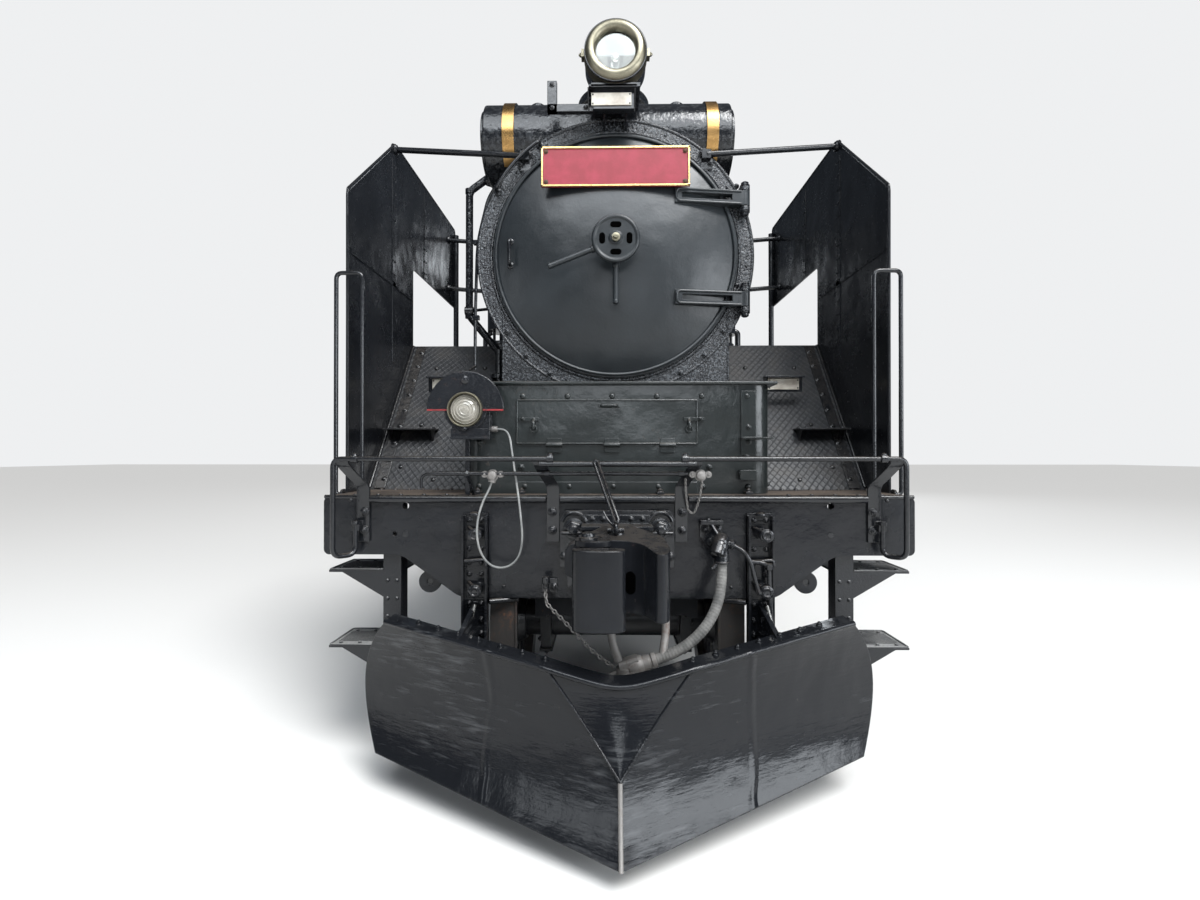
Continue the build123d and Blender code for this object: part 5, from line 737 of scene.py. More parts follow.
# the slots are not cut: dead-black plates on the disc's face paint the shade inside them
slot_shadows = Parts()
for angle in (0, 90, 180, 270):
    out = outward(angle)
    along = Vector((-out.z, 0, out.x))
    outline = []
    for end, i in product(SIDES, range(9)):
        turn = math.radians(-90 + i * 22.5)
        bend = along * (14 + 15 * math.cos(turn)) + out * 15 * math.sin(turn)
        outline.append(HUB + out * 70 + bend * end)
    slot_shadows.plate([(p.x, p.z) for p in outline], 1.2, (0, WHEEL_FRONT, 0))
slot_shadows.done("handwheel_slot_shadows", painted_shade.material, "smokebox_door")

# Number plate: a blank face inside a raised brass border, on four screws
PLATE_Y = dish_y(440) - 40
PLATE_H = BOILER_H + 440
PLATE_HALF = (400, 107.5)
border = Parts()
for dx in SIDES:
    x = (dx * PLATE_HALF[0], dx * (PLATE_HALF[0] - 11))
    border.block(x, (PLATE_Y - 6, PLATE_Y + 1), (PLATE_H - PLATE_HALF[1], PLATE_H + PLATE_HALF[1]))
for dz in SIDES:
    z = PLATE_H + dz * (PLATE_HALF[1] - 5.5)
    border.block((-PLATE_HALF[0], PLATE_HALF[0]), (PLATE_Y - 6, PLATE_Y + 1), (z - 5.5, z + 5.5))
border.done("plate_border", trim_brass, "smokebox_door", "red_paint", ease=2)
screws = Parts()
for dx, dz in product(SIDES, SIDES):
    place = (dx * 374, PLATE_Y, PLATE_H + dz * 82)
    screws.turned(place, -Y, ((-2, 14), (2, 14), (3, 9), (8, 9), (9, 7)), 6)
screws.done("plate_screws", rusty_iron, "smokebox_door", "red_paint")

# Curved grab rail, lamp conduit and stay lugs on the smokebox front
rails = Parts()
line = [on_drum(angle, 1, 752, 606) for angle in (151, 144, 137, 130, 124)]
feet = [line[0] + Y * 58, line[-1] + Y * 58]
rails.tube((feet[0], *line, feet[1]), 10, 22)
for foot in feet:
    rails.turned(foot, -Y, ((-4, 24), (8, 22), (11, 13)), 16)
conduit = ((-640, 640, 2870), (-712, 668, 2794), (-778, 682, 2540), (-792, 690, 2115), (-792, 690, 1820))
rails.tube(conduit, 9, 90)
for z in (2540, 2115):
    rails.block((-800, -768), (672, 700), (z - 12, z + 12))
for side in SIDES:
    for x, z in ((480, 3020), (530, 2962)):
        rails.bolt((side * x, 650, z), -Y, 13)
    rails.plate(((-30, -62), (34, -62), (44, 40), (-14, 60)), -12, (side * 505, 650, 2990))
rails.tube(((-720, 120, 1560), (-760, 180, 1700), (-792, 690, 1840)), 7, 120)
rails.done("smokebox_rails", gloss_black)

# Heater: brass bands, end rings, covers, the catches on top and the drain pipe's flanges


def sleeve(parts, x, centre, inner, outer, start, end):
    """Part of a tube about the crossways axis, between two angles from straight back."""
    steps = 40
    outline = []
    for radius, turn in ((outer, 1), (inner, -1)):
        angles = [math.radians(start + (end - start) * i / steps) for i in range(steps + 1)][::turn]
        outline += [(centre[0] + math.cos(a) * radius, centre[1] + math.sin(a) * radius) for a in angles]
    parts.plate(outline, x[1] - x[0], (x[0], 0, 0), Y, Z)


HEATER = (911, 3195)
HEATER_BAND_R = 233
bands = Parts()
for x in (-608, 552):
    sleeve(bands, (x - 33, x + 33), HEATER, HEATER_BAND_R - 2, HEATER_BAND_R + 2.5, -35, 232)
bands.done("heater_bands", band_brass)
heater_ends = Parts()
for side, x in ((-1, -748), (1, 658)):
    heater_ends.hoop((x, *HEATER), 218, 7, 56, u=Y, v=Z, sides=8)
    for place, out in circle_points((x - side * 28, *HEATER), 216, 36, u=Y, v=Z):
        heater_ends.rivet(place, out, 7)
    heater_ends.turned((x + side * 20, *HEATER), X * side, ((0, 120), (8, 112), (16, 60), (18, 0)), 36)
for x in (-458, 366):
    heater_ends.turned((x, HEATER[0] - 30, HEATER[1] + 215), Z, ((0, 46), (14, 46), (18, 34), (24, 34)), 18)
    for dx in SIDES:
        start = Vector((x + dx * 34, HEATER[0] - 30, HEATER[1] + 232))
        heater_ends.rod(start, start + X * dx * 28, 9)
heater_ends.done("heater_fittings", heater_black)
flanges = Parts()
for x, z in ((-742, 3000), (-700, 1822)):
    for place, out in circle_points((x, 911, z), 36, 6, start=30, u=X, v=Y):
        flanges.bolt(place, Z if z < 2000 else -Z, 8)
flanges.rod((-905, 911, 2210), (-855, 911, 2210), 26)
flanges.rod((-890, 911, 2210), (-770, 960, 2235), 9)
for z in (2935, 2180, 1960):
    flanges.turned((-880 if z > 2000 else -700, 911, z - 14), Z, ((0, 25), (28, 25)), 18)
flanges.done("drain_pipe_fittings", gloss_black)

# Headlamp: bronze ring, mirror and bulb, and the blank plate on its hooded holder below
LAMP = Vector((0, 450, 3460))
lamp = Parts()
profile = (
    (12, 106), (-6, 104), (-18, 108), (-26, 117), (-29, 128), (-27, 140),
    (-19, 152), (-6, 161), (14, 167), (64, 168), (70, 160), (14, 150),
)
lamp.turned(LAMP + Y * 6, Y, profile, 64, ends="joined")
for side in SIDES:
    lamp.block((side * 160, side * 181), (468, 512), (3438, 3478))
    lamp.bolt(LAMP + Vector((side * 180, 40, 0)), X * side, 11)
lamp.done("headlamp_ring", lamp_bronze)
mirror = Parts()
cup = [(44 + 120 * (1 - (r / 118) ** 2), r) for r in (117, 104, 90, 74, 56, 38, 20, 4)]
mirror.turned(LAMP, Y, cup, 40, ends="open")
mirror.done("headlamp_mirror", reflector)
bulb = Parts()
bulb.turned(LAMP + Y * 40, Y, ((0, 0), (3, 14), (12, 23), (26, 26), (44, 18), (56, 12), (104, 12)), 20)
bulb.done("headlamp_bulb", reflector)
under = Parts()
under.block((-118, 98), (500, 545), (3180, 3282))
under.block((-142, 112), (470, 560), (3282, 3292))
for x in (-142, 106):
    under.plate(((0, 0), (70, 0), (0, -90)), 6, (x, 548, 3282), -Y, Z)
under.block((-370, -118), (560, 590), (3205, 3245))
under.block((-370, -318), (560, 590), (3205, 3372))
for x, z in ((-344, 3350), (-344, 3225), (-160, 3225)):
    under.bolt((x, 560, z), -Y, 10)
under.done("lamp_plate_holder", gloss_black)
plates = Parts()
plates.block((-128, 84), (493, 500), (3196, 3262))
for x, y, z in ((872, 744, 1712), (-1050, 744, 1712)):
    plates.block((x, x + 176), (y - 8, y), (z, z + 62))
plates.done("blank_plates", sign_white, ease=1.5)
edges = Parts()
BLANK_PLATES = (  # the low corner, the width and the height
    (-128, 493, 3196, 212, 66), (872, 736, 1712, 176, 62), (-1050, 736, 1712, 176, 62),
)
for x, y, z, width, height in BLANK_PLATES:
    for dx, dz in product((8, width - 8), (9, height - 9)):
        edges.rivet((x + dx, y, z + dz), -Y, 5)
for x in (848, -1074):
    edges.block((x, x + 220), (700, 748), (1776, 1786))
    edges.block((x, x + 220), (744, 752), (1700, 1780))
edges.done("plate_holders", gloss_black)

# Casing across the front
CASING_Y = 150
rivets = Parts()
for i in range(6):
    rivets.rivet((-438 + i * 208.8, CASING_Y, 1616), -Y, 15)
for x in (-643, -429, -221, -15, 194, 402, 611):
    rivets.rivet((x, CASING_Y, 1194), -Y, 15)
for x, z in ((-446, 1284), (603, 1334), (606, 1615), (-640, 1616), (-640, 1400), (430, 1284)):
    rivets.bolt((x, CASING_Y, z), -Y, 12)
for y, side in product((230, 330, 430, 530, 630), SIDES):
    for z in (1200, 1640):
        rivets.rivet((side * 725, y, z), X * side, 12)
rivets.done("casing_rivets", casing_black)
lid = Parts()
for x in (-465, 373):
    lid.tube(((x, 143, 1395), (x, 143, 1596)), 5)
lid.tube(((-465, 143, 1596), (376, 143, 1596)), 5)
lid.tube(((-465, 143, 1394), (376, 143, 1394)), 5)
for x in (-290, -22, 237):
    lid.rod((x - 38, 138, 1388), (x + 38, 138, 1388), 11)
    lid.block((x - 34, x + 34), (138, 146), (1388, 1420))
    lid.block((x - 34, x + 34), (142, 150), (1352, 1388))
for side, x in ((-1, -408), (1, 358)):
    lid.block((x - 48, x + 48), (134, 142), (1499, 1517))
    lid.tube(((x - side * 22, 140, 1506), (x - side * 22, 118, 1490), (x - side * 22, 118, 1462)), 8, 8)
    lid.hoop((x - side * 22, 126, 1462), 15, 5, 14, sides=8)
    lid.bolt((x + side * 30, 134, 1508), -Y, 8)
lid.block((-85, 14), (134, 142), (1562, 1578))
lid.tube(((-70, 136, 1570), (-70, 112, 1570), (0, 112, 1570), (0, 136, 1570)), 6, 8)
lid.block((578, 647), (142, 152), (1342, 1640))
lid.block((570, 712), (84, 152), (1415, 1423))
for z in (1400, 1470):
    lid.bolt((612, 142, z), -Y, 9)
lid.block((566, 640), (108, 152), (1226, 1272))
lid.block((560, 646), (112, 152), (1258, 1264))
lid.tube(((-743, 136, 1676), (743, 136, 1676)), 9)
lid.done("casing_fittings", casing_black, ease=1.5)
lugs = Parts()
for x in (-644, -440, 200, 606):
    lugs.block((x - 16, x + 16), (96, 150), (DECK_H, 1172))
    lugs.bolt((x, 118, 1172), Z, 12)
for side in SIDES:
    for x in range(780, 1290, 72):
        lugs.rivet((side * x, 418, DECK_H), Z, 11)
    for x in range(770, 1290, 104):
        lugs.rivet((side * x, 60, DECK_H), Z, 11)
for x in range(-1250, 1251, 125):
    lugs.rivet((x, 6, 1156), Z + Y * -0.2, 9)
lugs.done("deck_rivets", deck_brown)

# Slopes: border strips with their bolts, worn tread edges and the ledges' bolts
SLOPE_FOOT, SLOPE_HEAD = 432, 1105
SLOPE = Vector((0, SLOPE_HEAD - SLOPE_FOOT, BOARD_H - DECK_H)).normalized()
SLOPE_OUT = X.cross(SLOPE)


def on_slope(x, y):
    return Vector((x, y, DECK_H + (y - SLOPE_FOOT) * SLOPE.z / SLOPE.y))


strips = Parts()
for side in SIDES:
    for x, width, length, rise in ((side * 1230 - 29, 58, 1090, 7), (side * 745 - 15, 30, 700, 6)):
        outline = ((0, 6), (width, 6), (width, length), (0, length))
        strips.plate(outline, rise, on_slope(x, SLOPE_FOOT), X, SLOPE)
    for i in range(9):
        strips.bolt(on_slope(side * 1218, 470 + i * 74) + SLOPE_OUT * 6, SLOPE_OUT, 10, stud=False)
    for x, y in ((800, 700), (1100, 700), (800, 980), (1100, 980), (790, 520), (1150, 520), (960, 470)):
        strips.bolt(on_slope(side * x, y), SLOPE_OUT, 10, stud=False)
    for x in (1013, 1252):
        strips.bolt((side * x, 640, 1486), Z, 9)
    strips.tube((on_slope(side * 1284, 440), on_slope(side * 1284, 1100)), 9)
strips.done("slope_strips", gloss_black)

# Deflectors: edge bead, seams and rivets, with bolts where the stays meet them
OUTER, INNER = 1298, 1290
sheets = Parts()
edge = ((214, 1190), (206, 2620), (800, 3164), (2079, 3164), (2079, 2536))
for side in SIDES:
    sheets.tube([(side * 1294, y, z) for y, z in edge], 8, 30)
    through = (side * (INNER - 3), side * (OUTER + 2))
    seats = [(270 + i * 70, 2335) for i in range(12)]
    sheets.block(through, (240, 1090), (2320, 2350))
    for y, low, high in ((780, 1880, 3060), (1340, 2545, 3120)):
        sheets.block(through, (y - 26, y + 26), (low, high))
        seats += [(y + dy, z) for z in range(low + 30, high - 10, 80) for dy in (-14, 14)]
    for y, z in seats:
        sheets.rivet((side * (OUTER + 1), y, z), X * side, 7)
        sheets.rivet((side * (INNER - 2), y, z), X * -side, 7)
    for y, z in ((798, 3133), (1900, 3020), (1900, 2640)):
        sheets.turned((side * OUTER, y, z), X * side, ((0, 34), (6, 32)), 18)
        sheets.bolt((side * (OUTER + 5), y, z), X * side, 15)
        sheets.turned((side * (INNER - 14), y, z), X * side, ((0, 24), (14, 30)), 18)
    for i in range(7):
        sheets.bolt((side * (OUTER + 1), 250 + i * 26, 1178 + i * 2), X * side, 8)
sheets.done("deflector_seams", plate_black)

# Railing: bracket bolts, collars and the feet of the guard rails
BRACKETS = (284, 1112)
fasteners = Parts()
for side in SIDES:
    for x in BRACKETS:
        for z in (1092, 1012):
            fasteners.turned((side * x, -10, z), -Y, ((0, 21), (5, 20)), 18)
            fasteners.bolt((side * x, -14, z), -Y, 14)
        fasteners.turned((side * x - 14, -112, 1325), X, ((0, 17), (28, 17)), 16)
        fasteners.turned((side * x, -112, 1330), Z, ((0, 12), (16, 11), (22, 0)), 12)
    fasteners.turned((side * 1205, 170, 1160), Z, ((0, 24), (8, 22), (10, 14)), 16)
    fasteners.turned((side * 1298, 170, 1155), X * side, ((-8, 26), (3, 24), (6, 14)), 16)
    fasteners.turned((side * 1140, -42, 1050), Z, ((-10, 18), (4, 18)), 16)
fasteners.done("railing_bolts", gloss_black)

# Railing with its brackets, the guard rails, and the rod and link that lift the coupler's lock
BRACKET = (  # y, z and how far it has flared outwards, from its foot to its head
    (-12, 960, 0), (-12, 1192, 0), (-20, 1212, 5), (-60, 1252, 26),
    (-100, 1290, 42), (-115, 1306, 46), (-118, 1325, 48),
)
railing = Parts()
for side in SIDES:
    low_end = ((side * 1205, -112, 909), (side * 1140, -40, 909), (side * 1140, -40, 1050))
    railing.tube(((side * 281, -112, 1325), (side * 1205, -112, 1325), *low_end), 11, 38, 12)
    arch = ((1205, DECK_H), (1205, 2205), (1330, 2205), (1330, 1155), (1290, 1155))
    railing.tube([(side * x, 170, z) for x, z in arch], 10, 30, 12)
    railing.block((side * 1123, side * 1157), (-44, 0), (1012, 1052))
    for x in (281, 1120):
        middles = [Vector((side * (x + flare), y, z)) for y, z, flare in BRACKET]
        railing.sheet([[middle - X * 28, middle + X * 28] for middle in middles], (0, 12, 0))
    railing.tube(((side * 1088, -12, 1148), (side * 312, -12, 1148)), 17, sides=14)
railing.tube(((-250, -12, 1148), (250, -12, 1148)), 19, sides=14)
railing.tube(((-330, -112, 1303), (330, -112, 1303)), 12)
railing.tube(((-790, -84, 1262), (300, -84, 1262)), 9)
rod_bracket = ((70, 1160), (70, 1172), (40, 1176), (-92, 1276), (-100, 1262), (28, 1160))
railing.plate(rod_bracket, 12, (-646, 0, 0), Y, Z)
hook, shackle = Vector((-92, -126, 1314)), Vector((-6, -340, 1092))
along = (shackle - hook).normalized()
aside = along.cross(Y).normalized() * 8
loop = (hook + aside, shackle + aside, shackle + along * 9, shackle - aside, hook - aside, hook - along * 9)
railing.tube(loop, 6.5, closed=True, sides=10)
railing.tube((hook + Vector((0, 14, 0)), hook + Vector((0, -8, 0))), 9)
railing.done("railing_and_lifting_link", gloss_black, replaces=("front_railing",))
release = Parts()
release.tube(((-790, -84, 1262), (-812, -84, 1262), (-838, -84, 1248), (-838, -84, 1200)), 6, 14)
for x in (-640, -300, 270):
    release.turned((x - 11, -84, 1262), X, ((0, 13), (22, 13)), 14)
release.turned((-13, -324, 1056), X * 0.9 + Y * 0.01, ((-30, 9), (34, 9)), 14)
release.hoop((-9, -330, 1062), 21, 7, 20, u=Y, v=Z, sides=8)
release.rod((-20, -330, 1046), (0, -330, 1062), 16)
release.tube(((-9, -330, 1062), (-40, -318, 1092), (-58, -300, 1124)), 5, 8)
release.done("release_rod_ends", gloss_black)

# Sockets on chains


def chain(parts, points, link, wire=2.2):
    """Links hung one in the next along a line of points."""
    count = max(2, int(length_of([Vector(p) for p in points]) / (link * 0.8)))
    spots = spaced(rounded(points, 60, 8), count)
    for i, (a, b) in enumerate(zip(spots, spots[1:])):
        along = (b - a).normalized()
        side = along.orthogonal().normalized()
        side = along.cross(side) if i % 2 else side
        middle, half = (a + b) / 2, link / 2
        parts.hoop(middle, half, wire, 12, u=along, v=side * 0.6)


sockets = Parts()
for x in (-532, 352):
    sockets.turned((x, -70, 1255), -Y, ((0, 16), (6, 24), (16, 26), (20, 20), (34, 18), (38, 9)), 18)
    for dx in (-34, 34):
        sockets.turned((x + dx, -84, 1259), -Y, ((-8, 15), (6, 14)), 14)
        sockets.rivet((x + dx, -89, 1259), -Y, 7)
    sockets.block((x - 40, x + 40), (-88, -78), (1250, 1268))
sockets.done("lamp_sockets", cast_grey, slot="dark_iron")
chains = Parts()
SOCKET_CHAIN = (
    (358, -96, 1236), (352, -60, 1150), (332, -34, 1084),
    (306, -34, 1100), (292, -60, 1190), (288, -90, 1240),
)
chain(chains, SOCKET_CHAIN, 13)
chain(chains, ((-306, -60, 800), (-309, -70, 740), (-300, -80, 706)), 22, 3.6)
chain(chains, ((-300, -80, 706), (-190, -150, 622), (-92, -200, 538), (-16, -222, 496)), 22, 3.2)
chains.done("front_chains", cast_grey, slot="dark_iron")
anchor = Parts()
anchor.block((-330, -262), (-12, 2), (740, 800))
anchor.tube(((-306, -8, 790), (-306, -66, 800), (-306, -66, 770)), 12, 14)
anchor.turned((-306, -70, 806), Z, ((-14, 17), (14, 17)), 14)
anchor.bolt((-276, -12, 764), -Y, 12)
anchor.done("chain_anchor", gloss_black)

# Side lamp: lens ring, shade edge, hood details
SIDE_LAMP = Vector((-682, 40, 1545))
rim = Parts()
profile = ((8, 69), (-8, 70), (-15, 73), (-15, 77), (-8, 80), (14, 80), (18, 74))
rim.turned(SIDE_LAMP + Y * -4, Y, profile, 44, ends="joined")
rim.done("side_lamp_ring", lamp_bronze)
lens = Parts()
profile = (
    (-14, 0), (-13, 12), (-10, 20), (-12, 23), (-7, 34), (-10, 37),
    (-3, 48), (-7, 51), (2, 61), (-3, 64), (8, 71),
)
lens.turned(SIDE_LAMP, Y, profile, 44, ends="open")
lens.done("side_lamp_lens", lens_glass)
shade = Parts()
shade.tube(ring_of(SIDE_LAMP + Y * 4, 171, 33, sweep=180), 4, sides=8)
shade.turned(SIDE_LAMP + Y * 2 + Z * 134, -Y, ((-4, 18), (8, 18), (11, 9), (14, 0)), 14)
shade.rod(SIDE_LAMP + Vector((70, 46, -68)), SIDE_LAMP + Vector((70, 46, -10)), 8)
shade.block((-748, -571), (36, 44), (1411, 1423))
shade.bolt(SIDE_LAMP + Vector((0, -12, -86)), -Y, 8)
shade.block((-745, -573), (52, 112), (1455, 1540))
shade.done("side_lamp_fittings", gloss_black)
lower = Parts()
for side in SIDES:
    x = (SIDE_LAMP.x + side * 80, SIDE_LAMP.x + side * 172)
    lower.block(x, (36, 42), (1540, 1547))
lower.done("side_lamp_shade_edge", edge_red)

# Draft gear between the inner brackets, with its spring bolts
cheeks = Parts()
for side in SIDES:
    x = side * 188
    cheeks.plate(((-62, -150), (62, -150), (62, 62), (40, 100), (-40, 100), (-62, 62)), -22, (x, -22, 1000))
    cheeks.turned((x, -22, 1020), -Y, ((0, 46), (10, 46), (12, 36)), 24)
    cheeks.turned((x, -32, 1020), -Y, ((0, 36), (20, 36), (24, 30)), 6)
    cheeks.turned((x, -54, 1020), -Y, ((0, 20), (14, 20), (18, 14)), 18)
    cheeks.tube(ring_of((x, -30, 1040), 52, 15, start=12, sweep=156), 8, sides=8)
    cheeks.plate(((-20, 0), (20, 0), (20, -150), (-12, -170)), -30, (side * 206, -22, 930))
    cheeks.bolt((side * 232, -22, 900), -Y, 13)
cheeks.block((-152, 148), (-140, -20), (1028, 1044))
cheeks.block((-226, 226), (-30, -2), (1078, 1100))
cheeks.block((-140, 140), (-34, -4), (1044, 1080))
for x in (-110, -60, 60, 110):
    cheeks.bolt((x, -34, 1064), -Y, 9)
for x in (-240, 150):
    cheeks.rod((x, -60, 1006), (x + 90, -60, 1006), 8)
cheeks.done("draft_gear", gloss_black, ease=3)

# Coupler head with its guard arm, and the knuckle that turns on the pin
HEAD_PLAN = (
    (-65, -230), (65, -230), (168, -345), (183, -465), (172, -510), (152, -532), (130, -522), (116, -492),
    (92, -438), (60, -407), (20, -392), (-55, -388), (-70, -340), (-160, -340), (-110, -300),
)
LUG_PLAN = ((-60, -300), (-20, -420), (-102, -453), (-164, -423), (-160, -330))
KNUCKLE_PLAN = (
    (-154, -413), (-162, -468), (-158, -504), (-142, -524), (-110, -534), (-34, -534), (0, -526),
    (12, -512), (-4, -487), (-62, -470), (-76, -408), (-90, -378), (-130, -373),
)
NOSE_PLAN = (
    (-166, -478), (-168, -506), (-152, -532), (-112, -545), (-34, -546),
    (6, -538), (22, -516), (20, -496), (0, -480),
)
coupler_head = Parts()
coupler_head.block((-65, 65), (-260, 0), (815, 945))
coupler_head.block((-150, 150), (-46, 0), (730, 1030))
coupler_head.upright(rounded_loop(HEAD_PLAN, 16), 760, 1104, slope=0.2)
for low, high in ((730, 753), (1007, 1030)):
    coupler_head.upright(rounded_loop(LUG_PLAN, 26), low, high)
coupler_head.block((-150, -60), (-340, -305), (730, 1030))
shoulder = rounded_loop(((-206, 886), (-150, 862), (-150, 1004), (-186, 1004), (-206, 976)), 16)
coupler_head.plate(shoulder, 74, (0, -262, 0))
cheek = rounded_loop(((-150, 770), (-110, 770), (-110, 1004), (-150, 1004)), 8)
coupler_head.plate(cheek, 60, (0, -262, 0))
for low, high in ((710, 753), (1007, 1055)):
    coupler_head.rod((-112, -408, low), (-112, -408, high), 17)
coupler_head.done("coupler_head", coupler_black, replaces=("front_coupler",), ease=5)
# the lock's pocket is a flat dead-black plate on the head: painted shade, not a hollow
pocket_shadow = Parts()
lock = [(26 * math.cos(a), 42 * math.sin(a)) for a in (math.tau * i / 24 for i in range(24))]
pocket_shadow.plate(lock, 5, (44, -398, 872), Vector((40, -15, 0)), Z)
pocket_shadow.done("coupler_lock_pocket_shadow", painted_shade.material)
barrel = Parts()
barrel.upright(rounded_loop(KNUCKLE_PLAN, 22), 756, 1004)
barrel.upright(rounded_loop(NOSE_PLAN, 20), 728, 1014)
barrel.done("knuckle_barrel", coupler_black, "coupler_knuckle", replaces=("coupler_knuckle",), ease=6)
coupler = Parts()
coupler.turned((-112, -408, 1030), Z, ((0, 34), (10, 34), (14, 26), (26, 24), (30, 14)), 20)
coupler.turned((-112, -408, 730), -Z, ((0, 32), (22, 30), (26, 20)), 20)
coupler.turned((-9, -300, 1030), Z, ((-20, 40), (14, 36), (22, 28)), 20)
for z in (812, 868, 926, 984):
    coupler.rivet((180, -428, z), X, 10)
coupler.done("coupler_fittings", gloss_black)

# Brake cock: bracket, body, clamp and the long bent handle
cock = Parts()
cock.plate(((361, 1058), (458, 1058), (458, 1000), (440, 952), (400, 930), (361, 984)), 12)
cock.plate(((361, 1058), (458, 1058), (458, 1040), (361, 1040)), 40)
for x, z in ((383, 1018), (438, 1018), (412, 962)):
    cock.bolt((x, -12, z), -Y, 13)
cock.tube(((398, -14, 1060), (430, -60, 1000), (448, -90, 960)), 9, 20)
profile = ((0, 24), (12, 32), (50, 36), (96, 34), (100, 28))
cock.turned((447, -84, 1000), Vector((-0.35, -0.5, -0.8)), profile, 24)
cock.turned((434, -122, 910), Vector((0.02, 0.15, 1)), ((-14, 31), (16, 31), (18, 27), (60, 30)), 24)
cock.hoop((434, -126, 896), 28, 5, 20, u=X, v=Y, sides=8)
cock.rod((398, -140, 876), (414, -136, 896), 9)
cock.bolt((396, -142, 874), Vector((-1, -0.3, -0.6)), 9)
cock.turned((470, -100, 968), Vector((0.8, -0.5, -0.2)), ((-34, 20), (20, 20), (24, 13)), 18)
cock.tube(((480, -106, 966), (530, -128, 938), (556, -130, 890), (572, -128, 820), (590, -122, 762)), 9, 24)
cock.done("brake_cock_fittings", gloss_black)
pipe = Parts()
POST_PIPE = (
    (574, -48, 882), (625, -56, 880), (650, -58, 858), (650, -58, 800), (656, -60, 640), (664, -90, 560),
)
pipe.tube(POST_PIPE, 10, 26)
pipe.turned((650, -58, 850), Z, ((0, 17), (26, 17)), 6)
pipe.done("post_pipe", gloss_black)
wand = Parts()
wand.rod((636, -70, 700), (668, -150, 520), 8)
wand.rod((-612, -70, 700), (-640, -150, 520), 8)
wand.done("pale_rods", worn_steel, slot="bright_steel")

# Hose coupling head and its hangers
hose_head = Parts()
end = Vector((125, -218, 515))
reach = (end - Vector((210, -214, 540))).normalized()
profile = ((-30, 27), (-26, 31), (-12, 31), (-8, 26), (20, 26), (30, 36), (60, 40), (84, 34), (96, 18))
hose_head.turned(end, reach, profile, 24)
claw = ((-30, -60), (26, -70), (50, -20), (40, 40), (-20, 54), (-48, 10))
hose_head.plate(claw, 26, end + reach * 96 + Z * -8, reach, Y)
hose_head.turned(end + reach * 104 - Z * 18, Z, ((0, 34), (26, 34), (32, 24)), 20)
hose_head.tube((end + reach * 120, end + reach * 190 + Z * -12, end + reach * 236 + Z * -26), 11, 20)
hose_head.tube(((-30, -222, 720), (-26, -224, 600), (2, -224, 520)), 17, 40)
hose_head.tube(((196, -160, 700), (196, -176, 620), (178, -214, 540)), 17, 30)
hose_head.rivet((-30, -236, 706), -Y, 12)
hose_head.done("hose_head_fittings", cast_grey, slot="dark_iron")

# Plough: the pins, bolts, loops and stays of its posts
posts = Parts()
for side in SIDES:
    x = side * 622
    for z in (998, 758):
        posts.turned((x + 12, -70, z), -Y, ((0, 29), (14, 29), (17, 24)), 20)
        posts.hoop((x + 12, -87, z), 17, 5, 18, sides=8)
        posts.tube(((x - 30, -14, z + 26), (x - 4, -50, z + 16)), 8)
    for z, dx in product((1056, 930, 870, 820, 690, 620, 560, 500), (-26, 26)):
        posts.bolt((x + dx, -12, z), -Y, 10)
    posts.turned((x, -30, 1080), Z, ((0, 24), (8, 22), (14, 10)), 16)
    posts.tube(((x - 40, -40, 880), (x + 50, -40, 888), (x + 54, -40, 860)), 8, 12)
    posts.rod((side * 560, -20, 700), (side * 440, 30, 700), 12)
posts.done("plough_post_fittings", gloss_black)

# Plough: two ruled blades between an upright curve at the prow and one at the tip, trimmed to a rounded end
BLADE_REACH = 1100
BLADE_ROWS = 40
BLADE_COLUMNS = 18
PROW_HALF = 262  # of the plate over the prow, along the top edge
PROW_COLUMNS = 24
PROW_LEAN = 62  # how far that plate leans back from the blades' ridge at the top
PROW_DIP = 16
RIDGE = 0.3  # how far the ridge is rounded, as a share of the half width


def arc_through(points, count):
    """Points (y, z) evenly along the arc through three places."""
    (ay, az), (by, bz), (cy, cz) = points
    scale = 2 * (ay * (bz - cz) + by * (cz - az) + cy * (az - bz))
    first, second, third = (y * y + z * z for y, z in points)
    middle_y = (first * (bz - cz) + second * (cz - az) + third * (az - bz)) / scale
    middle_z = (first * (cy - by) + second * (ay - cy) + third * (by - ay)) / scale
    start = math.atan2(az - middle_z, ay - middle_y)
    sweep = math.remainder(math.atan2(cz - middle_z, cy - middle_y) - start, math.tau)
    radius = math.hypot(ay - middle_y, az - middle_z)
    turns = [start + sweep * i / count for i in range(count + 1)]
    return [Vector((middle_y + radius * math.cos(a), middle_z + radius * math.sin(a))) for a in turns]


def blade_tip(z):
    """Half the plough's width at a height, on the curve through its three outer corners."""
    return 985 + (z - 150) * (80 / 180) - (z - 150) * (z - 330) * 0.001516


prow_line = arc_through(((-590, 556), (-614, 290), (-740, 60)), BLADE_ROWS)
tip_line = arc_through(((-150, 690), (-85, 430), (-150, 150)), BLADE_ROWS)
foot_row = next(i for i, point in enumerate(prow_line) if point.y < 275)
blades = Parts()
seams, top_edges = {1: [], -1: []}, {}
for side in SIDES:
    rows = []
    for i, (near, far) in enumerate(zip(prow_line, tip_line)):
        rise = max(0, 1 - i / foot_row)
        inner = PROW_HALF * rise / BLADE_REACH
        outer = blade_tip(near.lerp(far, 0.92).y) / BLADE_REACH
        row = []
        for k in range(BLADE_COLUMNS + 1):
            share = inner + (outer - inner) * k / BLADE_COLUMNS
            y, z = near.lerp(far, share)
            row.append(Vector((side * BLADE_REACH * share, y, z)))
        rows.append(row)
        if rise:
            seams[side].append(row[0] - Y * 2)
    seams[side].append(Vector((0, *prow_line[foot_row])) - Y * 2)
    top_edges[side] = rows[0]
    blades.sheet(rows, (0, 22, 0))
plate_rows = []
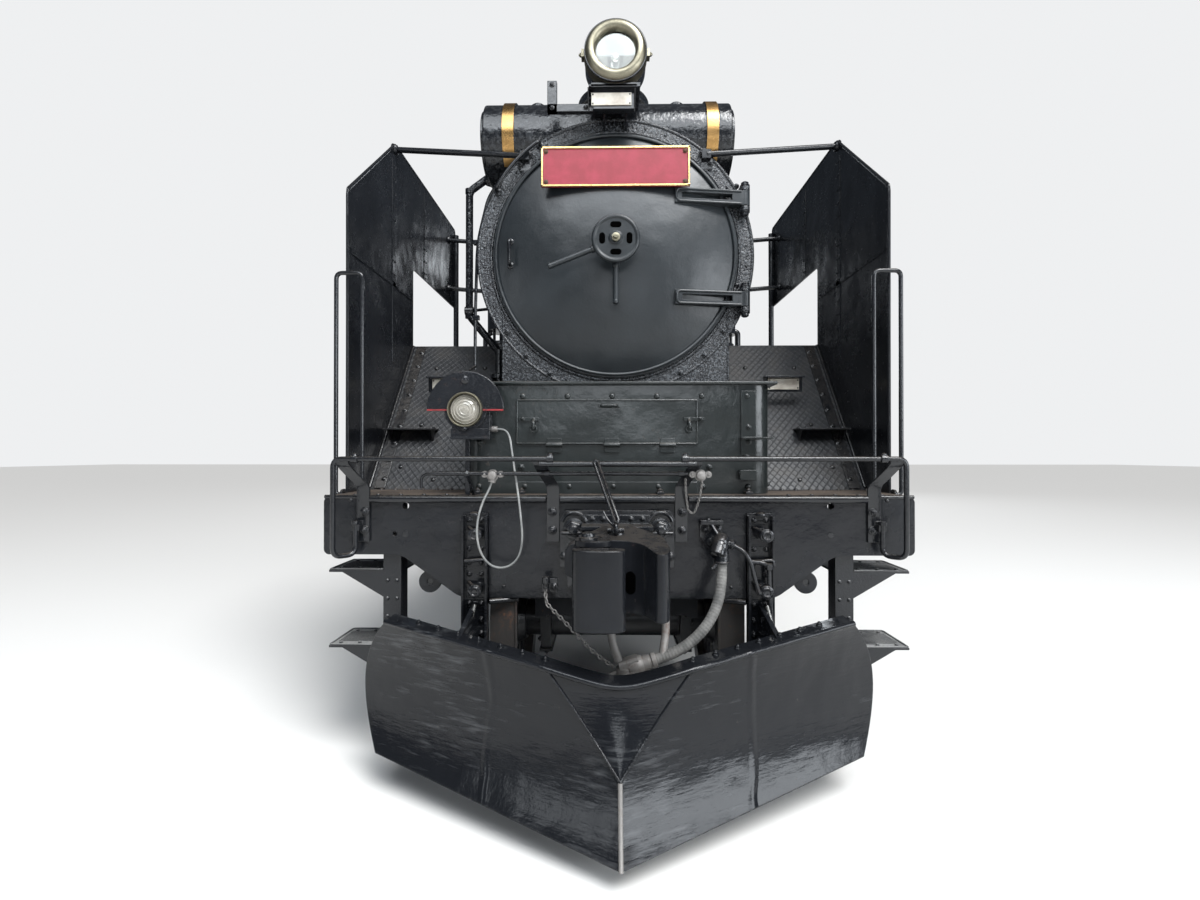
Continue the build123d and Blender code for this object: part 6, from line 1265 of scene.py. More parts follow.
for i in range(foot_row + 1):
    rise = max(1 - i / foot_row, 0.004)
    edge = prow_line[i].lerp(tip_line[i], PROW_HALF * rise / BLADE_REACH)
    ridge = prow_line[i] + Vector((PROW_LEAN * rise ** 1.1, -PROW_DIP * rise ** 2))
    row = []
    for k in range(PROW_COLUMNS + 1):
        across = 2 * k / PROW_COLUMNS - 1
        y, z = ridge.lerp(edge, (math.hypot(across, RIDGE) - RIDGE) / (math.hypot(1, RIDGE) - RIDGE))
        row.append(Vector((PROW_HALF * rise * across, y, z)))
    plate_rows.append(row)
blades.sheet(plate_rows, (0, 20, 0))
top_line = [*top_edges[-1][:0:-1], *plate_rows[0], *top_edges[1][1:]]
blades.sheet([[point + Vector((0, back, 2)) for point in top_line] for back in (8, 104)], (0, 0, -12))
POST_ARM = ((0, 700), (0, 300), (-250, 300), (-250, 580), (-318, 600), (-318, 628))
for side in SIDES:
    x = side * 622
    blades.block((x - 56, x + 56), (-12, 0), (330, 1088))
    for edge in (x - 56, x + 46):
        blades.block((edge, edge + 10), (-44, 0), (330, 1076))
    for z in (998, 758):
        blades.rod((x + 12, -84, z), (x + 12, -6, z), 23, 20)
    blades.plate(POST_ARM, 20, (x - 10, 0, 0), Y, Z)
blades.done("plough_blades", plough_black, replaces=("snowplough",), sharp=32)
blade_edges = Parts()
blade_edges.tube([point - Y * 2 for point in top_line], 11, sides=12)
for side in SIDES:
    blade_edges.tube(seams[side], 5, sides=8)
    for i in range(7):
        share = (270 + 90 * i) / BLADE_REACH
        blade_edges.bolt((side * BLADE_REACH * share, -520 + 440 * share, 558 + 134 * share), Z, 11)
blade_edges.done("plough_edges", plough_black)
nose = Parts()
nose.tube([Vector((0, y - 3, z)) for y, z in prow_line[foot_row:]], 8)
nose.done("plough_nose_edge", cast_grey)
guards = Parts()
for side in SIDES:
    guards.block((side * 446, side * 576), (26, 44), (700, 716))
    guards.block((side * 470, side * 560), (22, 36), (716, 744))
    for x in (486, 544):
        guards.bolt((side * x, 30, 716), -Z, 11)
    guards.block((side * 452, side * 566), (30, 40), (90, 700))
    guards.tube(((side * 452, 32, 700), (side * 452, 32, 90)), 6)
guards.done("rail_guard_facings", guard_iron, slot="dark_iron")

# Steps and beam: tread edges, bars and bolts, and the rivets along the top of the beam
treads = Parts()
for side in SIDES:
    for z in (827, 490):
        edge = ((1048, 268), (1287, 266), (1290, 34), (1048, 30))
        treads.tube([(side * x, y, z) for x, y in edge], 5, 16)
        for x, y in ((1080, 60), (1080, 230), (1250, 60), (1250, 230), (1165, 60), (1165, 230)):
            treads.bolt((side * x, y, z), Z, 8, stud=False)
        for i in range(9):
            treads.block((side * 1070, side * 1270), (84 + i * 16, 88 + i * 16), (z, z + 3))
    for z, x in product((1090, 1030, 960, 780, 700, 620, 440, 380), (984, 1026)):
        treads.rivet((side * x, 28, z), -Y, 9)
treads.done("step_treads", step_grey)
beam = Parts()
for side in SIDES:
    for x in (700, 860, 1060, 1180, 1262):
        beam.rivet((side * x, 0, 1142), -Y, 9)
    beam.turned((side * 835, 28, 777), -Y, ((-20, 20), (-2, 24)), 20)
    for x, z in ((500, 1140), (500, 760), (420, 1140)):
        beam.rivet((side * x, 0, z), -Y, 9)
    beam.turned((side * 935, 0, 992), -Y, ((-1, 15), (0.8, 14), (1, 9)), 18)
beam.tube(((-1296, 3, 1156), (1296, 3, 1156)), 9)
beam.done("beam_edge", gloss_black)

# Cylinders: cladding bands, cover nuts, drain cocks and pipes
CYLINDERS_Y = (1180, 2180)
VALVE_X, VALVE_H = 862, 1235
covers = Parts()
for side in SIDES:
    for y, out in ((CYLINDERS_Y[0] - 30, -1), (CYLINDERS_Y[1] + 30, 1)):
        for x, z, radius, count in ((MAIN_ROD_X, DRIVER_H, 262, 18), (VALVE_X, VALVE_H, 142, 12)):
            for place, away in circle_points((side * x, y, z), radius, count, start=10):
                covers.bolt(place, Y * out, 17)
    covers.turned((side * MAIN_ROD_X, 1130, DRIVER_H), -Y, ((0, 168), (10, 160), (18, 120), (20, 0)), 40)
    covers.turned((side * VALVE_X, 1150, VALVE_H), -Y, ((0, 110), (46, 100), (56, 60), (58, 0)), 32)
    covers.turned((side * VALVE_X, 1100, VALVE_H), -Y, ((0, 34), (14, 30), (16, 0)), 20)
    for y in (1215, 1680, 2145):
        middle = (side * MAIN_ROD_X, y, DRIVER_H)
        start = -118 if side > 0 else 118
        covers.tube(ring_of(middle, 326, 34, start=start, sweep=side * 178), 7, sides=6)
        start = 0 if side > 0 else 180
        arc = ring_of((side * VALVE_X, y, VALVE_H), 204, 22, start=start, sweep=side * 150)
        covers.tube(arc, 7, sides=6)
        for angle in range(-80, 49, 16):
            out = outward(angle, side)
            covers.rivet(Vector(middle) + out * 323, out, 9)
    for y in (1190, 1680, 2170):
        covers.turned((side * MAIN_ROD_X, y, 446), -Z, ((-10, 22), (30, 22), (34, 14), (86, 14)), 14)
        covers.rod((side * (MAIN_ROD_X - 40), y, 400), (side * (MAIN_ROD_X + 60), y, 400), 9)
        drain = ((y, 372), (y - 90, 330), (y - 230, 320))
        covers.tube([(side * MAIN_ROD_X, *place) for place in drain], 12, 40)
    covers.rod((side * (MAIN_ROD_X + 62), 1150, 400), (side * (MAIN_ROD_X + 62), 3200, 470), 9)
    profile = ((0, 44), (30, 44), (36, 30), (80, 26), (84, 0))
    covers.turned((side * (MAIN_ROD_X - 60), 1125, 560), -Y, profile, 18)
covers.done("cylinder_fittings", frame_black)
pipes = Parts()
for side in SIDES:
    for dx, rise in ((0, 0), (26, 10), (52, 20)):
        y = 1500 + rise * 6
        run = ((y, 1440), (y, 1980 - rise), (2500, 2000 - rise), (8300, 2000 - rise))
        pipes.tube([(side * (1010 + dx), *place) for place in run], 8, 60)
    steam = ((640, 1900, 2300), (800, 1760, 2080), (900, 1690, 1430))
    pipes.tube([(side * x, y, z) for x, y, z in steam], 46, 120, sides=16)
    for y in (3000, 4300, 5700, 7100):
        pipes.block((side * 1000, side * 1076), (y, y + 26), (1968, 2024))
pipes.done("oil_and_steam_pipes", frame_black)

# Wheels: tyre joints, axle ends and crank pin caps
TYRE_X, HUB_X = 621, 640  # the outer faces of the tyres and of the drivers' hubs
for number, axle in enumerate(DRIVERS, 1):
    wheels = Parts()
    for side in SIDES:
        for radius in (700, 640):
            wheels.hoop((side * TYRE_X, axle, DRIVER_H), radius, 5, 72, u=Y, v=Z)
        profile = ((-4, 96), (5, 96), (6, 84), (3, 80), (3, 34), (9, 30), (9, 0))
        wheels.turned((side * HUB_X, axle, DRIVER_H), X * side, profile, 32)
        for place, out in circle_points((side * HUB_X, axle, DRIVER_H), 140, 8, start=20, u=Y, v=Z):
            wheels.turned(place, X * side, ((-2, 14), (4, 13), (5, 9)), 12)
        for place, out in circle_points((side * 620, axle, DRIVER_H), 668, 12, start=12, u=Y, v=Z):
            wheels.rivet(place, X * side, 12)
        pin = crank_pin(axle, side)
        if number != 2:
            wheels.turned(pin + X * side * 741, X * side, ((-6, 72), (14, 72), (20, 62), (22, 0)), 28)
            wheels.bolt(pin + X * side * 762, X * side, 22)
        for shift in (-0.42, 0.42):
            a = math.radians(CRANKS[side]) + shift
            wheels.rivet((side * 601, axle - 470 * math.cos(a), DRIVER_H - 470 * math.sin(a)), X * side, 20)
    wheels.done(f"driving_wheel_ends_{number}", frame_black, f"driving_wheelset_{number}", slot="dark_iron")
for axle, body in ((LEADING, "leading_wheelset"), (TRAILING, "trailing_wheelset")):
    wheels = Parts()
    for side in SIDES:
        for radius in (372, 338):
            wheels.hoop((side * TYRE_X, axle, CARRIER_H), radius, 5, 60, u=Y, v=Z)
        if axle == LEADING:
            profile = ((-4, 92), (4, 92), (6, 80), (2, 76), (2, 20), (7, 16))
            wheels.turned((side * 624, axle, CARRIER_H), X * side, profile, 28)
        for place, out in circle_points((side * 622, axle, CARRIER_H), 354, 10, u=Y, v=Z):
            wheels.rivet(place, X * side, 10)
    wheels.done(f"{body}_ends", frame_black, body, slot="dark_iron")

# Rods: bushes, oil cups and cotters
for side, body in ((1, "coupling_rod_left"), (-1, "coupling_rod_right")):
    cups = Parts()
    for axle in DRIVERS:
        pin = crank_pin(axle, side)
        cups.hoop(pin + X * side * 741, 92, 6, 40, u=Y, v=Z)
        profile = ((0, 30), (34, 28), (36, 16), (52, 14), (54, 0))
        cups.turned(pin + Vector((side * ROD_X, 0, 106)), Z, profile, 16)
        for place, out in circle_points(pin + X * side * 740, 102, 6, start=30, u=Y, v=Z):
            cups.rivet(place, X * side, 8)
    for axle in DRIVERS[:2]:
        middle = crank_pin(axle, side) + Vector((side * ROD_X, 1160, 0))
        cups.turned(middle - X * 44, X, ((0, 30), (88, 30)), 20)
        cups.bolt(middle + X * side * 40, X * side, 20)
    cups.done(f"{body}_bushes", worn_steel, body, slot="bright_steel")
motion = Parts()
for side in SIDES:
    pin = crank_pin(DRIVERS[1], side)
    head_y = pin.y - math.sqrt(MAIN_ROD**2 - (pin.z - DRIVER_H) ** 2)
    crosshead = Vector((0, head_y, DRIVER_H))
    motion.hoop(pin + X * side * 937, 100, 6, 40, u=Y, v=Z)
    profile = ((0, 34), (40, 32), (42, 18), (60, 16), (62, 0))
    motion.turned(pin + Vector((side * MAIN_ROD_X, 0, 130)), Z, profile, 18)
    cup = crosshead + Vector((side * MAIN_ROD_X, 0, 80))
    motion.turned(cup, Z, ((0, 24), (30, 22), (32, 12), (44, 0)), 16)
    motion.bolt(crosshead + X * side * 964, X * side, 26)
    for dy, dz in product((-120, 120), (-140, 140)):
        motion.bolt((side * 956, head_y + dy, DRIVER_H + dz), X * side, 14)
    for z, y in product((DRIVER_H + 235, DRIVER_H - 235), (2270, 3300)):
        for dx in (-28, 28):
            motion.bolt((side * MAIN_ROD_X + dx, y, z), Z if z > DRIVER_H else -Z, 15)
    for y in (2600, 2900):
        motion.turned((side * MAIN_ROD_X, y, 995), Z, ((0, 26), (22, 24), (26, 10), (34, 0)), 14)
    joints = ((3660, 820), (3640, 1440), (3640, 1100), (2400, 1245), (head_y, 560), (head_y - 40, 540))
    for y, z in joints:
        motion.turned((side * 990, y, z), X * side, ((0, 34), (10, 34), (14, 24), (22, 24), (24, 0)), 20)
motion.done("motion_fittings", worn_steel, slot="bright_steel")
reversing = Parts()
for side in SIDES:
    reversing.rod((side * 1055, 3640, 1900), (side * 1055, 3640, 1960), 20)
    if side < 0:
        reversing.tube(((-1120, 3740, 1830), (-1120, 5200, 1900), (-1120, 8460, 2120)), 20, 60)
    reversing.rod((side * 640, 3860, 1900), (side * 1140, 3860, 1900), 38)
    reversing.block((side * 1088, side * 1112), (3700, 3880), (1815, 1925))
    reversing.block((side * 600, side * 660), (3810, 3910), (1850, 2024))
reversing.done("reversing_gear", frame_black, slot="dark_iron")

# Frames, springs, brakes and trucks
FRAME_FACE, SPRING_X = 471, 425
gear = Parts()
for side in SIDES:
    for axle in DRIVERS:
        for half, z in ((455, 1140), (375, 1154), (295, 1168), (215, 1182), (135, 1196)):
            for end in SIDES:
                y = axle + end * half
                gear.block((side * (SPRING_X - 32), side * (SPRING_X + 32)), (y, y - end * 30), (z, z + 15))
        gear.block((side * 380, side * 472), (axle - 42, axle + 42), (1128, 1226))
        for dy in (-56, 56):
            gear.bolt((side * SPRING_X, axle + dy, 1216), Z, 17)
        for end in SIDES:
            gear.bolt((side * SPRING_X, axle + end * 420, 1158), Z, 20)
            hanger = Vector((side * SPRING_X, axle + end * 420, 1080))
            gear.rod(hanger, hanger + Z * 120, 15)
        for z in (560, 545):
            gear.block((side * 376, side * 476), (axle - 190, axle + 190), (z - 14, z))
        for dy in (-165, 165):
            for z in (620, 700, 780, 860):
                gear.bolt((side * (FRAME_FACE + 1), axle + dy, z), X * side, 14)
            gear.bolt((side * SPRING_X, axle + dy, 530), -Z, 18)
    for y in (1450, 1600, 2330, 2560, 2700, 3480, 4000, 5300, 5900, 7150, 7480):
        for z in (740, 830, 920, 1010):
            gear.rivet((side * FRAME_FACE, y, z), X * side, 13)
    for y, z in product(range(8300, 10300, 160), (1150, 1000)):
        gear.rivet((side * FRAME_FACE, y, z), X * side, 12)
gear.done("frame_fittings", frame_black, slot="dark_iron")
brakes = Parts()
for axle in DRIVERS:
    y = axle + 850
    for side in SIDES:
        for z in (1050, 720, 645):
            brakes.turned((side * 602, y - 8, z), X * side, ((-14, 26), (6, 26), (8, 18), (14, 18)), 18)
            brakes.bolt((side * 614, y - 8, z), X * side, 15)
        brakes.rod((side * 572, y - 8, 640), (side * 572, y - 8, 612), 20)
    brakes.rod((0, y - (700 if axle == DRIVERS[0] else 1600), 640), (0, y, 640), 18)
    brakes.turned((-30, y, 645), X, ((0, 44), (60, 44)), 20)
brakes.tube(((0, 7540, 640), (0, 8000, 760)), 18)
brakes.block((-300, 300), (7980, 8030), (740, 790))
brakes.done("brake_rods", frame_black, slot="dark_iron")
TRUCKS = (  # body, axle, how far out its frame is, and where that starts and ends
    ("front_truck", LEADING, 400, (300, 1060)),
    ("rear_truck", TRAILING, 720, (8670, 9890)),
)
for body, axle, x, (low, high) in TRUCKS:
    truck = Parts()
    for side in SIDES:
        for dy, dz in product((-95, 95), (-90, 0, 90)):
            truck.bolt((side * x, axle + dy, CARRIER_H + dz), X * side, 15)
        for y in range(low + 60, high - 40, 130):
            truck.rivet((side * x, y, 640), X * side, 12)
        truck.block((side * (x - 62), side * (x + 8)), (axle - 140, axle + 140), (286, 300))
        for dy in (-110, 110):
            truck.bolt((side * (x - 28), axle + dy, 286), -Z, 15)
        if axle == TRAILING:
            profile = ((0, 120), (26, 116), (34, 96), (36, 0))
            truck.turned((side * x, axle, CARRIER_H), X * side, profile, 32)
            for place, out in circle_points((side * (x + 26), axle, CARRIER_H), 104, 6, u=Y, v=Z):
                truck.bolt(place, X * side, 12)
            for i, half in enumerate((330, 270, 210, 150, 90)):
                z = 662 + i * 13
                truck.block((side * (x - 46), side * (x - 6)), (axle - half, axle + half), (z, z + 12))
            truck.block((side * (x - 54), side * (x + 2)), (axle - 34, axle + 34), (655, 736))
    truck.done(f"{body}_fittings", frame_black, body, slot="dark_iron")

# Boiler: bands with their clips, plugs, the handrail's knobs, sand pipes, feed pipes and clack valves
boiler = Parts()
FIREBOX_Y = 7150  # where the barrel ends
HANDRAIL, HANDRAIL_RADIUS = 24, 880  # its angle round the boiler, and how far out it runs
for y in (2560, 3180, 5520, 6340, 7100, 7170, 7900, 8400):
    radius = (FIREBOX_RADIUS if y > FIREBOX_Y else BARREL_RADIUS) + 5
    for side in SIDES:
        start = -40 if side > 0 else 90
        boiler.tube(ring_of((0, y, BOILER_H), radius, 40, start=start, sweep=130), 4, sides=6)
        boiler.tube(ring_of((0, y + 26, BOILER_H), radius, 40, start=start, sweep=130), 3, sides=6)
        boiler.bolt(on_drum(-24, side, radius, y), outward(-24, side), 12)
for side in SIDES:
    for y, angle in product((7350, 7750, 8150), (38, 18)):
        seat = on_drum(angle, side, FIREBOX_RADIUS + 2, y)
        boiler.turned(seat, outward(angle, side), ((-4, 58), (6, 56), (8, 40), (10, 40)), 24)
        boiler.turned(seat, outward(angle, side), ((8, 26), (30, 26), (32, 20)), 6)
    for y, z in product((7300, 7560, 7820, 8080, 8340), (2050, 1850)):
        boiler.rivet((side * (FIREBOX_RADIUS + 1), y, z), X * side, 17)
    for y in (2900, 3900, 4900, 5900, 6800, 7800):
        knob = on_drum(HANDRAIL, side, HANDRAIL_RADIUS, y - 24)
        boiler.turned(knob, Y, ((0, 18), (8, 25), (24, 28), (40, 25), (48, 18)), 16)
        foot = (FIREBOX_RADIUS if y > FIREBOX_Y else BARREL_RADIUS) + 1
        seat = on_drum(HANDRAIL, side, foot, y)
        boiler.turned(seat, outward(HANDRAIL, side), ((-4, 34), (8, 30), (12, 20)), 18)
    for y in (2694, 8374):
        end = on_drum(HANDRAIL, side, HANDRAIL_RADIUS, y)
        boiler.turned(end, Y, ((0, 10), (4, 19), (12, 19), (16, 10)), 14)
boiler.done("boiler_cladding_fittings", boiler_black)
runs = Parts()
for side in SIDES:
    for y, foot_y in ((3720, 3860), (3840, 2160), (4980, 5700), (5080, 5790)):
        line = [(side * 372, y, 3320)]
        line += [on_drum(angle, side, 772, y) for angle in (52, 36, 18, 0, -16)]
        line += [(side * 742, y, 2080), (side * 700, (y + foot_y) / 2, 1700), (side * 600, foot_y, 1500)]
        runs.tube(line, 17, 70)
        runs.turned(line[0], X * side, ((-8, 34), (14, 32), (18, 22)), 16)
        for angle, dy in product((40, 2), (-26, 26)):
            seat = on_drum(angle, side, BARREL_RADIUS + 5, y + dy)
            runs.rod(seat, seat + outward(angle, side) * 30, 9)
    clack = on_drum(58, side, BARREL_RADIUS + 4, 2990)
    profile = ((-6, 74), (14, 72), (18, 50), (80, 46), (86, 60), (108, 58), (124, 30), (150, 26))
    runs.turned(clack, outward(58, side), profile, 24)
    line = [clack + Vector((side * 60, -20, -10))]
    line += [on_drum(angle, side, 785, 2890) for angle in (42, 26, 8, -10)]
    runs.tube((*line, (side * 800, 2880, 2060)), 30, 90, sides=14)
PIPE_RUNS = (  # radius, bend, sides and the points passed
    (34, 120, 14, ((-1015, 2860, 2890), (-1015, 2860, 3010), (-820, 2700, 3010), (-560, 2450, 3050),
                   (-430, 2200, 3110))),
    (22, 90, 10, ((-930, 2960, 2780), (-860, 3100, 2800), (-800, 3600, 2760), (-810, 7500, 2760),
                  (-800, 8200, 2860), (-340, 8210, 3400))),
    (22, 90, 10, ((1015, 2860, 2820), (1015, 2860, 2920), (840, 3050, 2920), (800, 3500, 2880),
                  (810, 7600, 2880), (700, 8120, 3100), (140, 8180, 3440))),
    (26, 40, 10, ((1120, 2860, 2500), (1190, 2860, 2500), (1190, 2860, 2080))),
    (24, 40, 10, ((-1150, 2860, 2500), (-1210, 2860, 2460), (-1210, 2860, 2060))),
)
for radius, bend, sides, line in PIPE_RUNS:
    runs.tube(line, radius, bend, sides)
runs.done("boiler_pipes", boiler_black)

# Pumps and air reservoirs
pumps = Parts()
PUMP_FLANGES = (  # side, radius of the ribs, height of the top, and each flange's height and radius
    (-1, 144, 860, ((15, 152), (345, 152), (470, 158), (820, 150))),
    (1, 124, 790, ((15, 138), (320, 124), (430, 138), (742, 128))),
)
for side, rib_radius, top, flanges in PUMP_FLANGES:
    foot = Vector((side * 1015, 2860, BOARD_H))
    for rise, radius in flanges:
        for place, out in circle_points(foot + Z * (rise + 8), radius, 12, u=X, v=Y):
            pumps.bolt(place, Z, 12)
    for i in range(7):
        pumps.hoop(foot + Z * (90 + i * 28), rib_radius, 7, 36, u=X, v=Y)
    for dx, dy in ((-110, 0), (110, 0), (0, 110)):
        pumps.rod(foot + Vector((dx, dy, 320)), foot + Vector((dx, dy, 480)), 14)
    pumps.block((side * 735, side * 900), (2790, 2930), (2500, 2560))
    pumps.turned(foot + Z * top, Z, ((0, 70), (30, 66), (40, 40), (70, 36), (74, 0)), 20)
pumps.done("pump_fittings", gloss_black)
TANK_X, TANK_H = 1080, 1821
tanks = Parts()
for side in SIDES:
    for y, out in ((4750, -1), (6550, 1)):
        end = Vector((side * TANK_X, y, TANK_H))
        tanks.turned(end, Y * out, ((0, 134), (14, 110), (22, 60), (24, 0)), 36)
        tanks.turned(end + Y * out * 22, Y * out, ((0, 30), (18, 30), (20, 20), (50, 18)), 14)
    for y in (5000, 6300):
        for dy in (-22, 22):
            tanks.hoop((side * TANK_X, y + dy, TANK_H), 194, 4, 48, u=X, v=Z)
        tanks.bolt((side * TANK_X, y, 2006), Z, 16)
    tanks.hoop((side * TANK_X, 5650, TANK_H), 186, 5, 48)
    outlet = ((TANK_X, 4722, TANK_H), (TANK_X, 4620, TANK_H), (1000, 4560, 1960), (1000, 4300, 1990))
    tanks.tube([(side * x, y, z) for x, y, z in outlet], 16, 60)
    tanks.turned((side * TANK_X, 5650, 1636), -Z, ((0, 30), (20, 30), (24, 18), (60, 16)), 14)
tanks.done("reservoir_fittings", frame_black)

# Dome casing, rows of smokebox rivets, running boards and firebox
DOME_HALF, DOME_TOP = 370, 3780
dome = Parts()
for side in SIDES:
    dome.tube(((side * (DOME_HALF + 5), 3560, 3100), (side * (DOME_HALF + 5), 5140, 3100)), 5)
    for y in (DOME_TOP, 4350, 4920):
        dome.tube(((side * (DOME_HALF + 4), y, 3060), (side * (DOME_HALF + 4), y, 3560)), 5)
        for z, dy in product(range(3130, 3560, 70), (-22, 22)):
            dome.rivet((side * (DOME_HALF + 1), y + dy, z), X * side, 8)
    for y in range(3560, 5141, 98):
        dome.rivet((side * (DOME_HALF + 1), y, 3076), X * side, 9)
    for y in (3640, 5060):
        handle = ((DOME_HALF + 2, -70), (410, -70), (410, 70), (DOME_HALF + 2, 70))
        dome.tube([(side * x, y + dy, 3420) for x, dy in handle], 9, 16)
for y in (3760, 4940):
    dome.turned((0, y, DOME_TOP), Z, ((-6, 190), (12, 190), (16, 176), (18, 60), (30, 54), (32, 0)), 44)
    dome.tube(((-70, y, 3796), (-70, y, 3830), (70, y, 3830), (70, y, 3796)), 8, 14)
    dome.block((-60, 60), (y + 180, y + 214), (3776, 3800))
dome.turned((0, 4350, DOME_TOP), Z, ((-6, 130), (8, 130), (12, 110), (14, 0)), 36)
dome.done("dome_fittings", boiler_black)
chimney = Parts()
CHIMNEY = (0, 1640)
for z, radius in ((3896, 250), (3842, 252), (3800, 222), (3426, 206)):
    chimney.hoop((*CHIMNEY, z), radius, 8, 64, u=X, v=Y, sides=8)
for place, out in circle_points((*CHIMNEY, BOILER_H + 30), 286, 18, u=X, v=Y):
    seat = place + Z * math.sqrt(SMOKEBOX_RADIUS**2 - place.x**2)
    chimney.rivet(seat, Vector((out.x * 0.5, out.y * 0.3, 1)), 12)
for y, angle in product((720, 1050, 1290, 1900, 2150, 2480), range(-20, 201, 10)):
    under_heater = y < 1300 and 55 < angle < 125
    under_chimney = y in (1290, 1900) and 70 < angle < 110
    if not under_heater and not under_chimney:
        chimney.rivet(on_drum(angle, 1, SMOKEBOX_RADIUS, y), outward(angle), 11)
chimney.done("smokebox_rivets", thick_black)
BOARD_EDGE, BOARDS_Y = 1290, (1110, 8418)
boards = Parts()
for side in SIDES:
    for z, radius in ((BOARD_H, 7), (BOARD_H - 50, 6)):
        boards.tube(((side * BOARD_EDGE, BOARDS_Y[0], z), (side * BOARD_EDGE, BOARDS_Y[1], z)), radius)
    for y in range(1200, 8400, 180):
        boards.rivet((side * BOARD_EDGE, y, 2010), X * side, 10)
        boards.rivet((side * 1262, y, BOARD_H), Z, 8)
    for y in (2300, 3500, 4700, 5900, 7100):
        boards.block((side * 770, side * 1288), (y, y + 8), (BOARD_H, 2037))
    for y in (1500, 2700, 3340, 5100, 6620, 7600):
        boards.block((side * 600, side * 1280), (y, y + 60), (2012, 2024))
        stay = ((1250, 2016), (620, 1700), (470, 1110))
        boards.tube([(side * x, y + 30, z) for x, z in stay], 13, 80)
    for y in (8120, 8380):
        boards.block((side * 1292, side * 1306), (y - 24, y + 24), (1150, 2030))
    for z in (1180, 1480, 1780):
        boards.block((side * 1200, side * 1310), (8096, 8404), (z, z + 12))
boards.done("running_board_edges", frame_black)
firebox = Parts()
for side in SIDES:
    for y in range(7640, 8640, 150):
        firebox.bolt((side * 640, y, 1290), X * side, 12)
        firebox.rivet((side * 745, y, 1370), X * side, 13)
    for y in (7800, 8300):
        firebox.block((side * 640, side * 652), (y - 130, y + 130), (1215, 1335))
        firebox.rod((side * 656, y - 110, 1338), (side * 656, y + 110, 1338), 10)
for x in (-110, 110):
    profile = ((-60, 62), (-40, 60), (-30, 50), (0, 48), (4, 30), (40, 26), (44, 0))
    firebox.turned((x, 7420, 3530), Z, profile, 24)
    firebox.rod((x, 7420, 3500), (x, 7640, 3470), 10)
for place, out in circle_points((0, 7420, 3280), 162, 12, u=X, v=Y):
    firebox.bolt(place, Z, 14)
firebox.turned((-334, 8180, 3440), -X, ((0, 118), (10, 112), (16, 50), (40, 46), (42, 0)), 36)
for x in (-300, -100, 90):
    firebox.hoop((x, 8180, 3440), 132, 5, 40, u=Y, v=Z)
firebox.turned((230, 7900, 3600), Z, ((-30, 50), (-26, 54), (4, 54), (8, 30), (24, 26), (26, 0)), 24)
firebox.tube(((230, 7880, 3290), (230, 8060, 3330), (200, 8400, 3330)), 12, 60)
firebox.done("firebox_fittings", boiler_black)

# Cab: rivet rows, window frames, gutters, handrails and steps


def rectangle(left, right, low, high):
    """The corners of a rectangle, back to the first."""
    return ((left, low), (right, low), (right, high), (left, high), (left, low))


WALL_X = 1400
cab = Parts()
for side in SIDES:
    wall = side * WALL_X
    for y, z in product(range(8470, 10330, 62), (1410, 2240, 3250)):
        if not (9700 < y < 10300 and z != 3250):
            cab.rivet((wall, y, z), X * side, 8)
    for y, z in product((8440, 9685, 10325), range(1460, 3240, 62)):
        cab.rivet((wall, y, z), X * side, 8)
    for front, rear in ((8600, 9100), (9150, 9650)):
        cab.tube([(wall, *corner) for corner in rectangle(front, rear, 2330, 2960)], 11, 46, sides=8)
        cab.block((side * 1398, side * 1432), (front - 20, rear + 20), (2300, 2316))
        cab.block((side * 1398, side * 1450), (front - 20, rear + 20), (2985, 2996))
    doorway = ((9712, 1484), (9712, 3190), (10288, 3190), (10288, 1484))
    cab.tube([(wall, *corner) for corner in doorway], 9, 20)
    cab.tube(((side * 1438, 8376, 3296), (side * 1438, 10394, 3296)), 9)
    for y in (9690, 10310):
        cab.tube(((wall, y, 1640), (side * 1446, y, 1640), (side * 1446, y, 2920), (wall, y, 2920)), 14, 34)
        for z in (1640, 2920):
            cab.turned((wall, y, z), X * side, ((-2, 28), (8, 26), (12, 18)), 16)
    for y in (9760, 10240):
        cab.block((side * 1378, side * 1396), (y - 22, y + 22), (560, 1470))
    for z in (600, 860, 1120):
        cab.block((side * 1180, side * 1398), (9738, 10262), (z, z + 12))
        cab.block((side * 1392, side * 1404), (9738, 10262), (z, z + 44))
    cab.block((side * 1240, side * 1398), (9738, 10262), (1392, 1450))
cab.done("cab_side_fittings", cab_black)
roof = Parts()
ROOF_HALF, ROOF_RISE, ROOF_TOP = 1430, 560, 3860
ROOF_R = (ROOF_HALF**2 + ROOF_RISE**2) / (2 * ROOF_RISE)


def roof_place(x, y):
    return Vector((x, y, ROOF_TOP - ROOF_R + math.sqrt(ROOF_R**2 - x**2)))


def roof_normal(x):
    return Vector((x, 0, math.sqrt(ROOF_R**2 - x**2))).normalized()


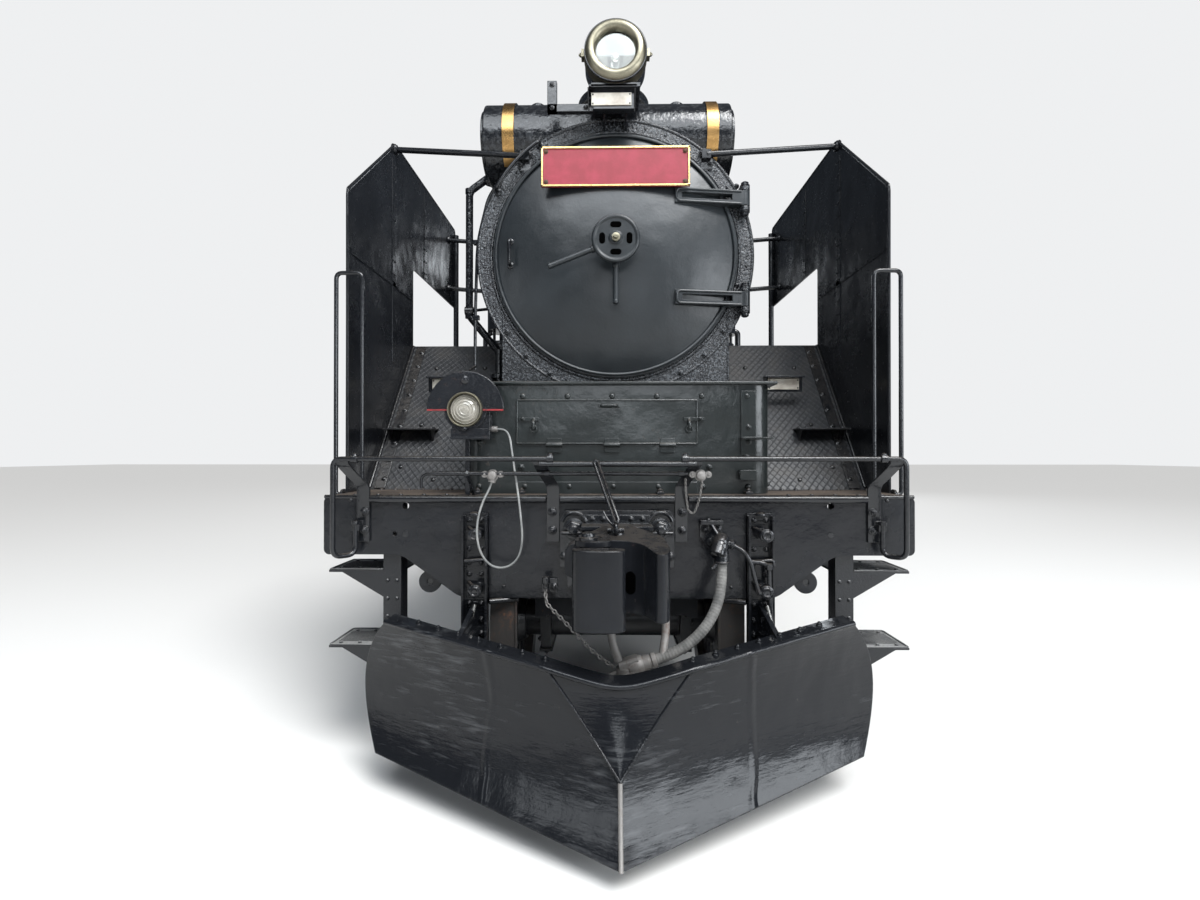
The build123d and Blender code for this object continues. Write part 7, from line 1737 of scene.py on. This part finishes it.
for y in (8392, 8880, 9385, 9890, 10378):
    columns = [-ROOF_HALF + i * ROOF_HALF / 20 for i in range(41)]
    roof.tube([roof_place(x, y) for x in columns], 7, sides=6)
    for x, dy in product(columns[1:-1], (-24, 24)):
        if 8390 < y + dy < 10380:
            roof.rivet(roof_place(x, y + dy), roof_normal(x), 8)
for side in SIDES:
    roof.tube((roof_place(side * 1180, 8384), roof_place(side * 1180, 10386)), 9)
roof.block((-420, 420), (8980, 9780), (3800, 3882))
roof.block((-446, 446), (8950, 9810), (3882, 3894))
roof.tube([(*corner, 3888) for corner in rectangle(-446, 446, 8950, 9810)], 9)
for y, side in product((9060, 9400, 9700), SIDES):
    roof.block((side * 300, side * 360), (y - 40, y + 40), (3894, 3900))
roof.done("cab_roof_fittings", cab_black)
cab_ends = Parts()
for (y, out), side in product(((8420, -1), (10350, 1)), SIDES):
    window = [(side * x, y, z) for x, z in rectangle(930, 1300, 2420, 2900)]
    cab_ends.tube(window, 10, 4, sides=8)
    for x, z in product((905, 1325), (2440, 2560, 2680, 2800, 2890)):
        cab_ends.rivet((side * x, y, z), Y * out, 7)
    for z in range(1460, 3300, 90):
        cab_ends.rivet((side * 1385, y, z), Y * out, 8)
    cab_ends.block((side * 900, side * 1330), (y, y + out * 40), (2925, 2934))
for side in SIDES:
    cab_ends.tube(((side * 424, 10352, 1500), (side * 424, 10352, 3254)), 9)
    handle = ((10350, 1640), (10404, 1640), (10404, 2760), (10350, 2760))
    cab_ends.tube([(side * 470, *place) for place in handle], 14, 30)
    for z in range(1560, 3240, 84):
        cab_ends.rivet((side * 446, 10350, z), Y, 8)
cab_ends.tube(((-424, 10352, 3254), (424, 10352, 3254)), 9)
collar = [on_drum(angle, 1, FIREBOX_RADIUS + 8, 8416) for angle in range(-8, 189, 4)]
cab_ends.tube(collar, 10, sides=8)
cab_ends.done("cab_end_fittings", cab_black)
for side, body in ((1, "cab_door_left"), (-1, "cab_door_right")):
    leaf = Parts()
    outer = side * 1398
    for z, y in product((1530, 2280, 3140), range(9760, 10260, 60)):
        leaf.rivet((outer, y, z), X * side, 7)
    for y, z in product((9752, 10250), range(1590, 3120, 75)):
        if abs(z - 2280) > 30:
            leaf.rivet((outer, y, z), X * side, 7)
    leaf.tube([(outer - side * 4, *corner) for corner in rectangle(9816, 10184, 2330, 2960)], 8, 10)
    leaf.turned((side * 1396, 9776, 2150), X * side, ((0, 26), (3, 24), (4, 12)), 16)
    leaf.done(f"{body}_fittings", cab_black, body)

# Controls on the firebox's back: gauges, valves, fire door and reverser
BACK_Y = 8950  # of the firebox's back plate
dials = Parts()
faces = Parts()
for x, radius in ((-320, 62), (-160, 62), (160, 62), (320, 62)):
    place = Vector((x, BACK_Y + 60, 2850))
    profile = ((0, 70), (14, 72), (18, 66), (18, radius - 4), (8, radius - 6))
    dials.turned(place, Y, profile, 36, ends="joined")
    faces.turned(place + Y * 6, Y, ((0, radius - 4), (3, radius - 4)), 36)
    dials.rod(place + Y * 12, place + Y * 12 + Vector((radius * 0.5, 0, radius * 0.5)), 2.5)
for x in (-420, 420):
    for z in (2270, 2590):
        dials.turned((x, BACK_Y + 40, z), Z, ((-14, 30), (14, 30)), 18)
        dials.rod((x, BACK_Y, z), (x, BACK_Y + 90, z), 16)
        dials.turned((x, BACK_Y + 90, z), Y, ((0, 34), (8, 34), (10, 10)), 8)
    dials.rod((x, BACK_Y + 62, 2300), (x, BACK_Y + 62, 2560), 9)
VALVE_WHEELS = (
    (-560, 2500, 70), (-620, 2250, 60), (560, 2500, 70), (620, 2250, 60), (-250, 2420, 52), (240, 2380, 52),
)
for x, z, radius in VALVE_WHEELS:
    hub = Vector((x, BACK_Y, z))
    dials.rod(hub, hub + Y * 90, 15)
    dials.turned(hub, Y, ((0, 40), (10, 40), (12, 28), (44, 28), (46, 14)), 20)
    dials.hoop(hub + Y * 92, radius, 8, 28, sides=8)
    for angle in (0, 60, 120):
        spoke = outward(angle) * radius
        dials.rod(hub + Y * 92 - spoke, hub + Y * 92 + spoke, 5)
dials.done("cab_valves", trim_brass, slot="brass")
faces.done("gauge_faces", sign_white, slot="brass")
copper = Parts()
for x in (-560, -440, -320, -160, 160, 320, 440, 560):
    foot, top = (2916 if abs(x) < 400 else 2620), 3080 - abs(x) * 0.2
    copper.tube(((x, BACK_Y + 30, foot), (x, BACK_Y + 30, top), (x * 0.6, BACK_Y + 60, top + 60)), 9, 40)
copper.tube(((-620, BACK_Y + 40, 3100), (620, BACK_Y + 40, 3100)), 24)
for side in (-1, 1):
    drop = ((620, 2200), (640, 1900), (640, 1500))
    copper.tube([(side * x, BACK_Y + 30, z) for x, z in drop], 16, 60)
copper.done("cab_pipes", brass_finish("copper", (0.72, 0.30, 0.16, 1), 0.5, 0.3), slot="brass")
fire = Parts()
for side in SIDES:
    half = ring_of((0, 0, 0), 225, 22, start=-88 if side > 0 else 92, sweep=176)
    fire.plate([(p.x, p.z) for p in half], -26, (side * 5, BACK_Y + 60, 1900))
    fire.rod((side * 150, BACK_Y + 86, 1900), (side * 150, BACK_Y + 150, 1900), 12)
fire.block((-280, 280), (BACK_Y, BACK_Y + 40), (1620, 1648))
fire.block((-300, 300), (BACK_Y, BACK_Y + 210), (1596, 1620))
for place, out in circle_points((0, BACK_Y + 60, 1900), 232, 12):
    fire.bolt(place, Y, 14)
for z, x in product(range(1450, 3150, 140), (-700, -560, -420, 420, 560, 700)):
    if abs(z - 2450) < math.sqrt(max(0, 780**2 - x**2)) or z < 2450:
        fire.rivet((x, BACK_Y, z), Y, 14)
fire.done("fire_door_fittings", rusty_iron, slot="brass")
reverser = Parts()
reverser.block((-1180, -1080), (8560, 8760), (1480, 2120))
REVERSER = Vector((-1130, 8800, 2160))
reverser.hoop(REVERSER, 150, 13, 36, sides=10)
for angle in (20, 110):
    spoke = outward(angle) * 150
    reverser.rod(REVERSER - spoke, REVERSER + spoke, 9)
reverser.rod((-1130, 8480, 2160), (-1130, 8820, 2160), 20)
reverser.rod((-1130, 8800, 2310), (-1130, 8880, 2310), 12)
reverser.block((-1170, -1090), (8520, 8780), (2100, 2150))
reverser.block((-1360, -1240), (8700, 8800), (1480, 2080))
reverser.tube(((-1300, 8750, 2080), (-1300, 8750, 2190), (-1180, 8860, 2230)), 12, 20)
reverser.done("reverser_and_brake_stand", frame_black, slot="brass")
planks = Parts()
for i in range(17):
    x = -1360 + i * 160
    planks.block((x, x + 154), (9000, 10300), (1480, 1486))
planks.done("cab_floor_boards", deck_brown, slot="dark_iron")

# Padded seats and backs


def cushion(name, size, place):
    """A crowned pad with two sewn channels: its size, and the place of its middle, in millimetres."""

    def power(value, exponent):
        return math.copysign(abs(value) ** exponent, value)

    pad = bmesh.new()
    around, up = 72, 20
    rings = []
    for j in range(up + 1):
        lift = math.pi * (j / up - 0.5)
        if j in (0, up):
            rings.append([pad.verts.new((0, 0, size[2] / 2 * power(math.sin(lift), 0.5)))])
            continue
        ring = []
        for i in range(around):
            turn = math.tau * i / around
            pull = 1 - 0.035 * math.cos(2 * turn) ** 2
            x = size[0] / 2 * power(math.cos(lift), 0.4) * power(math.cos(turn), 0.3) * pull
            y = size[1] / 2 * power(math.cos(lift), 0.4) * power(math.sin(turn), 0.3) * pull
            z = size[2] / 2 * power(math.sin(lift), 0.5)
            if z > 0:
                seams = (-size[0] / 6, size[0] / 6)
                z -= size[2] * 0.12 * sum(math.exp(-(((x - seam) / 7) ** 2)) for seam in seams)
            ring.append(pad.verts.new((x, y, z)))
        rings.append(ring)
    skin(pad, rings)
    pad.transform(TO_FRAME @ place)
    piece = leave(pad, name, seat_green)
    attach(piece, "engine")
    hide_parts("cab_seats")


pedestals = Parts()
piping = Parts()
for side, hand in ((1, "left"), (-1, "right")):
    x = side * 1080
    cushion(f"seat_pad_{hand}", (380, 340, 84), Matrix.Translation((x, 9450, 2002)))
    upright = Matrix.Translation((x, 9650, 2205)) @ Matrix.Rotation(math.pi / 2, 4, "X")
    cushion(f"back_pad_{hand}", (380, 450, 62), upright)
    pedestals.block((x - 150, x + 150), (9300, 9600), (1480, 1960))
    pedestals.block((x - 188, x + 188), (9284, 9616), (1955, 1966))
    pedestals.block((x - 186, x + 186), (9672, 9680), (1985, 2425))
    for dx in (-130, 130):
        pedestals.tube(((x + dx, 9560, 1962), (x + dx, 9690, 1962), (x + dx, 9690, 2300)), 11, 40)
        pedestals.bolt((x + dx, 9300, 1900), -Y, 14)
    piping.tube([(*corner, 2024) for corner in rectangle(x - 176, x + 176, 9292, 9608)], 5, 40, sides=8)
pedestals.done("seat_frames", cab_black, replaces=("cab_seats",))
piping.done("seat_piping", seat_green, slot="green_leather", replaces=("cab_seats",))

# Rear beam: bolts, drawbar head, safety hooks and hose pipes
REAR_Y = 10370
rear = Parts()
for x, z in product((-1180, -980, -780, -560, -340, 340, 560, 780, 980, 1180), (1160, 1050)):
    rear.rivet((x, REAR_Y, z), Y, 13)
for side in SIDES:
    profile = ((0, 74), (14, 70), (18, 44), (70, 40), (74, 60), (92, 56), (96, 0))
    rear.turned((side * 520, REAR_Y, 960), Y, profile, 28)
    hook = ((REAR_Y, 900), (10450, 900), (10470, 860), (10430, 830))
    rear.tube([(side * 300, *place) for place in hook], 18, 24)
    elbow = ((10340, 1060), (10420, 1060), (10440, 960))
    rear.tube([(side * 860, *place) for place in elbow], 24, 40, sides=14)
    rear.turned((side * 860, 10440, 960), -Z, ((0, 34), (24, 34), (28, 24), (44, 22)), 18)
rear.turned((0, 10480, 915), Z, ((0, 66), (5, 64), (6, 38)), 32, ends="open")
rear.block((-420, 420), (10350, 10520), (1478, 1486))
for y in range(10366, 10500, 19):
    rear.block((-400, 400), (y, y + 4), (1486, 1489))
rear.done("rear_beam_fittings", frame_black)

# Camera, floor and lights

camera = bpy.data.objects.new("camera", bpy.data.cameras.new("camera"))
camera.data.lens = 16.8
camera.data.sensor_width = 36
camera.data.clip_end = 200
camera.location = (-0.04, BEAM_Y - 2.467, RAIL_Z + 1.35)
camera.rotation_euler = (math.radians(90.31), 0, math.radians(0.82))
bpy.context.scene.collection.objects.link(camera)
bpy.context.scene.camera = camera
bpy.context.scene.view_settings.view_transform = "Standard"

floor_mesh = bpy.data.meshes.new("floor")
FLOOR_HALF = 60
corners = [(x * FLOOR_HALF, y * FLOOR_HALF, 0) for x, y in ((-1, -1), (1, -1), (1, 1), (-1, 1))]
floor_mesh.from_pydata(corners, [], [(0, 1, 2, 3)])
floor = bpy.data.objects.new("floor", floor_mesh)
bpy.context.scene.collection.objects.link(floor)
floor_finish = Finish("pale_floor")
floor_finish.set(Base_Color=(0.72, 0.71, 0.69, 1), Roughness=1.0)
floor_finish.shader.inputs["Specular IOR Level"].default_value = 0.1
floor_mesh.materials.append(floor_finish.material)

LIGHTS = (  # name, place, size, watts, aimed at
    ("gap_above", (0.4, -8.8, 9.0), (9, 4.4), 620, (0.2, -5.0, 2.0)),
    ("open_sky", (-0.3, -9.6, 6.5), (5.5, 1.7), 190, (0, -5.0, 2.7)),
    ("open_side", (8.5, -11.0, 3.4), (7, 4.2), 760, (0, -5.0, 1.2)),
    ("far_side", (-8.0, -12.0, 3.4), (2.4, 3), 70, (0, -5.0, 1.2)),
    ("low_front", (0.2, -13.0, 3.0), (3.5, 1.2), 70, (0, -5.0, 0.9)),
    ("rear_panel", (3, 13, 6), (8, 5), 420, (0, 3, 1.5)),
)
for name, place, size, watts, aim in LIGHTS:
    light = bpy.data.lights.new(name, "AREA")
    light.shape = "RECTANGLE"
    light.size, light.size_y = size
    light.energy = watts
    light.color = (0.90, 0.95, 1.0)
    panel = bpy.data.objects.new(name, light)
    panel.location = place
    panel.rotation_euler = (Vector(aim) - Vector(place)).to_track_quat("-Z", "Y").to_euler()
    bpy.context.scene.collection.objects.link(panel)
sun = bpy.data.lights.new("soft_sun", "SUN")
sun.energy = 3.2
sun.angle = math.radians(28)
sun_lamp = bpy.data.objects.new("soft_sun", sun)
sun_lamp.rotation_euler = Vector((-3.5, 4.5, -8)).to_track_quat("-Z", "Y").to_euler()
bpy.context.scene.collection.objects.link(sun_lamp)

world = bpy.data.worlds.new("studio")
bpy.context.scene.world = world
world.use_nodes = True
tree = world.node_tree
tree.nodes.clear()
rays = tree.nodes.new("ShaderNodeLightPath")
seen = tree.nodes.new("ShaderNodeMath")
seen.operation = "MAXIMUM"
tree.links.new(rays.outputs["Is Camera Ray"], seen.inputs[0])
tree.links.new(rays.outputs["Is Transmission Ray"], seen.inputs[1])
lit = tree.nodes.new("ShaderNodeBackground")
shown = tree.nodes.new("ShaderNodeBackground")
mix = tree.nodes.new("ShaderNodeMixShader")
lit.inputs["Color"].default_value = (0.70, 0.82, 1.0, 1)
lit.inputs["Strength"].default_value = 0.09
shown.inputs["Color"].default_value = (0.86, 0.87, 0.88, 1)
shown.inputs["Strength"].default_value = 1.0
tree.links.new(seen.outputs[0], mix.inputs[0])
tree.links.new(lit.outputs[0], mix.inputs[1])
tree.links.new(shown.outputs[0], mix.inputs[2])
tree.links.new(mix.outputs[0], tree.nodes.new("ShaderNodeOutputWorld").inputs["Surface"])

# Brake hose and lamp cable

HOSE_ROUTE = (
    (434, -122, 905),
    (432, -140, 820),
    (408, -170, 730),
    (360, -195, 650),
    (290, -208, 585),
    (210, -214, 540),
    (125, -218, 515),
)
CABLE_ROUTE = (
    (-546, 90, 1460),
    (-512, 90, 1460),
    (-482, 50, 1425),
    (-464, -8, 1365),
    (-446, -48, 1285),
    (-426, -74, 1185),
    (-410, -95, 1080),
    (-402, -92, 985),
    (-416, -88, 910),
    (-455, -86, 868),
    (-505, -86, 858),
    (-552, -86, 878),
    (-585, -94, 932),
    (-597, -102, 1002),
    (-592, -100, 1075),
    (-572, -94, 1145),
    (-545, -88, 1195),
    (-536, -86, 1225),
)


def smooth_line(name, route, radius=0.0):
    """A NURBS curve whose control points are the route's."""
    curve = bpy.data.curves.new(name, "CURVE")
    curve.dimensions = "3D"
    curve.resolution_u = 24
    curve.bevel_depth = radius
    curve.bevel_resolution = 4
    curve.use_fill_caps = True
    spline = curve.splines.new("NURBS")
    spline.points.add(len(route) - 1)
    for point, place in zip(spline.points, route):
        point.co = (*at(*place), 1)
    spline.use_endpoint_u = True
    spline.order_u = 3
    return bpy.data.objects.new(name, curve)


def line_points(route):
    """Points along the route's smooth line, in the frame."""
    guide = smooth_line("guide", route)
    bpy.context.scene.collection.objects.link(guide)
    bpy.context.view_layer.update()
    mesh = bpy.data.meshes.new_from_object(guide.evaluated_get(bpy.context.evaluated_depsgraph_get()))
    points = [vertex.co.copy() for vertex in mesh.vertices]
    bpy.data.meshes.remove(mesh)
    bpy.data.objects.remove(guide)
    return points


HOSE_RADIUS = 22
RIB_PITCH = 13
RIB_DEPTHS = (1.6, 0.5, 0, 0.5)
hose_line = line_points(HOSE_ROUTE)
hose_rings = spaced(hose_line, int(length_of(hose_line) * 1000 / RIB_PITCH) * 4 + 1)
radii = [(HOSE_RADIUS - RIB_DEPTHS[i % 4]) / 1000 for i in range(len(hose_rings))]
hose_shape = bmesh.new()
bar(hose_shape, hose_rings, radii, 20)
air_hose = leave(hose_shape, "air_hose", hose_grey)
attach(air_hose, "engine")
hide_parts("brake_hose")
length_of(hose_line)

CABLE_RADIUS = 0.0045
lamp_flex = smooth_line("lamp_flex", CABLE_ROUTE, CABLE_RADIUS)
lamp_flex.data.materials.append(cable_grey)
bpy.context.scene.collection.objects.link(lamp_flex)
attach(lamp_flex, "engine")
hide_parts("lamp_cable")
flex_line = line_points(CABLE_ROUTE)
length_of(flex_line)
